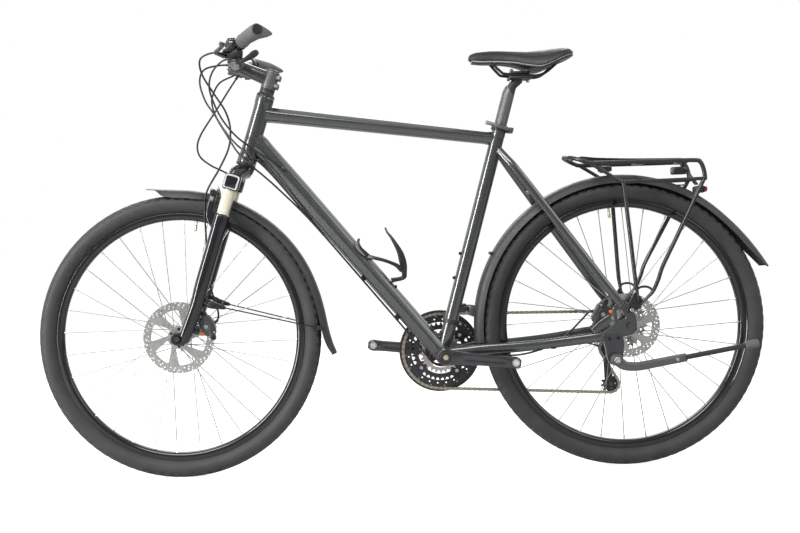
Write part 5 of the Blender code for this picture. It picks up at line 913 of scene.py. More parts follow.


# Fork crown: tower and border of each leg mirrored, joined by a swept bridge, over turned stanchions; the
# pale border and the pale strips on and under the bridge are painted reflection
def makeCrown():
    low, tall = fork["crownBottom"], fork["crownTall"]
    dark, pale, gold = [], [], []
    t = np.array([0.0, 0.0012, 0.004, 0.02, 0.034, 0.0385, 0.041, tall])
    half = np.array([0.0165, 0.019, 0.0203, 0.0207, 0.021, 0.0198, 0.017, 0.012])
    tower = carried(atLeg(0, 0, low + t), ring(56, half, half * 1.01, 3.4), (0, 1, 0))
    frameOutline = rounded([(-0.0175, low + 0.003), (0.0175, low + 0.003), (0.0185, low + 0.034),
        (0.014, low + 0.0385), (-0.014, low + 0.0385), (-0.0185, low + 0.034)], 0.003, 4, True)
    frameHole = rounded([(-0.0138, low + 0.0055), (0.0138, low + 0.0055), (0.0146, low + 0.032),
        (0.011, low + 0.0345), (-0.011, low + 0.0345), (-0.0146, low + 0.032)], 0.003, 4, True)
    # pale border on each tower: painted reflection on the black paint
    border = plate([frameOutline, frameHole], 0.0206, 0.0014, 0.0004, lambda x, y, z: atLeg(x, z, y))
    cap = turned([(0, 0.0105), (0.006, 0.0104), (0.0068, 0.0094), (0.007, 0.007), (0.0118, 0.0064),
        (0.0126, 0.0055), (0.0128, 0.0), (0, 0.0)], atLeg(0, 0, low + tall - 0.0015), steerUp, 40)
    leg = turned([(0, 0.215), (0.0145, 0.215), (0.0155, 0.2162), (0.0155, low + 0.005), (0, low + 0.005)],
        atLeg(0, 0, 0), steerUp, 72)
    for each, group in ((tower, dark), (border, pale), (cap, dark), (leg, gold)):
        group += [each, mirrored(each)]
    side = np.array([-0.065, -0.052, -0.04, -0.026, 0.0, 0.026, 0.04, 0.052, 0.065])
    ahead = np.array([0.015, 0.0138, 0.01, 0.0045, 0.0015, 0.0045, 0.01, 0.0138, 0.015])
    up = low + np.array([0.0225, 0.0385, 0.049, 0.056, 0.0575, 0.056, 0.049, 0.0385, 0.0225])
    path = smooth(np.stack([side, ahead, up], -1), 8)
    wide = np.interp(np.abs(path[:, 0]), [0, 0.03, 0.065], [0.0225, 0.0185, 0.015])
    tallHalf = np.interp(np.abs(path[:, 0]), [0, 0.03, 0.065], [0.0185, 0.015, 0.014])
    arm = carried(atFork(path[:, 1], path[:, 0], path[:, 2]), ring(48, wide, tallHalf, 3.6), steerAhead)
    dark.append(arm)
    # pale strips on the front of the bridge: painted reflection
    for way in (1, -1):
        pick = path[(path[:, 0] * way > 0.018) & (path[:, 0] * way < 0.05)]
        strip = atFork(pick[:, 1] + 0.0165, pick[:, 0], pick[:, 2] + 0.003)
        pale.append(carried(strip, ring(20, np.full(len(pick), 0.0022), np.full(len(pick), 0.0085), 3.0),
            steerAhead))
    # pale strip along the underside of the bridge: painted reflection
    belly = path[np.abs(path[:, 0]) < 0.047]
    below = np.interp(np.abs(belly[:, 0]), [0, 0.03, 0.065], [0.015, 0.014, 0.0135])
    pale.append(carried(atFork(belly[:, 1] - 0.002, belly[:, 0], belly[:, 2] - below + 0.0012),
        ring(24, np.interp(np.abs(belly[:, 0]), [0, 0.047], [0.0165, 0.0135]), np.full(len(belly), 0.0018),
        4.0), steerAhead))
    race = turned(rounded([(0, low + 0.05), (0.0225, low + 0.052), (0.0246, 0.4585), (0.0246, 0.464),
        (0.0236, 0.465), (0.0252, 0.466), (0.0252, 0.4716), (0, 0.4716)], 0.0007, 2), steerFoot, steerUp, 80)
    stem = turned([(0, 0.46), (fork["steerer"], 0.46), (fork["steerer"], fork["stemBottom"] + 0.044),
        (0, fork["stemBottom"] + 0.044)], steerFoot, steerUp, 56)
    drum = turned(rounded([(0, 0), (0.015, 0), (0.0152, 0.006), (0.0136, 0.0076), (0.008, 0.0086),
        (0, 0.0088)], 0.0008, 2), atFork(fork["legLead"], -fork["legSide"], low + tall + 0.0005), steerUp, 48)
    pull = block(atFork(fork["legLead"] + 0.01, -fork["legSide"] - 0.008, low + tall + 0.005),
        (0.022, 0.008, 0.006), (steerAhead, leftWay, steerUp), 0.0015, 4)
    makePiece("forkCrownAndStanchions", "steering",
        [(mat["blackPaint"], dark), (mat["paleFaceAndPaintedSheen"], pale), (mat["champagne"], gold),
        (mat["satinBlack"], [race, stem, drum, pull])], ("fork_crown",), 40)


# Lower legs: sections carried down the leg, mirrored, joined by a swept arch; a pale strip along the top of
# the arch is a painted highlight
def makeLowers():
    top = fork["lowerTop"]
    stations = smooth(np.array([(0.0, top - 0.001, 0.0199, 0.0199), (0.0, top - 0.028, 0.0199, 0.0199),
        (0.0, top - 0.032, 0.019, 0.019), (0.0, 0.24, 0.0182, 0.0184), (0.0, 0.15, 0.0179, 0.0182),
        (-0.0015, 0.1, 0.016, 0.0172), (0.001, 0.056, 0.0138, 0.0164), (0.0035, 0.022, 0.0128, 0.016),
        (0.006, 0.002, 0.0112, 0.0135), (0.007, -0.006, 0.008, 0.009)]), 6)
    leg = carried(atLeg(stations[:, 0], 0 * stations[:, 0], stations[:, 1]),
        ring(56, stations[:, 2], stations[:, 3], 2.3), (0, 1, 0))
    collar = turned([(0.0157, top - 0.004), (0.0203, top - 0.004), (0.0206, top - 0.0032),
        (0.0206, top - 0.0006), (0.0196, top + 0.0008), (0.0176, top + 0.0026), (0.0164, top + 0.003),
        (0.0157, top + 0.0026)], atLeg(0, 0, 0), steerUp, 64, True)
    eyeStart = frontAxle + leftWay * 0.0505
    eye = turned(rounded([(0, 0), (0.015, 0), (0.0165, 0.002), (0.0165, 0.0225), (0.0145, 0.0245),
        (0.0088, 0.0245), (0.0086, 0.0225), (0, 0.0225)], 0.001, 3), eyeStart, leftWay, 56)
    sideArch = np.array([(-0.0645, 0.028, -0.03), (-0.064, 0.04, -0.018), (-0.0635, 0.0475, -0.003),
        (-0.059, 0.0505, 0.028), (-0.05, 0.0535, 0.044), (-0.03, 0.0565, 0.0555), (0.0, 0.0575, 0.0605)])
    half = smooth(np.vstack([sideArch, sideArch[-2::-1] * [-1, 1, 1]]), 6)
    arch = carried(atFork(half[:, 1], half[:, 0], top + half[:, 2]),
        ring(36, np.full(len(half), 0.0098), np.full(len(half), 0.0062), 3.2), steerAhead)
    middle = half[np.abs(half[:, 0]) < 0.048]
    # shine: a thin pale strip on top of the arch, a painted highlight
    shine = carried(atFork(middle[:, 1] + 0.0006, middle[:, 0], top + middle[:, 2] + 0.0062),
        ring(20, np.full(len(middle), 0.007), np.full(len(middle), 0.0009), 3.0), steerAhead)
    ribs = []
    for onward in (0.03, 0.096):
        ribs.append(block(atFork(0.002, 0.06, onward), (0.026, 0.012, 0.014), (steerAhead, leftWay, steerUp),
            0.002, 4))
    bolt = turned([(0, 0), (0.0072, 0), (0.0076, 0.0008), (0.0076, 0.003), (0.0066, 0.0038), (0.0036, 0.0038),
        (0.0034, 0.0018), (0, 0.0018)], frontAxle + leftWay * 0.0735, leftWay, 6)
    foot = turned([(0, 0), (0.0058, 0), (0.0062, 0.001), (0.0062, 0.006), (0, 0.006)],
        atLeg(0.0068, 0, -0.013), steerUp, 24)
    both = []
    for each in (leg, collar, eye, foot):
        both += [each, mirrored(each)]
    makePiece("forkLowers", "fork_lower",
        [(mat["blackPaint"], both + [arch] + ribs), (mat["paleFaceAndPaintedSheen"], [shine]), (mat["blackSteel"], [bolt])],
        ("fork_lowers",), 40)
    ends = [rod(frontAxle - leftWay * 0.0875, frontAxle - leftWay * 0.0755, 0.0085, 32),
        rod(frontAxle + leftWay * 0.076, frontAxle + leftWay * 0.085, 0.008, 6),
        rod(frontAxle - leftWay * 0.076, frontAxle + leftWay * 0.0765, 0.0049, 24)]
    lever = carried(smooth(frontAxle + np.array([(0.0, -0.085, 0.0), (-0.012, -0.084, 0.012),
        (-0.03, -0.082, 0.034), (-0.04, -0.081, 0.05)]), 5),
        ring(20, np.full(16, 0.0022), np.interp(np.arange(16), [0, 6, 15], [0.006, 0.0045, 0.0055]), 2.6),
        (0, 1, 0))
    makePiece("frontAxleAndEnds", "fork_lower", [(mat["satinBlack"], ends + [lever])],
        ("front_axle",), 35)


# Brake caliper: two halves over the disc, piston caps, adapter and its bolts
def caliperShapes(centre, reach, side, outward):
    outward = np.asarray(outward, float) / np.linalg.norm(outward)
    around = np.cross(leftWay, outward)
    middle = centre + outward * reach + leftWay * side
    body, bolts, bright = [], [], []
    s = np.linspace(-1, 1, 17)
    for way, thick in ((1, 0.0118), (-1, 0.0108)):
        path = middle + around * (s * 0.025)[:, None] + leftWay * (way
            * (0.0038 + thick / 2)) + outward * (0.003 * (1 - s**2))[:, None]
        tall = 0.0178 * (1 - 0.35 * np.abs(s) ** 3)
        ease = np.where(np.abs(s) > 0.99, 0.75, 1.0)
        body.append(carried(path, ring(36, thick / 2 * ease, tall * ease, 3.4), leftWay))
    body.append(block(middle + outward * 0.0135, (0.04, 0.026, 0.0095), (around, leftWay, outward), 0.002,
        3.6))
    body.append(turned(rounded([(0, 0.013), (0.0128, 0.013), (0.013, 0.0168), (0.0116, 0.0176),
        (0.009, 0.0172), (0.0086, 0.0162), (0, 0.016)], 0.0006, 2), middle, leftWay, 48))
    body.append(turned([(0, -0.0142), (0.0118, -0.0142), (0.012, -0.0128), (0, -0.012)], middle, leftWay, 40))
    bright.append(turned([(0, 0.016), (0.0056, 0.0162), (0.0056, 0.017), (0, 0.0172)], middle, leftWay, 6))
    lug = middle + leftWay * 0.012 + outward * 0.0065
    body.append(carried(lug + around * np.linspace(-0.039, 0.039, 15)[:, None],
        ring(28, np.interp(np.linspace(-1, 1, 15), [-1, -0.8, -0.5, 0.5, 0.8, 1],
        [0.0045, 0.0062, 0.005, 0.005, 0.0062, 0.0045]),
        np.interp(np.linspace(-1, 1, 15), [-1, -0.8, -0.5, 0.5, 0.8, 1],
        [0.005, 0.0085, 0.007, 0.007, 0.0085, 0.005]), 2.8), leftWay))
    for way in (-1, 1):
        spot = lug + around * (way * 0.0315)
        bolts.append(rod(spot + leftWay * 0.0052, spot + leftWay * 0.0098, 0.0046, 28))
        bolts.append(rod(spot + leftWay * 0.0094, spot + leftWay * 0.01, 0.0026, 6))
    bolts.append(rod(middle + around * 0.021 - leftWay * 0.013, middle + around * 0.021 + leftWay * 0.0145,
        0.0017, 14))
    fins = [block(middle + outward * 0.019 + leftWay * y, (0.026, 0.0012, 0.006), (around, leftWay, outward),
        0.0005, 5, 16) for y in (-0.006, -0.003, 0.0, 0.003, 0.006)]
    banjo = middle - around * 0.02 + leftWay * 0.01 + outward * 0.014
    bolts.append(rod(banjo, banjo + leftWay * 0.0085, 0.0056, 24))
    bright.append(rod(banjo + leftWay * 0.0084, banjo + leftWay * 0.01, 0.0036, 6))
    plug = middle - outward * 0.015 - around * 0.0138 + leftWay * 0.0095
    plugs = [turned(rounded([(0, 0), (0.0052, 0), (0.0052, 0.007), (0.004, 0.0085), (0, 0.0085)], 0.0008, 2),
        plug, leftWay, 24)]
    return body, bolts, bright + fins, plugs


# Both disc calipers, set out from their axle along the way they face; the rear one is darker than the front
# as painted shade
def makeCalipers():
    for name, centre, reach, side, outward, ridesOn in (("frontCaliper", frontAxle, 0.076, 0.038,
            (-0.934, 0.0, 0.357), "fork_lower"), ("rearCaliper", rearAxle, 0.072, 0.052, (0.91, 0.0, 0.414),
            "frame")):
        body, bolts, bright, plugs = caliperShapes(centre, reach, side, outward)
        # the rear caliper gets satin black instead of the front one's dark alloy: painted shade
        makePiece(name, ridesOn, [(mat["satinBlack" if name[0] == "r" else "darkAlloy"], body),
            (mat["blackSteel"], bolts), (mat["bareAlloy"], bright), (mat["orangeClip"], plugs)],
            ("front_brake_caliper" if name[0] == "f" else "rear_brake_caliper",), 38)


makeCrown()
makeLowers()
makeCalipers()
print("fork ready")

# Mudguards: the section is crowned, height = -depth * |share of half width| ^ 2.2, and runs round the axle
guards = {"wall": 0.002, "depth": 0.018, "frontRadius": 0.373, "rearRadius": 0.3805, "tip": 20.5,
    "flare": 0.017}


# Mudguard strip: crowned section at share s, drop = -depth * (0.22 |s|^1.6 + 0.78 |s|^4.5), at each angle
def guardShape(axleBehind, stations, points=15):
    st = smooth(np.array(stations, float), 6)
    turn, radius, half, deep = np.radians(st[:, 0]), st[:, 1], st[:, 2], guards["depth"] * st[:, 3:4]
    share = np.linspace(-1, 1, points)
    drop = -deep * (0.22 * np.abs(share) ** 1.6 + 0.78 * np.abs(share) ** 4.5)
    lip = 0.0008 * np.exp(-((np.abs(share) - 0.93) / 0.05) ** 2)
    outer = np.stack([half[:, None] * share, drop + lip], -1)
    under = np.maximum(drop - guards["wall"], -deep - 0.0004)
    inner = np.stack([(half[:, None] - guards["wall"]) * share, under], -1)[:, ::-1]
    path = at(axleBehind + radius * np.cos(turn), radius * np.sin(turn))
    return carried(path, np.concatenate([outer, inner], 1), (0, 1, 0)), st


# Front mudguard by angle round the front axle, with its stays and clips
def makeFrontGuard():
    r = guards["frontRadius"]
    strip, _ = guardShape(0.0, [(-7.5, r + 0.029, 0.0255, 0.7), (-3.0, r + 0.0145, 0.0285, 1.0),
        (4.0, r + 0.004, 0.0295, 1.05), (16, r, 0.0298, 1.1), (29, r, 0.0298, 1.1), (42, r, 0.0298, 1.1),
        (55, r, 0.0288, 1.1), (65, r, 0.0255, 1.1), (69, r, 0.0198, 1.0), (76, r, 0.0198, 1.0),
        (80, r, 0.0265, 1.1), (87, r + 0.001, 0.0285, 1.15), (91, r + 0.002, 0.0285, 1.15),
        (95, r + 0.005, 0.0265, 0.95), (97.5, r + 0.0078, 0.0235, 0.3), (99.5, r + 0.011, 0.02, 0.16),
        (101.6, r + 0.014, 0.013, 0.12)])
    wires, clips, screws = [], [], []
    for way in (1, -1):
        start, end = at(0.101, 0.0785, way * 0.062), at(0.362, 0.011, way * 0.0275)
        ahead = (end - start) / np.linalg.norm(end - start)
        wires.append(tube(start + (end - start) * np.linspace(0, 1, 8)[:, None], 0.0017, 10))
        spots = start + ahead * np.array([-0.024, -0.022, -0.01, 0.004, 0.018, 0.022])[:, None]
        clips.append(carried(spots, ring(24, np.array([0.004, 0.006, 0.006, 0.005, 0.0034, 0.0024]),
            np.array([0.006, 0.0092, 0.0088, 0.007, 0.0048, 0.0034]), 3.2), (0, 1, 0)))
        screws.append(rod(spots[2] + leftWay * way * 0.004, spots[2] + leftWay * way * 0.0085, 0.0032, 18))
        clips.append(block(end - ahead * 0.004, (0.02, 0.005, 0.012),
            (ahead, leftWay, np.cross(ahead, leftWay)), 0.0015, 3.6))
        post = at([0.07, 0.085, 0.093], [0.094, 0.088, 0.083], [way * 0.062] * 3)
        clips.append(carried(smooth(post, 4), ring(20, np.full(9, 0.004), np.full(9, 0.006), 3.0), (0, 1, 0)))
    makePiece("frontMudguard", "fork_lower",
        [(mat["guardPlastic"], [strip]), (mat["blackSteel"], wires + screws), (mat["stripPlastic"], clips)],
        ("front_mudguard",), 50)


# Rear mudguard by angle round the rear axle, with its clip
def makeRearGuard():
    tip, r = guards["tip"], guards["rearRadius"]
    angles = [tip, tip + 4, tip + 10, tip + 17, tip + 25, 58, 71, 84, 97, 110, 123, 136, 149, 161, 171, 179,
        186]
    stations = [(a, r + guards["flare"] * max(0.0, (tip + 25 - a) / 25) ** 1.5,
        0.0298 - 0.008 * max(0.0, (a - 171) / 15), min(1.18, 0.45 + (a - tip) / 12)) for a in angles]
    strip, _ = guardShape(bike["wheelbase"], stations)
    clip = block(at(bike["wheelbase"] + 0.379 * math.cos(math.radians(150)),
        0.379 * math.sin(math.radians(150)), 0), (0.016, 0.03, 0.008), ease=0.002)
    makePiece("rearMudguard", "frame",
        [(mat["guardPlastic"], [strip]), (mat["stripPlastic"], [clip])], ("rear_mudguard",), 50)


makeFrontGuard()
makeRearGuard()
print("mudguards ready")

# Cockpit: places along the bar run sideways from its middle, with how far back and up it is there
cockpit = {"barAhead": 0.0933, "barAlong": 0.7043, "gripStart": 0.193, "gripEnd": 0.323, "gripRadius": 0.0165}
barMiddle = atFork(cockpit["barAhead"], 0.0, cockpit["barAlong"])
barBend = np.array([(0, 0, 0), (0.036, 0, 0), (0.075, 0.003, 0.01), (0.12, 0.014, 0.023), (0.19, 0.03, 0.03),
    (0.325, 0.075, 0.035)])
barLine = smooth(np.concatenate([barBend[:0:-1] * [-1, 1, 1], barBend]), 8)


# A place on the bar by its side: back and rise read from the bar line, then set ahead and dropped
def alongBar(side, ahead=0.0, drop=0.0):
    side = np.asarray(side, float)
    back, rise = np.interp(side, barLine[:, 0], barLine[:, 1]), np.interp(side, barLine[:, 0], barLine[:, 2])
    return barMiddle + np.stack([-back + ahead, side, rise - drop], -1)


# Way the bar runs at a side: difference of two near places, made one long
def barWay(side):
    step = alongBar(abs(side) + 0.004) - alongBar(abs(side) - 0.004)
    return step / np.linalg.norm(step) * [1, 1 if side > 0 else -1, 1]


# Stem: spacer rings and clamp turned, the neck a section carried from the clamp to the bar
def makeStem():
    low = fork["stemBottom"]
    rings = [turned(rounded([(0.0146, a), (0.018, a), (0.0186, a + 0.0008), (0.0186, b - 0.0008), (0.018, b),
        (0.0146, b)], 0.0004, 2), steerFoot, steerUp, 72, True) for a,
        b in ((low - 0.0205, low - 0.0106), (low - 0.0102, low - 0.0003))]
    clamp = turned(rounded([(0, low), (0.0188, low), (0.0192, low + 0.002), (0.0192, low + 0.045),
        (0.0182, low + 0.047), (0, low + 0.047)], 0.0012, 3), steerFoot, steerUp, 80)
    cap = turned(rounded([(0, low + 0.0468), (0.0172, low + 0.0468), (0.017, low + 0.0492),
        (0.012, low + 0.0512), (0.006, low + 0.0514), (0.0052, low + 0.05), (0, low + 0.05)], 0.0005, 2),
        steerFoot, steerUp, 64)
    start, end = atFork(0.004, 0, low + 0.0258), barMiddle
    t = np.linspace(0, 1, 18)
    out = (end - start) / np.linalg.norm(end - start)
    across = np.cross(out, leftWay)
    wide = np.interp(t, [0, 0.2, 0.6, 0.85, 1], [0.015, 0.0158, 0.0162, 0.019, 0.0215])
    tall = np.interp(t, [0, 0.2, 0.6, 0.85, 1], [0.0192, 0.018, 0.0165, 0.0162, 0.016])
    neck = carried(start + (end - start) * t[:, None], ring(56, wide, tall, 2.6), (0, 1, 0))
    face = turned(rounded([(0.0161, -0.0228), (0.0204, -0.0228), (0.0212, -0.0214), (0.0212, 0.0214),
        (0.0204, 0.0228), (0.0161, 0.0228)], 0.0008, 3), barMiddle, leftWay, 72, True)
    seam = block(barMiddle + across * 0.0, (0.0016, 0.044, 0.044), (out, leftWay, across), 0.0004, 6)
    bolts, ears = [], []
    for up in (0.0125, 0.0345):
        spot = atFork(-0.0195, 0, low + up)
        ears.append(block(spot, (0.013, 0.029, 0.015), (steerAhead, leftWay, steerUp), 0.0022, 3.4))
        bolts.append(rod(spot + leftWay * 0.014, spot + leftWay * 0.0186, 0.0042, 32))
        bolts.append(rod(spot + leftWay * 0.0184, spot + leftWay * 0.019, 0.0024, 6))
        bolts.append(rod(spot - leftWay * 0.0172, spot - leftWay * 0.014, 0.0036, 6))
    for side in (-0.015, 0.015):
        for up in (0.0165, -0.0165):
            spot = barMiddle + leftWay * side + across * up
            ears.append(rod(spot - out * 0.006, spot + out * 0.014, 0.0058, 32))
            bolts.append(rod(spot + out * 0.0138, spot + out * 0.0178, 0.004, 28))
            bolts.append(rod(spot + out * 0.0176, spot + out * 0.0182, 0.0023, 6))
    makePiece("stemAndSpacers", "steering",
        [(mat["crankGrey"], [neck]), (mat["postGrey"], [clamp, face] + ears + rings),
        (mat["satinBlack"], [cap, seam]), (mat["bareAlloy"], bolts)], ("stem",), 38)


# Handlebar: round section carried along the bar line, wider in the middle
def makeBar():
    line = np.stack([barLine[:, 0], barLine[:, 1], barLine[:, 2]], -1)
    inside = np.abs(line[:, 0]) < 0.3245
    sides = line[inside, 0]
    radius = np.interp(np.abs(sides), [0, 0.042, 0.052, 0.085, 0.12, 0.33],
        [0.0159, 0.0159, 0.0152, 0.013, 0.0111, 0.0111])
    bar = tube(alongBar(sides), radius, 48)
    plug = [turned(rounded([(0, -0.004), (0.012, -0.004), (0.0122, 0.0006), (0.011, 0.0018), (0.0, 0.0022)],
        0.0006, 3), alongBar(way * 0.3235), barWay(way * 0.3), 40) for way in (1, -1)]
    makePiece("handlebar", "steering", [(mat["barAlloy"], [bar]), (mat["stripPlastic"], plug)],
        ("handlebar",), 35)


# Grip: a round that swells and grows a wing backwards with fine ribs,
# reach = 1 + wing * max(0, cos(turn - back)) ^ 2
def gripShape(way):
    count, sides = 90, 72
    share = np.linspace(0, 1, count)
    side = cockpit["gripStart"] + (cockpit["gripEnd"] - cockpit["gripStart"]) * share
    swell = np.interp(share, [0, 0.015, 0.05, 0.09, 0.35, 0.65, 0.85, 0.985, 1],
        [0.9, 1.02, 1.05, 0.99, 0.97, 0.95, 0.94, 0.86, 0.78])
    wing = np.interp(share, [0, 0.06, 0.35, 0.65, 0.85, 0.97, 1], [0, 0, 0.05, 0.52, 1.3, 1.66, 1.56])
    turn = np.linspace(0, tau, sides, endpoint=False)
    lobe = np.maximum(0, np.cos(turn)) ** 1.5
    thin = 1 - 0.3 * np.interp(share, [0, 0.5, 1], [0, 0.3, 1.0])
    back = cockpit["gripRadius"] * swell[:, None] * (np.cos(turn) + wing[:, None] * lobe
        * np.sign(np.cos(turn)))
    rise = cockpit["gripRadius"] * swell[:, None] * np.sin(turn) * (1 - (1 - thin[:, None]) * np.maximum(0,
        np.cos(turn)))
    rib = 1 + 0.018 * np.sign(np.sin(share * 150))[:,
        None] * (np.abs(np.sin(turn)) > 0.3) * ((share > 0.1) & (share < 0.8))[:, None]
    out = barWay(way * 0.26)
    hind = np.array([-1.0, 0, 0]) + out * out[0]
    hind /= np.linalg.norm(hind)
    up = np.cross(out, hind) * way
    tilt = math.radians(14)
    hind, up = hind * math.cos(tilt) - up * math.sin(tilt), up * math.cos(tilt) + hind * math.sin(tilt)
    points = alongBar(way * side)[:, None, :] + (back * rib)[..., None] * hind + (rise * rib)[..., None] * up
    points = points if way > 0 else points[:, ::-1]
    return grid(points, True, False, True)


# Grips with their end caps, left and right
def makeGrips():
    for way, name in ((1, "left"), (-1, "right")):
        face = alongBar(way * (cockpit["gripEnd"] - 0.0006))
        out = barWay(way * 0.3)
        disc = turned([(0, -0.001), (0.0092, -0.001), (0.0094, 0.0006), (0.008, 0.0014), (0, 0.0014)], face,
            out, 40)
        collar = turned(rounded([(0.0113, -0.004), (0.0162, -0.004), (0.0166, 0.004), (0.0113, 0.004)],
            0.0008, 3), alongBar(way * (cockpit["gripStart"] - 0.0006)), barWay(way * 0.19), 56, True)
        makePiece(name + "Grip", "steering",
            [(mat["gripRubber"], [gripShape(way), disc]), (mat["stripPlastic"], [collar])], ("grip_" + name,),
            50)


# Control pod: clamp turned round the bar, reservoir carried beside it, lid, window and bolts
def podShapes(way):
    dark, shiny, window, steel = [], [], [], []
    side = lambda s: way * s
    axis = barWay(side(0.172))
    dark.append(turned(rounded([(0.0112, -0.0085), (0.0152, -0.0085), (0.0156, -0.0075), (0.0156, 0.0075),
        (0.0152, 0.0085), (0.0112, 0.0085)], 0.0006, 2), alongBar(side(0.172)), axis, 56, True))
    reach = np.array([(0.186, 0.0195, 0.0055), (0.178, 0.0205, 0.0058), (0.16, 0.0222, 0.0066),
        (0.142, 0.024, 0.007), (0.12, 0.0272, 0.004), (0.104, 0.0294, 0.0014), (0.095, 0.03, 0.0)])
    line = smooth(reach, 5)
    dark.append(tube(np.stack([alongBar(side(s), a, d) for s, a, d in line]),
        np.interp(line[:, 0], [0.095, 0.1, 0.118, 0.142, 0.178, 0.186],
        [0.0046, 0.006, 0.0078, 0.0098, 0.0088, 0.006]), 36))
    tank = smooth(np.array([(0.178, 0.018, -0.004), (0.16, 0.02, -0.006), (0.14, 0.022, -0.007),
        (0.124, 0.025, -0.005)]), 5)
    dark.append(carried(np.stack([alongBar(side(s), a, d) for s, a, d in tank]),
        ring(32, np.interp(np.arange(len(tank)), [0, 3, 12, 15], [0.008, 0.0115, 0.0115, 0.007]),
        np.interp(np.arange(len(tank)), [0, 3, 12, 15], [0.005, 0.0075, 0.0075, 0.005]), 3.6), (1, 0, 0)))
    lid = alongBar(side(0.151), 0.0212, -0.0148)
    window.append(block(lid, (0.032, 0.0175, 0.0022), (axis, np.array([1.0, 0, 0]), np.array([0, 0, 1.0])),
        0.0006, 5))
    for s in (0.139, 0.163):
        spot = alongBar(side(s), 0.0212, -0.0155)
        steel.append(rod(spot, spot + np.array([0, 0, 0.0016]), 0.0018, 14))
    for s in (0.165, 0.178):
        spot = alongBar(side(s), 0.016, -0.002)
        steel.append(rod(spot + [0.004, 0, 0], spot + [0.0125, 0, 0], 0.0026, 20))
    dark.append(block(alongBar(side(0.15), 0.0336, 0.012), (0.026, 0.015, 0.008),
        (axis, np.array([1.0, 0, 0]), np.array([0, 0, 1.0])), 0.002, 3.2))
    steel.append(rod(alongBar(side(0.139), 0.035, 0.0055), alongBar(side(0.139), 0.035, 0.0285), 0.003, 20))
    shell = smooth(np.array([(0.18, 0.0055, 0.017), (0.166, 0.0075, 0.021), (0.15, 0.01, 0.0245),
        (0.134, 0.0125, 0.0245), (0.118, 0.0145, 0.0225), (0.11, 0.016, 0.021)]), 5)
    dark.append(carried(np.stack([alongBar(side(s), a, d) for s, a, d in shell]),
        ring(36, np.interp(np.linspace(0, 1, len(shell)), [0, 0.1, 0.45, 0.9, 1],
        [0.007, 0.0115, 0.019, 0.0105, 0.006]),
        np.interp(np.linspace(0, 1, len(shell)), [0, 0.1, 0.45, 0.9, 1],
        [0.004, 0.0066, 0.009, 0.0062, 0.004]), 3.2), (1, 0, 0)))
    shiny.append(rod(alongBar(side(0.152), 0.01, 0.033), alongBar(side(0.152), 0.01, 0.0372), 0.0085, 40))
    dark.append(rod(alongBar(side(0.118), 0.016, 0.0225), alongBar(side(0.098), 0.02, 0.0215), 0.004, 24))
    dark.append(block(alongBar(side(0.16), 0.006, 0.0125), (0.01, 0.012, 0.014),
        (axis, np.array([1.0, 0, 0]), np.array([0, 0, 1.0])), 0.002, 3.2))
    return dark, shiny, window, steel


# Lever: a flat blade with an eased edge that follows its listed stations
def bladeShape(way, stations, thick, power=3.4):
    line = smooth(np.array(stations, float), 7)
    points = np.stack([alongBar(way * s, a, d) for s, a, d, _ in line])
    wide = line[:, 3] / 2
    wide[[0, -1]] *= 0.55
    return carried(points, ring(32, wide, np.full(len(line), thick), power), (1, 0, 0))


# Pods, brake levers and shift levers of both sides, each lever riding its own joint
def makeControls():
    for way, name in ((1, "left"), (-1, "right")):
        dark, shiny, window, steel = podShapes(way)
        makePiece(name + "Control", "steering",
            [(mat["satinBlack"], dark), (mat["darkAlloy"], shiny), (mat["stripPlastic"], window),
            (mat["bareAlloy"], steel)], ("control_" + name,), 40)
        blade = bladeShape(way, [(0.134, 0.034, 0.022, 0.01), (0.138, 0.0345, 0.022, 0.013),
            (0.158, 0.0482, 0.022, 0.014), (0.186, 0.0627, 0.023, 0.0105), (0.23, 0.0627, 0.023, 0.0095),
            (0.27, 0.0661, 0.023, 0.0105), (0.284, 0.0725, 0.023, 0.0125), (0.29, 0.0755, 0.023, 0.009)],
            0.004)
        eye = rod(alongBar(way * 0.139, 0.035, 0.017), alongBar(way * 0.139, 0.035, 0.0265), 0.0066, 36)
        makePiece(name + "BrakeLever", name + "_brake", [(mat["darkAlloy"], [blade, eye])],
            ("brake_lever_" + name,), 45)
        paddle = bladeShape(way, [(0.143, 0.006, 0.0404, 0.01), (0.148, 0.002, 0.04, 0.012),
            (0.16, -0.011, 0.0372, 0.012), (0.172, -0.0235, 0.0318, 0.017), (0.181, -0.032, 0.0262, 0.018),
            (0.186, -0.036, 0.0232, 0.011)], 0.0036)
        knob = rod(alongBar(way * 0.148, 0.004, 0.0374), alongBar(way * 0.148, 0.004, 0.043), 0.0058, 32)
        makePiece(name + "ShiftLever", name + "_shift", [(mat["satinBlack"], [paddle, knob])],
            ("shift_lever_" + name,), 45)


makeStem()
makeBar()
makeGrips()
makeControls()
print("cockpit ready")

# Seat: the post by distance up the seat tube, the rest from the top of the post or from the axles
seat = {"postRadius": 0.0158, "postBottom": 0.482, "postTop": 0.707, "collar": 0.5955, "saddleBehind": 0.7565,
    "fill": 4.0, "voxel": 0.0045, "mostSwell": 0.006}
postTop = atSeat(0, 0, seat["postTop"])


def fromPost(behind, above, side=0.0):  # a place by how far behind and above the top of the post it is
    return postTop + np.stack(np.broadcast_arrays(-np.asarray(behind, float), side, above), -1)


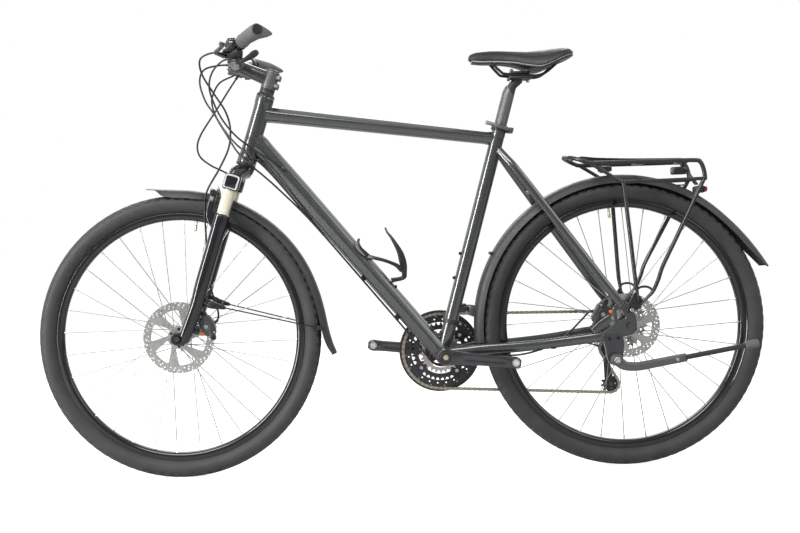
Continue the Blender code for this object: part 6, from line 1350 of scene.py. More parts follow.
# Seat post: turned tube with marks, a swept neck and the clamp blocks
def makePost():
    foot = atSeat(0, 0, 0)
    tubeShape = turned([(0, seat["postBottom"]), (0.015, seat["postBottom"]),
        (seat["postRadius"], seat["postBottom"] + 0.001), (seat["postRadius"], seat["postTop"] - 0.02),
        (0.0148, seat["postTop"] - 0.012), (0.012, seat["postTop"] - 0.003), (0, seat["postTop"])], foot,
        seatUp, 72)
    marks = [turned([(0.01575, a), (0.01592, a + 0.0001), (0.01592, a + 0.0005), (0.01575, a + 0.0006)], foot,
        seatUp, 64, True) for a in np.arange(0.65, 0.686, 0.01)]
    neck = carried(smooth(fromPost(np.array([-0.003, 0.004, 0.0142, 0.02]),
        np.array([-0.02, -0.002, 0.009, 0.0165])), 6),
        ring(40, np.full(19, 0.015), np.interp(np.arange(19), [0, 9, 18], [0.0125, 0.011, 0.014]), 2.8),
        (0, 1, 0))
    clamps = [block(fromPost(0.0242, 0.019), (0.058, 0.056, 0.01), ease=0.003, power=3.4),
        block(fromPost(0.0242, 0.032), (0.05, 0.048, 0.0085), ease=0.003, power=3.4)]
    bolts = []
    for back in (-0.021, 0.021):
        spot = fromPost(0.0242 + back, 0.0)
        bolts += [rod(spot + [0, 0, 0.008], spot + [0, 0, 0.0425], 0.003, 20),
            rod(spot + [0, 0, 0.008], spot + [0, 0, 0.014], 0.0048, 28),
            rod(spot + [0, -0.009, 0.0385], spot + [0, 0.009, 0.0385], 0.0046, 24)]
    makePiece("seatPostAndHead", "seat",
        [(mat["postGrey"], [tubeShape] + marks), (mat["satinBlack"], [neck] + clamps),
        (mat["brushedSteel"], bolts)], ("seat_post",), 38)


# Saddle rails: a round bar along one line, mirrored, with its sockets
def makeRails():
    line = np.array([(0.1302, 0.07, 0.036), (0.1262, 0.0625, 0.036), (0.1162, 0.0535, 0.035),
        (0.0862, 0.029, 0.028), (0.0642, 0.022, 0.0225), (0.04, 0.0245, 0.022), (0.0242, 0.0255, 0.022),
        (-0.0158, 0.0285, 0.022), (-0.0288, 0.0365, 0.0205), (-0.0598, 0.0705, 0.012),
        (-0.0658, 0.0765, 0.005)])
    bar = tube(smooth(fromPost(line[:, 0], line[:, 1], line[:, 2]), 7), 0.0035, 20)
    ends = tube(fromPost(np.array([-0.0655] * 3), np.array([0.075] * 3), np.array([0.0052, 0.0, -0.0052])),
        0.0034, 16)
    sockets = [block(fromPost(0.1262, 0.069, way * 0.036), (0.022, 0.015, 0.012), ease=0.003) for way in (1,
        -1)]
    makePiece("saddleRails", "seat", [(mat["blackSteel"], [bar, mirrored(bar), ends]),
        (mat["saddleShell"], sockets)], ("saddle_rails",), 40)


saddleStations = np.array([(0.0, 0.01, 0.6945, 0.685), (0.007, 0.0175, 0.701, 0.6815),
    (0.032, 0.021, 0.7065, 0.679), (0.072, 0.025, 0.7075, 0.6775), (0.112, 0.034, 0.7045, 0.673),
    (0.147, 0.05, 0.7025, 0.664), (0.177, 0.066, 0.7035, 0.659), (0.205, 0.0745, 0.706, 0.668),
    (0.232, 0.075, 0.708, 0.68), (0.25, 0.064, 0.706, 0.686), (0.26, 0.042, 0.7, 0.69)])


# Saddle cover: across each station the top falls off as (1 - share ^ 2.4) ^ 0.62 from its crown to its edge,
# less a channel exp(-(share / 0.17) ^ 2); inset shrinks it all round
def saddleShape(inset, channel):
    st = smooth(saddleStations, 8)
    share = np.linspace(-1, 1, 41)
    half = np.maximum(st[:, 1] - inset, 0.003)[:, None]
    fall = np.maximum(0, 1 - np.abs(share) ** 2.4) ** 0.62
    groove = channel * np.exp(-(share / 0.17) ** 2) * np.interp(st[:, 0] / 0.26, [0.08, 0.25, 0.8, 0.95],
        [0, 1, 1, 0])[:, None]
    edge = st[:, 3, None] + inset * 0.4
    top = edge + (st[:, 2] - st[:, 3] - inset)[:, None] * fall - groove
    sideways = np.concatenate([half * share, (half * share[1:-1])[:, ::-1]], 1)
    height = np.concatenate([top, np.broadcast_to(edge - 0.0018, (len(st), 39))], 1)
    back = np.broadcast_to(seat["saddleBehind"] + st[:, 0, None], sideways.shape)
    return grid(at(back, height, sideways), True, False, True)


# Swells the cover: even skin, pressure from inside held by the cloth, and no swelling past mostSwell
def puffSaddle(piece):
    bpy.context.view_layer.objects.active = piece
    piece.select_set(True)
    piece.data.remesh_voxel_size = seat["voxel"]
    bpy.ops.object.voxel_remesh()
    count = len(piece.data.vertices)
    start = np.empty(count * 3)
    piece.data.vertices.foreach_get("co", start)
    start = start.reshape(-1, 3)
    edge = np.interp(at(0, 0)[0] - start[:, 0] - seat["saddleBehind"], saddleStations[:, 0],
        saddleStations[:, 3]) + at(0, 0)[2]
    hold = piece.vertex_groups.new(name="edge")
    hold.add(np.nonzero(start[:, 2] < edge + 0.002)[0].tolist(), 1.0, "REPLACE")
    cloth = piece.modifiers.new("stuffing", "CLOTH")
    cloth.settings.quality = 6
    cloth.settings.mass = 0.25
    cloth.settings.tension_stiffness = cloth.settings.compression_stiffness = 40
    cloth.settings.bending_stiffness = 6
    cloth.settings.use_pressure = True
    cloth.settings.uniform_pressure_force = seat["fill"]
    cloth.settings.vertex_group_mass = "edge"
    cloth.settings.effector_weights.gravity = 0
    cloth.point_cache.frame_start, cloth.point_cache.frame_end = 1, 20
    for step in range(1, 21):
        bpy.context.scene.frame_set(step)
    moved = np.empty(count * 3)
    piece.evaluated_get(bpy.context.evaluated_depsgraph_get()).data.vertices.foreach_get("co", moved)
    move = moved.reshape(-1, 3) - start
    length = np.linalg.norm(move, axis=1)
    move *= (np.minimum(length, seat["mostSwell"]) / np.maximum(length, 1e-9))[:, None]
    piece.modifiers.remove(cloth)
    bpy.context.scene.frame_set(1)
    piece.data.vertices.foreach_set("co", (start + move).ravel())
    piece.data.polygons.foreach_set("use_smooth", np.ones(len(piece.data.polygons), bool))
    piece.data.update()
    print("saddle swelled by up to", round(float(length.max()) * 1000, 1), "mm")


# Saddle: padded cover, hard tray below and seams laid on the cover
def makeSaddle():
    cover = makePiece("saddleCover", "seat",
        [(mat["saddleVinyl"], [saddleShape(0.0022, 0.0034)])], ("saddle",), 60)
    puffSaddle(cover)
    finer = cover.modifiers.new("finer", "SUBSURF")
    finer.levels = finer.render_levels = 1
    st = smooth(saddleStations[1:], 6)
    turn = np.linspace(0, tau, 40, endpoint=False)
    rim = []
    for inset, low, high in ((0.0008, -0.0045, 0.0006), (0.004, -0.0075, -0.004)):
        half = st[:, 1, None] - inset
        sideways = half * np.sign(np.cos(turn)) * np.abs(np.cos(turn)) ** 0.35
        height = st[:, 3, None] + (low + high) / 2 + (high - low) / 2 * np.sin(turn)
        back = np.broadcast_to(seat["saddleBehind"] + st[:, 0, None], sideways.shape)
        rim.append(grid(at(back, height, sideways), True, False, True))
    makePiece("saddleTray", "seat",
        [(mat["saddleShell"], rim[:1]), (mat["stripPlastic"], rim[1:])], (), 60)
    seams = []
    for way in (1, -1):
        path = []
        for onward, half, top, edge in smooth(saddleStations[2:-1], 6):
            spot = at(seat["saddleBehind"] + onward, top - 0.32 * (top - edge), way * half * 0.9)
            _, place, normal, _ = cover.closest_point_on_mesh(tuple(spot))
            path.append(np.array(place) + np.array(normal) * 0.0004)
        seams.append(tube(np.array(path), 0.0007, 8))
    makePiece("saddleSeams", "seat", [(mat["satinBlack"], seams)], (), 60)


# Quick-release collar round the top of the seat tube, with its ears, bolt, nut and lever
def makeCollar():
    spot = atSeat(0, 0, seat["collar"])
    ringShape = turned(rounded([(0.0176, -0.0078), (0.0208, -0.0078), (0.0214, -0.0068), (0.0214, 0.0068),
        (0.0208, 0.0078), (0.016, 0.0078), (0.016, 0.0066), (0.0176, 0.006)], 0.0004, 2), spot, seatUp, 72,
        True)
    groove = turned([(0.02135, -0.001), (0.0217, -0.0006), (0.0217, 0.0006), (0.02135, 0.001)], spot, seatUp,
        64, True)
    ears = [block(spot + seatBack * 0.025 + leftWay * way * 0.0042, (0.012, 0.0058, 0.014),
        (seatBack, leftWay, seatUp), 0.0018, 3.4) for way in (1, -1)]
    bolt = rod(spot + seatBack * 0.028 - leftWay * 0.006, spot + seatBack * 0.028 + leftWay * 0.007, 0.0032,
        20)
    nut = turned(rounded([(0, -0.0132), (0.0052, -0.0132), (0.0066, -0.012), (0.0066, -0.0072), (0, -0.0072)],
        0.0006, 2), spot + seatBack * 0.028, leftWay, 32)
    makePiece("seatCollar", "frame",
        [(mat["satinBlack"], [ringShape] + ears), (mat["darkAlloy"], [groove, nut]), (mat["steel"], [bolt])],
        ("seat_clamp",), 38)
    line = smooth(np.array([(0.03, 0.013, 0.0), (0.022, 0.02, 0.0), (0.014, 0.0258, 0.0),
        (-0.004, 0.0285, 0.001), (-0.024, 0.024, 0.003), (-0.036, 0.019, 0.0038), (-0.04, 0.0165, 0.004)]), 7)
    blade = carried(atSeat(line[:, 0], line[:, 1], seat["collar"] + line[:, 2]),
        ring(28, np.full(len(line), 0.0019), np.interp(np.linspace(0, 1, len(line)), [0, 0.1, 0.5, 0.9, 1],
        [0.0035, 0.0046, 0.0044, 0.0054, 0.0036]), 3.0), leftWay)
    barrel = rod(atSeat(0.028, 0.013, seat["collar"] - 0.007), atSeat(0.028, 0.013, seat["collar"] + 0.007),
        0.0056, 32)
    makePiece("seatClampLever", "seat_lever", [(mat["postGrey"], [blade, barrel])],
        ("seat_clamp_lever",), 40)


makePost()
makeRails()
makeSaddle()
makeCollar()
print("seat ready")

# Drive: sides are measured to the left of the middle, so the chain's side is negative
drive = {"pitch": 0.0127, "links": 118, "rings": (48, 36, 26), "ringSides": (-0.0575, -0.05, -0.0425),
    "openings": (0.0755, 0.0575, 0.0405), "cog": 13, "cogs": (11, 13, 15, 17, 19, 21, 23, 26, 30, 34),
    "cogSide": -0.059, "cogPitch": 0.00395, "pulley": 11, "guide": (0.024, 0.07), "cageReach": 0.093,
    "phase": 6.0, "crank": 0.175, "crankSide": 0.0715, "toothWidth": 0.0017, "bendFrom": 0.004,
    "bendTo": 0.066}
bracketBehind, bracketAbove = at(0, 0)[0] - bracket[0], bracket[2] - at(0, 0)[2]


# Pitch radius of a wheel = pitch / 2 / sin(pi / teeth)
def pitchRadius(teeth):
    return drive["pitch"] / 2 / math.sin(math.pi / teeth)


# The chain's way: arcs on each wheel, joined by the straight lines that touch both
# (x forward, z up, from the front axle)
def chainWheels(cage):
    x, z = -(bike["wheelbase"] - drive["guide"][0]), -drive["guide"][1]
    reach, small = drive["cageReach"], pitchRadius(drive["pulley"])
    return [(-bracketBehind, bracketAbove, pitchRadius(drive["rings"][0]), 1, drive["rings"][0],
        drive["ringSides"][0]), (x - reach * math.sin(cage), z - reach * math.cos(cage), small, 1,
        drive["pulley"], drive["cogSide"]), (x, z, small, -1, drive["pulley"], drive["cogSide"]),
        (-bike["wheelbase"], 0.0, pitchRadius(drive["cog"]), 1, drive["cog"], drive["cogSide"])]


# Arcs and tangents in turn: tangent heading = way between centres - asin((r0 s0 - r1 s1) / distance)
def chainRuns(cage):
    wheels = chainWheels(cage)
    heading = []
    for i, (x0, z0, r0, s0, _, _) in enumerate(wheels):
        x1, z1, r1, s1 = wheels[(i + 1) % 4][:4]
        heading.append(math.atan2(z1 - z0, x1 - x0) - math.asin((r0 * s0 - r1 * s1) / math.hypot(x1 - x0,
            z1 - z0)))
    runs = []
    for i, (x0, z0, r0, s0, teeth, y0) in enumerate(wheels):
        x1, z1, r1, s1, _, y1 = wheels[(i + 1) % 4]
        arrive, leave = heading[i - 1] + s0 * math.pi / 2, heading[i] + s0 * math.pi / 2
        turn = ((arrive - leave) * s0) % tau
        runs.append((turn * teeth * drive["pitch"] / tau, lambda t, a=arrive, w=(x0, z0, r0, s0), n=turn,
            y=y0: np.stack([w[0] + w[2] * np.cos(a - w[3] * n * t), w[1] + w[2] * np.sin(a - w[3] * n * t),
            y + 0 * t], -1), arrive, turn))
        nextArrive = heading[i] + s1 * math.pi / 2
        start = np.array([x0 + r0 * math.cos(leave), z0 + r0 * math.sin(leave), y0])
        end = np.array([x1 + r1 * math.cos(nextArrive), z1 + r1 * math.sin(nextArrive), y1])
        runs.append((math.dist(start[:2], end[:2]), lambda t, a=start, b=end: a + (b - a) * t[:, None], 0.0,
            0.0))
    return runs


def restingCage():  # the cage swings until the chain is a whole number of links long
    low, high, wanted = math.radians(-60), math.radians(75), drive["links"] * drive["pitch"]
    length = lambda cage: sum(run[0] for run in chainRuns(cage))
    rising = length(high) > length(low)
    for _ in range(60):
        middle = (low + high) / 2
        low, high = (middle, high) if (length(middle) < wanted) == rising else (low, middle)
    return (low + high) / 2


cageAngle = restingCage()
runsNow = chainRuns(cageAngle)
wheelsNow = chainWheels(cageAngle)


# Angle of the first tooth gap on a wheel: the first pin past the start of its arc
def gapAngle(wheelNumber):
    start = sum(run[0] for run in runsNow[:2 * wheelNumber])
    length, _, arrive, turn = runsNow[2 * wheelNumber]
    past = math.ceil(start / drive["pitch"] - 1e-6) * drive["pitch"] - start
    return arrive - wheelsNow[wheelNumber][3] * turn * past / length


# Pins at each whole pitch along the arcs and tangents
def chainPins():
    wanted, start, found = np.arange(drive["links"]) * drive["pitch"], 0.0, []
    for length, point, _, _ in runsNow:
        inside = wanted[(wanted >= start - 1e-9) & (wanted < start + length - 1e-9)]
        if len(inside):
            found.append(point((inside - start) / length))
        start += length
    pins = np.vstack(found)
    return at(-pins[:, 0], pins[:, 1], pins[:, 2])


# Chain: outer and inner plates as one outline per link, and pins and rollers as short prisms
def makeChain():
    pins = chainPins()
    ahead = np.roll(pins, -1, 0) - pins
    reach = np.linalg.norm(ahead, axis=1)
    ahead /= reach[:, None]
    up = np.cross(leftWay, ahead)
    up /= np.linalg.norm(up, axis=1)[:, None]
    side = np.cross(ahead, up)
    a = np.radians([60, 105, 150, 180, 210, 255, 300])
    one = np.stack([np.cos(a) * 0.0042, np.sin(a) * 0.0042], -1)
    share = np.concatenate([[0.5], np.zeros(7), [0.5], np.ones(7)])
    onward = np.concatenate([[0.0], one[:, 0], [0.0], -one[::-1, 0]])
    height = np.concatenate([[0.003], one[:, 1], [-0.003], one[::-1, 1]])
    plates, pinShapes = [], []
    count = len(share)
    for way in (1, -1):
        outside = np.where(np.arange(len(pins)) % 2 == 0, 0.00315, 0.00215)
        middle = pins[:, None] + ahead[:, None] * (share * reach[:, None] + onward)[..., None] + up[:,
            None] * height[:, None]
        layers = [middle + side[:, None] * (way * (outside + t))[:, None, None] for t in (-0.00045, 0.00045)]
        points = np.stack(layers, 1).reshape(-1, 3)
        base = (np.arange(len(pins)) * 2 * count)[:, None]
        i = np.arange(count)
        j = (i + 1) % count
        quads = np.stack([base + i, base + j, base + count + j, base + count + i], -1).reshape(-1, 4)
        fan = np.arange(1, count - 1)
        tris = np.concatenate([np.stack([base + 0 * fan + s, base + fan + s, base + fan + 1 + s],
            -1).reshape(-1, 3) for s in (0, count)])
        plates.append(shape(points, quads, tris))
    a = np.arange(8) / 8 * tau
    for radius, half in ((0.0018, 0.0041), (0.0038, 0.0016)):
        circlePoints = np.cos(a)[:, None] * ahead[:, None] + np.sin(a)[:, None] * up[:, None]
        points = pins[:, None, None] + radius * circlePoints[:,
            None] + (np.array([-half, half])[:, None, None] * side[:, None, None])
        base = (np.arange(len(pins)) * 16)[:, None]
        i, j = np.arange(8), (np.arange(8) + 1) % 8
        quads = np.stack([base + i, base + j, base + 8 + j, base + 8 + i], -1).reshape(-1, 4)
        fan = np.arange(1, 7)
        tris = np.concatenate([np.stack([base + 0 * fan + s, base + fan + s, base + fan + 1 + s],
            -1).reshape(-1, 3) for s in (0, 8)])
        pinShapes.append(shape(points.reshape(-1, 3), quads, tris))
    piece = makePiece("chainLinks", None,
        [(mat["chainSteel"], plates), (mat["brushedSteel"], pinShapes)], ("chain",), 30)
    guideCentre = at(bike["wheelbase"] - drive["guide"][0], -drive["guide"][1], drive["cogSide"])
    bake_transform(piece)


# Teeth: each gap is a round seat, and between the gaps a tooth rises to a narrow tip
def toothOutline(behind, above, teeth, phase, tall=0.0036):
    radius, step = pitchRadius(teeth), tau / teeth
    share = np.array([-0.5, -0.44, -0.36, -0.27, -0.17, 0.0, 0.17, 0.27, 0.36, 0.44])
    rise = np.array([1.0, 0.93, 0.42, -0.25, -0.82, -1.0, -0.82, -0.25, 0.42, 0.93])
    angle = (phase + np.arange(teeth)[:, None] * step + share * step).ravel()
    out = radius + np.tile(np.where(rise > 0, rise * tall, rise * 0.0042), teeth)
    return np.stack([behind - out * np.cos(angle), above + out * np.sin(angle)], -1)


# a round hole with tabs left in it for the bolts
def opening(behind, above, radius, tabs, start, reach=0.012, width=0.17):
    a = np.arange(240) / 240 * tau
    near = np.abs((a - start + tau / tabs / 2) % (tau / tabs) - tau / tabs / 2)
    r = radius - reach / (1 + np.exp((near - width) * 60))
    return np.stack([behind - r * np.cos(a), above + r * np.sin(a)], -1)


# Chainrings with their arms and guard, on the crank's axis
def makeRings():
    arms = math.radians(drive["phase"]) + math.pi / 4
    b, z = bracketBehind, bracketAbove
    rings, pins = [], []
    for number, (teeth, side, hole) in enumerate(zip(drive["rings"], drive["ringSides"], drive["openings"])):
        phase = gapAngle(0) if number == 0 else 0.13 * number
        cut = [opening(b, z, hole, 4, arms, (0.016, 0.013, 0.0085)[number], (0.17, 0.2, 0.3)[number])]
        if number == 0:
            for k in range(24):
                if k % 6:
                    t = arms + k * tau / 24
                    cut.append(circle(b - 0.0835 * math.cos(t), z + 0.0835 * math.sin(t), 0.0021, 12))
        rings.append(plate([toothOutline(b, z, teeth, phase)] + cut, side, drive["toothWidth"], 0.0002))
    for k in range(16):
        t = arms + (k + 0.5) * tau / 16
        spot = bracket + np.array([math.cos(t), 0,
            math.sin(t)]) * 0.0905 + leftWay * (drive["ringSides"][0] + 0.0006)
        pins.append(rod(spot, spot + leftWay * 0.0012, 0.0016, 12, 0.0002))
    guard = plate([circle(b, z, 0.1062, 160), circle(b, z, 0.094, 160)], -0.0655, 0.0013, 0.0003)
    posts, bolts = [], []
    for k in range(4):
        t = arms + k * math.pi / 2
        out = np.array([math.cos(t), 0, math.sin(t)])
        across = np.cross(out, leftWay)
        path = bracket + out * np.linspace(0.018, 0.0985, 14)[:,
            None] + leftWay * np.interp(np.linspace(0, 1, 14), [0, 0.3, 0.62, 1],
            [-0.0615, -0.062, -0.0622, -0.064])[:, None]
        wide = np.interp(np.linspace(0, 1, 14), [0, 0.3, 0.62, 0.75, 1],
            [0.0125, 0.0085, 0.008, 0.0045, 0.0036])
        posts.append(carried(path,
            ring(28, wide, np.interp(np.linspace(0, 1, 14), [0, 0.6, 0.75, 1],
            [0.0032, 0.0028, 0.0012, 0.0008]), 3.4), across))
        for radius, low, high in ((0.0655, -0.0655, -0.048), (0.0465, -0.0512, -0.041),
                (0.035, -0.05, -0.0405)):
            spot = bracket + out * radius
            bolts.append(rod(spot + leftWay * low, spot + leftWay * high, 0.0046 if radius > 0.06 else 0.0036,
                24))
    makePiece("largeRingAndGuard", "crankset",
        [(mat["satinBlack"], rings[:1] + [guard]), (mat["brushedSteel"], pins)], ("large_chainring",), 30)
    makePiece("innerRings", "crankset",
        [(mat["satinBlack"], rings[1:2] + posts), (mat["ringSteel"], rings[2:]),
        (mat["brushedSteel"], bolts)], ("inner_chainrings",), 30)


# Crank arm: half width by share of its length, on a line that swings outwards with share^1.2
def armShape(way, forward):
    turn = math.radians(drive["phase"]) + (0 if forward else math.pi)
    out = np.array([math.cos(turn), 0, math.sin(turn)])
    across = np.cross(out, leftWay)
    share = np.array([-0.075, -0.05, 0.0, 0.06, 0.14, 0.3, 0.5, 0.75, 0.9, 0.97, 1.0, 1.045, 1.075])
    half = np.array([0.013, 0.0175, 0.0205, 0.02, 0.018, 0.0158, 0.0146, 0.0138, 0.014, 0.0148, 0.015, 0.0125,
        0.0085])
    line = smooth(np.stack([share, half], -1), 6)
    side = drive["crankSide"] + 0.006 * np.clip(line[:, 0], 0, 1) ** 1.2
    path = bracket + out * (line[:, 0] * drive["crank"])[:, None] + leftWay * (way * side)[:, None]
    thick = np.interp(line[:, 0], [-0.08, 0.0, 0.2, 1.0, 1.08], [0.0058, 0.007, 0.0066, 0.0066, 0.0055])
    s = ring(48, line[:, 1], thick, 3.2)
    dip = 0.0014 * np.exp(-((s[..., 0] / line[:, 1, None]) / 0.45) ** 2) * np.interp(line[:, 0],
        [0.2, 0.35, 0.8, 0.9], [0, 1, 1, 0])[:, None]
    facing = (s[..., 1] * way * (1 if forward else -1) > 0) if way > 0 else (s[...,
        1] * (1 if forward else -1) < 0)
    return path, s, dip, facing, out, across


# Both crank arms, half a turn apart, with the bolts and pinch screws
def makeCranks():
    for way, forward, name in ((-1, True, "crankRight"), (1, False, "crankLeft")):
        path, s, dip, _, out, across = armShape(way, forward)
        section = s.copy()
        section[..., 1] -= np.sign(s[..., 1]) * dip
        arm = carried(path, section, across)
        end = bracket + out * drive["crank"] + leftWay * (way * (drive["crankSide"] + 0.006))
        lip = [turned([(0.0064, 0.0062), (0.0096, 0.0062), (0.01, 0.0068), (0.0098, 0.0074), (0.0072, 0.0074),
            (0.0064, 0.0066)], end, leftWay * sense, 40, True) for sense in (1, -1)]
        hole = rod(end - leftWay * 0.0072, end + leftWay * 0.0072, 0.0068, 32, 0.0002)
        if way > 0:
            hub = turned(rounded([(0, 0.0475), (0.0198, 0.0475), (0.0205, 0.049), (0.0205, 0.078),
                (0.0192, 0.0795), (0.0165, 0.0798), (0.016, 0.0785), (0, 0.0785)], 0.0008, 3), bracket,
                leftWay, 80)
            cap = turned(rounded([(0, 0.0784), (0.015, 0.0784), (0.0152, 0.0798), (0.014, 0.0806),
                (0.008, 0.0808), (0.0074, 0.0796), (0, 0.0796)], 0.0004, 2), bracket, leftWay, 64)
            centre = turned([(0, 0.0797), (0.007, 0.0797), (0.007, 0.0802), (0.0046, 0.0803),
                (0.0044, 0.0798), (0, 0.0798)], bracket, leftWay, 6)
            pinch = [rod(bracket + out * 0.024 + across * gap + leftWay * 0.06,
                bracket + out * 0.024 + across * gap + leftWay * 0.066, 0.003, 20) for gap in (-0.012, 0.012)]
            parts = [(mat["crankGrey"], [arm, hub]), (mat["satinBlack"], [cap] + pinch),
                (mat["brass"], [centre])]
        else:
            hub = turned(rounded([(0, -0.0505), (0.021, -0.0505), (0.0218, -0.052), (0.0218, -0.078),
                (0.02, -0.0795), (0.014, -0.08), (0.0132, -0.0785), (0, -0.0785)], 0.0008, 3), bracket,
                leftWay, 80)
            spindle = rod(bracket - leftWay * 0.06, bracket + leftWay * 0.0775, 0.0118, 48)
            parts = [(mat["crankGrey"], [arm, hub]), (mat["brushedSteel"], [spindle])]
        parts.append((mat["brushedSteel"], lip))
        parts.append((mat["paleFaceAndPaintedSheen"], [hole]))
        makePiece(name, "crankset", parts, ("crank_right" if way < 0 else "crank_left",), 40)


# Cassette: a toothed plate for each cog, set inwards by the cog pitch, with spacers between
def makeCassette():
    shapes, spacers = [], []
    b = bike["wheelbase"]
    for index, teeth in enumerate(drive["cogs"]):
        side = drive["cogSide"] + (index - 1) * drive["cogPitch"]
        phase = gapAngle(3) if teeth == drive["cog"] else 0.07 * index
        cut = [circle(b, 0, 0.0172, 40)]
        if teeth >= 19:
            inner, outer = 0.0215, pitchRadius(teeth) - 0.0085
            for k in range(6):
                a = np.linspace(-0.36, 0.36, 9) + k * tau / 6 + 0.05 * index
                low, high = np.stack([b - inner * np.cos(a), inner * np.sin(a)],
                    -1), np.stack([b - outer * np.cos(a), outer * np.sin(a)], -1)
                if outer > inner + 0.003:
                    cut.append(rounded(np.vstack([low, high[::-1]]), 0.001, 2, True))
        shapes.append(plate([toothOutline(b, 0, teeth, phase, 0.003)] + cut, side, drive["toothWidth"],
            0.0002))
    start, end = drive["cogSide"] - 1.4 * drive["cogPitch"], drive["cogSide"] + 9 * drive["cogPitch"]
    spacers.append(turned([(0.007, start), (0.0178, start), (0.0184, start + 0.001), (0.0184, end),
        (0.007, end)], rearAxle, leftWay, 48, True))
    lock = turned([(0.0075, start - 0.0012), (0.015, start - 0.0012), (0.0158, start - 0.0004),
        (0.0158, start + 0.001), (0.0075, start + 0.001)], rearAxle, leftWay, 48, True)
    makePiece("cassetteCogs", "sprockets",
        [(mat["sprocketSteel"], shapes), (mat["satinBlack"], spacers), (mat["brushedSteel"], [lock])],
        ("cassette",), 30)


# Centre of one wheel of the chain's way
def wheelPlace(number):
    x, z, _, _, _, side = wheelsNow[number]
    return at(-x, z, side)


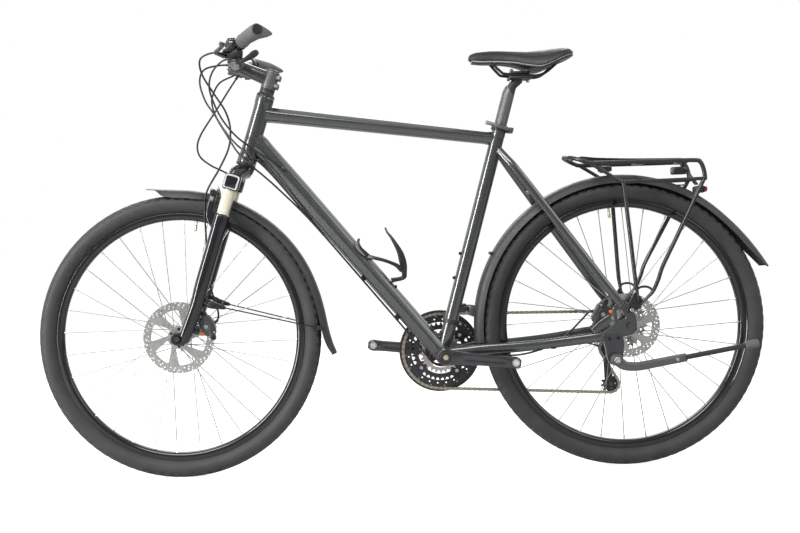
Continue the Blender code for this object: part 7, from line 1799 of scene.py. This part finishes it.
# Front and rear derailleur, with the cage and its two pulleys between their centres
def makeDerailleurs():
    guide, tension = wheelPlace(2), wheelPlace(1)
    way = (tension - guide) / np.linalg.norm(tension - guide)
    across = np.cross(way, leftWay)
    cages = []
    for sign, grow in ((1, 1.0), (-1, 1.12)):
        stops = np.array([(-0.0095, 0.0, 0.005), (-0.006, 0.0, 0.0088), (0.0, 0.0, 0.011),
            (0.012, 0.003, 0.01), (0.0465, 0.0085, 0.0068), (0.08, 0.003, 0.0098), (0.093, 0.0, 0.0112),
            (0.1005, 0.0, 0.009), (0.1045, 0.0, 0.005)])
        line = smooth(stops, 5)
        path = guide + way * line[:, :1] + across * (line[:, 1:2] * 0.6) + leftWay * sign * 0.0056
        cages.append(carried(path, ring(28, line[:, 2] * grow, np.full(len(line), 0.0009), 4.0), across))
    bolts = []
    for spot in (guide, tension):
        bolts.append(rod(spot - leftWay * 0.0078, spot + leftWay * 0.0076, 0.0027, 20))
        bolts += [rod(spot + leftWay * s * 0.006, spot + leftWay * s * 0.0078, 0.0048, 28) for s in (1, -1)]
    makePiece("derailleurCage", "cage", [(mat["satinBlack"], cages), (mat["darkAlloy"], bolts)],
        ("derailleur_cage",), 35)
    for number, name, node, body in ((2, "guideWheel", "guide_pulley", "guide_wheel"),
            (1, "tensionWheel", "tension_pulley", "tension_wheel")):
        x, z, _, _, teeth, side = wheelsNow[number]
        holes = [circle(-x, z, 0.003, 20)] + [circle(-x + 0.0105 * math.cos(k * tau / 5),
            z + 0.0105 * math.sin(k * tau / 5), 0.0032, 14) for k in range(5)]
        disc = plate([toothOutline(-x, z, teeth, gapAngle(number), 0.0034)] + holes, side, 0.0022, 0.0003)
        hub = turned([(0.0031, -0.003), (0.006, -0.003), (0.0064, -0.0026), (0.0064, 0.0026), (0.006, 0.003),
            (0.0031, 0.003)], at(-x, z, side), leftWay, 32, True)
        makePiece(name, body, [(mat["satinBlack"], [disc]), (mat["brushedSteel"], [hub])],
            (node,), 35)
    hanger, hinge = at(bike["wheelbase"] + 0.008, -0.026, -0.088), np.array([guide[0], -0.085, guide[2]])
    t = np.linspace(0, 1, 16)
    link = hanger + (hinge - hanger) * t[:, None] + np.array([0.0065, 0, 0]) * np.sin(t * math.pi)[:, None]
    body = [turned(rounded([(0, -0.0945), (0.0088, -0.0945), (0.01, -0.093), (0.01, -0.078), (0.008, -0.0756),
        (0, -0.0756)], 0.001, 3), hanger * [1, 0, 1], leftWay, 48),
        turned(rounded([(0, -0.095), (0.01, -0.095), (0.0118, -0.093), (0.0118, -0.069), (0.0105, -0.0662),
        (0, -0.0662)], 0.001, 3), hinge * [1, 0, 1], leftWay, 56),
        carried(link, ring(36, np.interp(t, [0, 0.5, 1], [0.0088, 0.0072, 0.0098]),
        np.interp(t, [0, 0.5, 1], [0.0062, 0.0052, 0.007]), 2.8), (1, 0, 0)),
        carried(link + leftWay * 0.009 + np.array([0.003, 0, 0.001]),
        ring(28, np.full(16, 0.0055), np.full(16, 0.0022), 3.4), (1, 0, 0))]
    caps = [rod(hanger * [1, 0, 1] - leftWay * 0.0952, hanger * [1, 0, 1] - leftWay * 0.094, 0.005, 6),
        rod(hinge * [1, 0, 1] - leftWay * 0.0958, hinge * [1, 0, 1] - leftWay * 0.094, 0.0056, 6)]
    barrel = rod(hinge * [1, 0, 1] + np.array([-0.012, -0.082, 0.01]),
        hinge * [1, 0, 1] + np.array([-0.026, -0.082, 0.02]), 0.0036, 24)
    makePiece("rearDerailleurBody", "frame",
        [(mat["satinBlack"], body + [barrel]), (mat["brushedSteel"], caps)], ("rear_derailleur",), 38)
    collar = turned(rounded([(0.0178, 0.0794), (0.02, 0.0794), (0.0206, 0.0802), (0.0206, 0.0906),
        (0.02, 0.0914), (0.0178, 0.0914)], 0.0006, 2), bracket, seatUp, 64, True)
    ear = [block(atSeat(0.0236, s, 0.0854), (0.01, 0.005, 0.012), (seatBack, leftWay, seatUp), 0.0016,
        3.2) for s in (0.004, -0.004)]
    bolt = rod(atSeat(0.0242, -0.01, 0.0854), atSeat(0.0242, 0.008, 0.0854), 0.003, 20)
    b, z = bracketBehind, bracketAbove
    outline = rounded([(b + 0.0339, z + 0.104), (b + 0.0479, z + 0.121), (b + 0.0969, z + 0.1175),
        (b + 0.1199, z + 0.0945), (b + 0.1039, z + 0.0815), (b + 0.0619, z + 0.0975)], 0.01, 5, True)
    cage = [plate([outline], s, 0.0012, 0.0003) for s in (-0.063, -0.052)]
    bridge = block(at(b + 0.072, z + 0.1165, -0.0575), (0.046, 0.0118, 0.003), ease=0.0008)
    tailBridge = block(at(b + 0.1155, z + 0.0935, -0.0575), (0.004, 0.0118, 0.009), ease=0.0008)
    arm = smooth(np.stack([atSeat(0.004, -0.0185, 0.0864), at(b + 0.0379, z + 0.1105, -0.034),
        at(b + 0.0669, z + 0.117, -0.0545)]), 8)
    link = [carried(arm, ring(32, np.full(len(arm), 0.0068), np.full(len(arm), 0.0062), 3.0), (0, 0, 1)),
        block(at(b + 0.062, z + 0.108, -0.0455), (0.03, 0.01, 0.016), ease=0.003, power=3)]
    pins = [rod(at(b + u, z + w, -0.055), at(b + u, z + w, -0.033), 0.0036, 24) for u,
        w in ((0.048, 0.113), (0.07, 0.101), (0.08, 0.112))]
    makePiece("frontDerailleurParts", "frame",
        [(mat["satinBlack"], [collar] + ear), (mat["darkAlloy"], link),
        (mat["bareAlloy"], cage[1:] + pins + [tailBridge, bolt]), (mat["brushedSteel"], cage[:1] + [bridge])],
        ("front_derailleur",), 38)


makeChain()
makeRings()
makeCranks()
makeCassette()
makeDerailleurs()
print("drive ready")

# Rack: behind the rear axle, below the top of its rails (drop) and to the side
rack = {"railAbove": 0.409, "tube": 0.0055, "footSide": 0.0785}


# A place by how far behind the rear axle and below the rail it is
def atRack(behind, drop, side):
    return at(bike["wheelbase"] + np.asarray(behind, float), rack["railAbove"] - np.asarray(drop, float),
        side)


# The same for rows of (behind, drop, side)
def atRackRows(rows):
    rows = np.asarray(rows, float)
    return atRack(rows[:, 0], rows[:, 1], rows[:, 2])


# Rack: round bars along lines of (behind, drop, side), mirrored, with tabs and feet
def makeRack():
    side = 0.06
    bow = [(0.2015, 0.0501, side), (0.2015, 0.04, side), (0.199, 0.023, side), (0.192, 0.006, side),
        (0.178, 0.0, side), (0.1, 0.0, side), (0.0, 0.0, side), (-0.079, 0.0, side), (-0.096, -0.0035, 0.059),
        (-0.111, -0.01, 0.054), (-0.128, -0.0165, 0.036), (-0.1345, -0.0189, 0.016), (-0.135, -0.019, 0.0)]
    line = smooth(np.vstack([bow, (np.array(bow) * [1, 1, -1])[-2::-1]]), 7)
    rails = [tube(atRackRows(line), rack["tube"], 24)]
    for way in (1, -1):
        low = smooth(np.array([(-0.083, 0.0015, way * side), (-0.05, 0.022, way * side),
            (-0.013, 0.0455, way * side), (-0.0004, 0.0492, way * side), (0.06, 0.0485, way * side),
            (0.14, 0.0475, way * side), (0.2, 0.0461, way * side)]), 7)
        rails.append(tube(atRackRows(low), 0.0046, 20))
        foot = rack["footSide"]
        b = bike["wheelbase"]
        front = np.array([at(b - 0.004, rack["railAbove"] - 0.047, way * side),
            at(b - 0.001, 0.33, way * 0.0625), at(b + 0.007, 0.22, way * 0.0715),
            at(b + 0.014, 0.12, way * foot), at(b + 0.0175, 0.09, way * foot),
            at(b + 0.02, 0.062, way * foot)])
        hind = np.array([at(b + 0.1985, rack["railAbove"] - 0.048, way * side),
            at(b + 0.1597, 0.2887, way * 0.0665), at(b + 0.1199, 0.2143, way * 0.0735),
            at(b + 0.084, 0.1475, way * foot), at(b + 0.072, 0.115, way * foot),
            at(b + 0.058, 0.086, way * foot), at(b + 0.043, 0.07, way * foot),
            at(b + 0.026, 0.054, way * foot)])
        for leg in (front, hind):
            path = smooth(leg, 8)
            t = np.linspace(0, 1, len(path))
            rails.append(carried(path, ring(24, np.interp(t, [0, 0.65, 1], [0.0052, 0.0053, 0.0075]),
                np.interp(t, [0, 0.65, 1], [0.0052, 0.005, 0.0032])), leftWay))
        hoop = smooth(np.array([at(b + 0.0165, 0.084, way * foot), at(b + 0.0205, 0.0925, way * foot),
            at(b + 0.028, 0.0965, way * foot), at(b + 0.041, 0.097, way * foot),
            at(b + 0.05, 0.0935, way * foot), at(b + 0.058, 0.086, way * foot)]), 6)
        rails.append(carried(hoop, ring(20, np.full(len(hoop), 0.0024), np.full(len(hoop), 0.003), 2.6),
            leftWay))
        toe = rounded([(b + 0.013, 0.086), (b + 0.024, 0.075), (b + 0.03, 0.064), (b + 0.042, 0.07),
            (b + 0.05, 0.077), (b + 0.04, 0.064), (b + 0.021, 0.04), (b - 0.007, 0.031), (b - 0.009, 0.045)],
            0.006, 5, True)
        rails.append(plate([toe], way * 0.0751, 0.0055, 0.0008))
        rails.append(rod(at(b + 0.004, 0.04, way * 0.07), at(b + 0.004, 0.04, way * 0.08), 0.0048, 24))
    for behind, drop in ((-0.056, 0.0), (0.052, 0.0), (0.161, 0.0)):
        t = np.linspace(-1, 1, 17)
        rails.append(carried(atRack(behind, drop + 0.004 * (1 - t**4) * (behind > 0), t * side),
            ring(20, np.full(17, 0.0052), np.full(17, 0.0032)), (1, 0, 0)))
    deck = rounded([(0.125, 0.016), (0.125, -0.016), (0.171, -0.018), (0.171, 0.018)], 0.006, 5, True)
    holes = [rounded([(0.134, 0.01), (0.134, -0.01), (0.146, -0.01), (0.146, 0.01)], 0.003, 3, True),
        rounded([(0.151, 0.01), (0.151, -0.01), (0.163, -0.01), (0.163, 0.01)], 0.003, 3, True)]
    rails.append(plate([deck] + holes, 0.0, 0.003, 0.0005, lambda x, y, z: atRack(x, 0.0005 - z, y)))
    tabs = [block(atRack(-0.034, 0.013, 0.0), (0.03, 0.034, 0.015), ease=0.003),
        block(atRack(0.155, 0.023, 0.0), (0.034, 0.034, 0.02), ease=0.003),
        block(atRack(-0.036, 0.0215, 0.0), (0.018, 0.02, 0.0035), ease=0.001),
        block(atRack(0.1575, 0.06, 0.0), (0.028, 0.024, 0.0035), ease=0.001)]
    spine = [carried(atRack(np.linspace(-0.048, -0.036, 6), np.linspace(0.001, 0.02, 6), 0.0),
        ring(20, np.full(6, 0.01), np.full(6, 0.0016), 4), (0, 1, 0)),
        carried(atRack(np.linspace(0.161, 0.2, 8), np.linspace(0.004, 0.06, 8), 0.0),
        ring(20, np.full(8, 0.014), np.full(8, 0.0016), 4), (0, 1, 0))]
    feet = []
    for way in (1, -1):
        spot = at(bike["wheelbase"] + 0.004, 0.04, way * 0.0795)
        feet.append(rod(spot, spot + leftWay * way * 0.003, 0.005, 28))
    springs = []
    for way in (1, -1):
        clip = smooth(np.array([(-0.112, -0.0125, way * 0.03), (-0.1, -0.0165, way * 0.032),
            (-0.06, -0.0125, way * 0.03), (0.02, -0.0085, way * 0.03), (0.1, -0.0065, way * 0.03),
            (0.15, -0.006, way * 0.026), (0.163, -0.0058, way * 0.01), (0.164, -0.0058, way * 0.0)]), 7)
        springs.append(tube(atRackRows(clip), 0.0026, 16))
    makePiece("luggageRack", "frame",
        [(mat["rackBlack"], rails + tabs + spine), (mat["blackSteel"], springs), (mat["brushedSteel"], feet)],
        ("luggage_rack",), 40)


# Rear light: housing and lens as crowned sections carried across
def makeLight():
    t = np.linspace(-1, 1, 25)
    x = 0.013 - 0.0035 * np.abs(t) ** 3
    front, lens = [], []
    centre = atRack(0.208, 0.072, t * 0.034)
    centre[:, 0] += 0.003 * np.abs(t) ** 2.5
    front.append(carried(centre, ring(36, x * 0.55, 0.0095 - 0.002 * np.abs(t) ** 4, 3.4), (1, 0, 0)))
    hind = centre - np.array([0.0055, 0, 0.0])
    lens.append(carried(hind[1:-1], ring(36, x[1:-1] * 0.55, 0.0078 - 0.002 * np.abs(t[1:-1]) ** 4, 3.0),
        (1, 0, 0)))
    makePiece("rearLight", "frame", [(mat["redLens"], lens), (mat["stripPlastic"], front)],
        ("rear_light",), 40)


# Bottle cage: along the down tube from the bracket, and out from it
tubeWay = (atFork(-0.002, 0, 0.5) - bracket) / np.linalg.norm(atFork(-0.002, 0, 0.5) - bracket)
tubeOut = np.array([tubeWay[2], 0.0, -tubeWay[0]]) * (1 if -tubeWay[0] > 0 else -1)


# A place from the bracket: along the down tube, out from it, and to the side
def atCage(row):
    row = np.asarray(row, float)
    side = row[:, 2] if row.shape[1] > 2 else np.zeros(len(row))
    return bracket + row[:, :1] * tubeWay + row[:, 1:2] * tubeOut + side[:, None] * leftWay


# Bottle cage arms: (behind, above, side) with half width in the side view and half thickness
cageArms = [[(0.463, 0.236, 0.026, 0.0022, 0.0018), (0.461, 0.226, 0.03, 0.0026, 0.0018),
    (0.467, 0.212, 0.032, 0.0032, 0.0018), (0.48, 0.197, 0.026, 0.005, 0.0018),
    (0.488, 0.183, 0.014, 0.009, 0.0022), (0.49, 0.18, 0.006, 0.008, 0.0022)],
    [(0.48, 0.192, 0.02, 0.0045, 0.0018), (0.5, 0.186, 0.031, 0.0042, 0.0018),
    (0.522, 0.18, 0.036, 0.0038, 0.0018), (0.543, 0.172, 0.035, 0.004, 0.0018),
    (0.56, 0.163, 0.03, 0.0055, 0.0018), (0.57, 0.152, 0.024, 0.006, 0.0018)],
    [(0.531, 0.262, 0.004, 0.0022, 0.002), (0.536, 0.25, 0.01, 0.0024, 0.002),
    (0.545, 0.238, 0.015, 0.003, 0.0018), (0.557, 0.218, 0.02, 0.0046, 0.0018),
    (0.567, 0.198, 0.023, 0.0064, 0.0018), (0.572, 0.18, 0.024, 0.0078, 0.0018),
    (0.575, 0.163, 0.024, 0.0074, 0.0018), (0.576, 0.148, 0.021, 0.0058, 0.0018),
    (0.576, 0.136, 0.014, 0.005, 0.002), (0.568, 0.131, 0.01, 0.0048, 0.0022),
    (0.556, 0.129, 0.009, 0.005, 0.0022), (0.543, 0.127, 0.008, 0.006, 0.0022)], ]


# Bottle cage: flat bars along its arms, with the two bolts
def makeCage():
    parts = []
    for rows in cageArms:
        row = smooth(np.array(rows), 7)
        path = at(row[:, 0], row[:, 1], row[:, 2])
        arm = carried(path, ring(24, row[:, 4], row[:, 3], 3.2), (0, 1, 0))
        parts += [arm, mirrored(arm)]
    spine = smooth(np.array([(0.34, 0.03, 0.004), (0.318, 0.0295, 0.006), (0.3, 0.0268, 0.009),
        (0.286, 0.0262, 0.0105), (0.268, 0.03, 0.0085), (0.254, 0.0305, 0.0075), (0.238, 0.0268, 0.009),
        (0.224, 0.0262, 0.0105), (0.212, 0.029, 0.0085), (0.205, 0.035, 0.007)]), 6)
    parts.append(carried(atCage(spine[:, :2]), ring(28, spine[:, 2], np.full(len(spine), 0.0034), 3.2),
        leftWay))
    screws = [rod(atCage([(a, 0.0262)])[0], atCage([(a, 0.0315)])[0], 0.0046, 28) for a in (0.228, 0.292)]
    heads = [rod(atCage([(a, 0.0313)])[0], atCage([(a, 0.0319)])[0], 0.0025, 6) for a in (0.228, 0.292)]
    makePiece("bottleCage", "frame",
        [(mat["stripPlastic"], parts), (mat["blackSteel"], screws), (mat["bareAlloy"], heads)],
        ("bottle_cage",), 42)


# Kickstand, folded: the leg ends in an open sleeve, the foot slides in it
stand = {"side": 0.0895, "pivot": (-0.041, -0.081), "bend": (0.019, -0.0985), "end": (0.131, -0.08),
    "length": 0.358}


# A place by how far behind and above the rear axle it is, at the kickstand's side
def atStand(row, side=0.0):
    row = np.asarray(row, float)
    return at(bike["wheelbase"] + row[..., 0], row[..., 1], stand["side"] + side)


# Kickstand: leg carried from pivot to end through its bend, and the foot on its own slide
def makeStand():
    pivot, bend, end = (atStand(stand[key]) for key in ("pivot", "bend", "end"))
    out = (end - bend) / np.linalg.norm(end - bend)
    line = smooth(np.array([stand["pivot"], (-0.03, -0.0905), (-0.019, -0.0968), (-0.002, -0.0992),
        stand["bend"], (0.06, -0.0917), (0.1, -0.0851), (0.1295, -0.0803)]), 7)
    t = np.linspace(0, 1, len(line))
    leg = carried(atStand(line),
        ring(40, np.interp(t, [0, 0.2, 0.5, 0.9, 1], [0.0088, 0.009, 0.009, 0.0092, 0.0086]),
        np.interp(t, [0, 0.12, 0.35, 0.5, 1], [0.0135, 0.013, 0.0112, 0.0108, 0.0104]), 2.8), leftWay)
    eye = turned(rounded([(0, 0.0652), (0.0138, 0.0652), (0.0145, 0.0662), (0.0145, 0.099), (0.0132, 0.1005),
        (0.0092, 0.1008), (0.0088, 0.0996), (0, 0.0996)], 0.0008, 3), pivot * [1, 0, 1], leftWay, 64)
    bolt = turned(rounded([(0, 0.0994), (0.0078, 0.0994), (0.008, 0.1006), (0.007, 0.1014), (0.0042, 0.1014),
        (0.0038, 0.1002), (0, 0.1002)], 0.0004, 2), pivot * [1, 0, 1], leftWay, 40)
    pin = rod(pivot * [1, 0, 1] + leftWay * 0.064, pivot * [1, 0, 1] + leftWay * 0.07, 0.004, 24)
    mouth = turned([(0.0074, -0.002), (0.0098, -0.002), (0.0102, 0.0), (0.0096, 0.0018), (0.0082, 0.0022),
        (0.0074, 0.0016)], atStand((0.13, -0.0802)), out, 40, True)
    catch = rod(atStand((0.108, -0.0838), 0.0085), atStand((0.108, -0.0838), 0.0112), 0.004, 24)
    makePiece("standLeg", "stand_leg",
        [(mat["postGrey"], [leg, eye]), (mat["brushedSteel"], [bolt, pin, catch]),
        (mat["satinBlack"], [mouth])], ("kickstand_leg",), 40)
    reach = stand["length"] - np.linalg.norm(end - bend)
    shank = rod(end - out * 0.06, end + out * (reach - 0.094), 0.0064, 36)
    rubber = turned(rounded([(0, 0.0), (0.0088, 0.0), (0.0104, 0.003), (0.0108, 0.018), (0.011, 0.03),
        (0.0098, 0.034), (0, 0.035)], 0.0012, 3), end + out * (reach - 0.0955), out, 48)
    makePiece("standFoot", "stand_foot",
        [(mat["satinBlack"], [shank]), (mat["gripRubber"], [rubber])], ("kickstand_foot",), 40)


# Hoses and cables: the same points as the part: behind the front axle, above the axles, side
routes = {
    "frontBrakeHose": [(0.14, 0.704, 0.0925), (0.11, 0.709, 0.086), (0.078, 0.696, 0.072),
        (0.08, 0.66, 0.056), (0.108, 0.611, 0.043), (0.134, 0.568, 0.038), (0.145, 0.525, 0.038),
        (0.14, 0.475, 0.043), (0.116, 0.424, 0.048), (0.084, 0.37, 0.048), (0.076, 0.33, 0.044),
        (0.076, 0.25, 0.038), (0.078, 0.16, 0.037), (0.09, 0.1, 0.037), (0.101, 0.062, 0.0378),
        (0.099, 0.043, 0.038), (0.09, 0.0344, 0.038)],
    "rearBrakeHose": [(0.14, 0.704, -0.0925), (0.105, 0.702, -0.087), (0.07, 0.69, -0.076),
        (0.061, 0.655, -0.054), (0.076, 0.605, -0.031), (0.102, 0.564, -0.01), (0.129, 0.521, 0.009),
        (0.16, 0.483, 0.026), (0.198, 0.452, 0.037), (0.228, 0.425, 0.036), (0.264, 0.384, 0.03),
        (0.34, 0.289, 0.015), (0.436, 0.171, 0.01), (0.574, 0.001, 0.008), (0.615, -0.052, 0.01),
        (0.656, -0.092, 0.016), (0.728, -0.076, 0.029), (0.79, -0.07, 0.039), (0.87, -0.066, 0.043),
        (0.945, -0.044, 0.043), (0.985, -0.014, 0.045), (1.015, 0.016, 0.049), (1.034, 0.0355, 0.0515),
        (1.0475, 0.0376, 0.052)],
    "frontShiftCable": [(0.162, 0.687, 0.1175), (0.136, 0.686, 0.1), (0.108, 0.662, 0.08),
        (0.098, 0.625, 0.066), (0.11, 0.58, 0.052), (0.132, 0.538, 0.048), (0.162, 0.502, 0.042),
        (0.196, 0.475, 0.037), (0.222, 0.456, 0.036), (0.252, 0.437, 0.03), (0.282, 0.416, 0.0255)],
    "rearShiftCable": [(0.162, 0.687, -0.1175), (0.145, 0.676, -0.102), (0.112, 0.656, -0.076),
        (0.096, 0.625, -0.054), (0.093, 0.596, -0.037), (0.106, 0.557, -0.018), (0.133, 0.51, 0.004),
        (0.16, 0.466, 0.022), (0.194, 0.43, 0.033), (0.226, 0.402, 0.03), (0.266, 0.364, 0.018),
        (0.335, 0.292, 0.001), (0.436, 0.171, -0.005), (0.574, 0.001, -0.007), (0.615, -0.052, -0.008),
        (0.656, -0.092, -0.01), (0.728, -0.076, -0.028), (0.79, -0.07, -0.04), (0.87, -0.064, -0.046),
        (0.945, -0.056, -0.053), (0.995, -0.052, -0.062), (1.05, -0.056, -0.076), (1.091, -0.067, -0.083)],
    "lockoutCable": [(0.156, 0.677, -0.119), (0.142, 0.652, -0.1), (0.126, 0.624, -0.082),
        (0.106, 0.59, -0.068), (0.081, 0.552, -0.058), (0.059, 0.516, -0.052), (0.05, 0.487, -0.051),
        (0.057, 0.46, -0.053), (0.083, 0.438, -0.057), (0.108, 0.425, -0.062), (0.131, 0.413, -0.065)]}


# Hoses and cables: round bars along the smoothed routes, with end pieces
def makeCables():
    nodes = {"frontBrakeHose": "front_brake_hose", "rearBrakeHose": "rear_brake_hose",
        "frontShiftCable": "front_shift_cable", "rearShiftCable": "rear_shift_cable",
        "lockoutCable": "lockout_cable"}
    for name, points in routes.items():
        rows = np.array(points)
        path = smooth(at(rows[:, 0], rows[:, 1], rows[:, 2]), 8)
        radius = 0.0025 if "Hose" in name else 0.0024
        ends = []
        for a, b in ((0, 4), (-1, -5)):
            out = (path[b] - path[a]) / np.linalg.norm(path[b] - path[a])
            ends.append(rod(path[a] - out * 0.001, path[a] + out * 0.012, radius + 0.0011, 20))
        body = "steering" if name == "lockoutCable" else None
        piece = makePiece(name, body,
            [(mat["hosePlastic"], [tube(path, radius, 14)]), (mat["satinBlack"], ends)], (nodes[name],), 45)
        if name == "frontBrakeHose":
            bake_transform(piece)
        elif not body:
            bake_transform(piece)


makeRack()
makeLight()
makeCage()
makeStand()
makeCables()
print("rack, cage, stand and cables ready")

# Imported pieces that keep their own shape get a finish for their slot
plainFinish = {"frame_paint": "framePaint", "black_paint": "blackPaint", "satin_black": "satinBlack",
    "champagne": "champagne", "bare_alloy": "bareAlloy", "dark_alloy": "darkAlloy", "steel": "steel",
    "chain_steel": "chainSteel", "tyre_rubber": "tyreRubber", "grip_rubber": "gripRubber",
    "guard_plastic": "guardPlastic", "hose_plastic": "hosePlastic", "saddle_cover": "saddleVinyl",
    "red_lens": "redLens"}
for name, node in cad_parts.items():
    for holder in node.material_slots:
        if holder.material and holder.material.name.split(".")[0] in plainFinish:
            holder.material = mat[plainFinish[holder.material.name.split(".")[0]]]
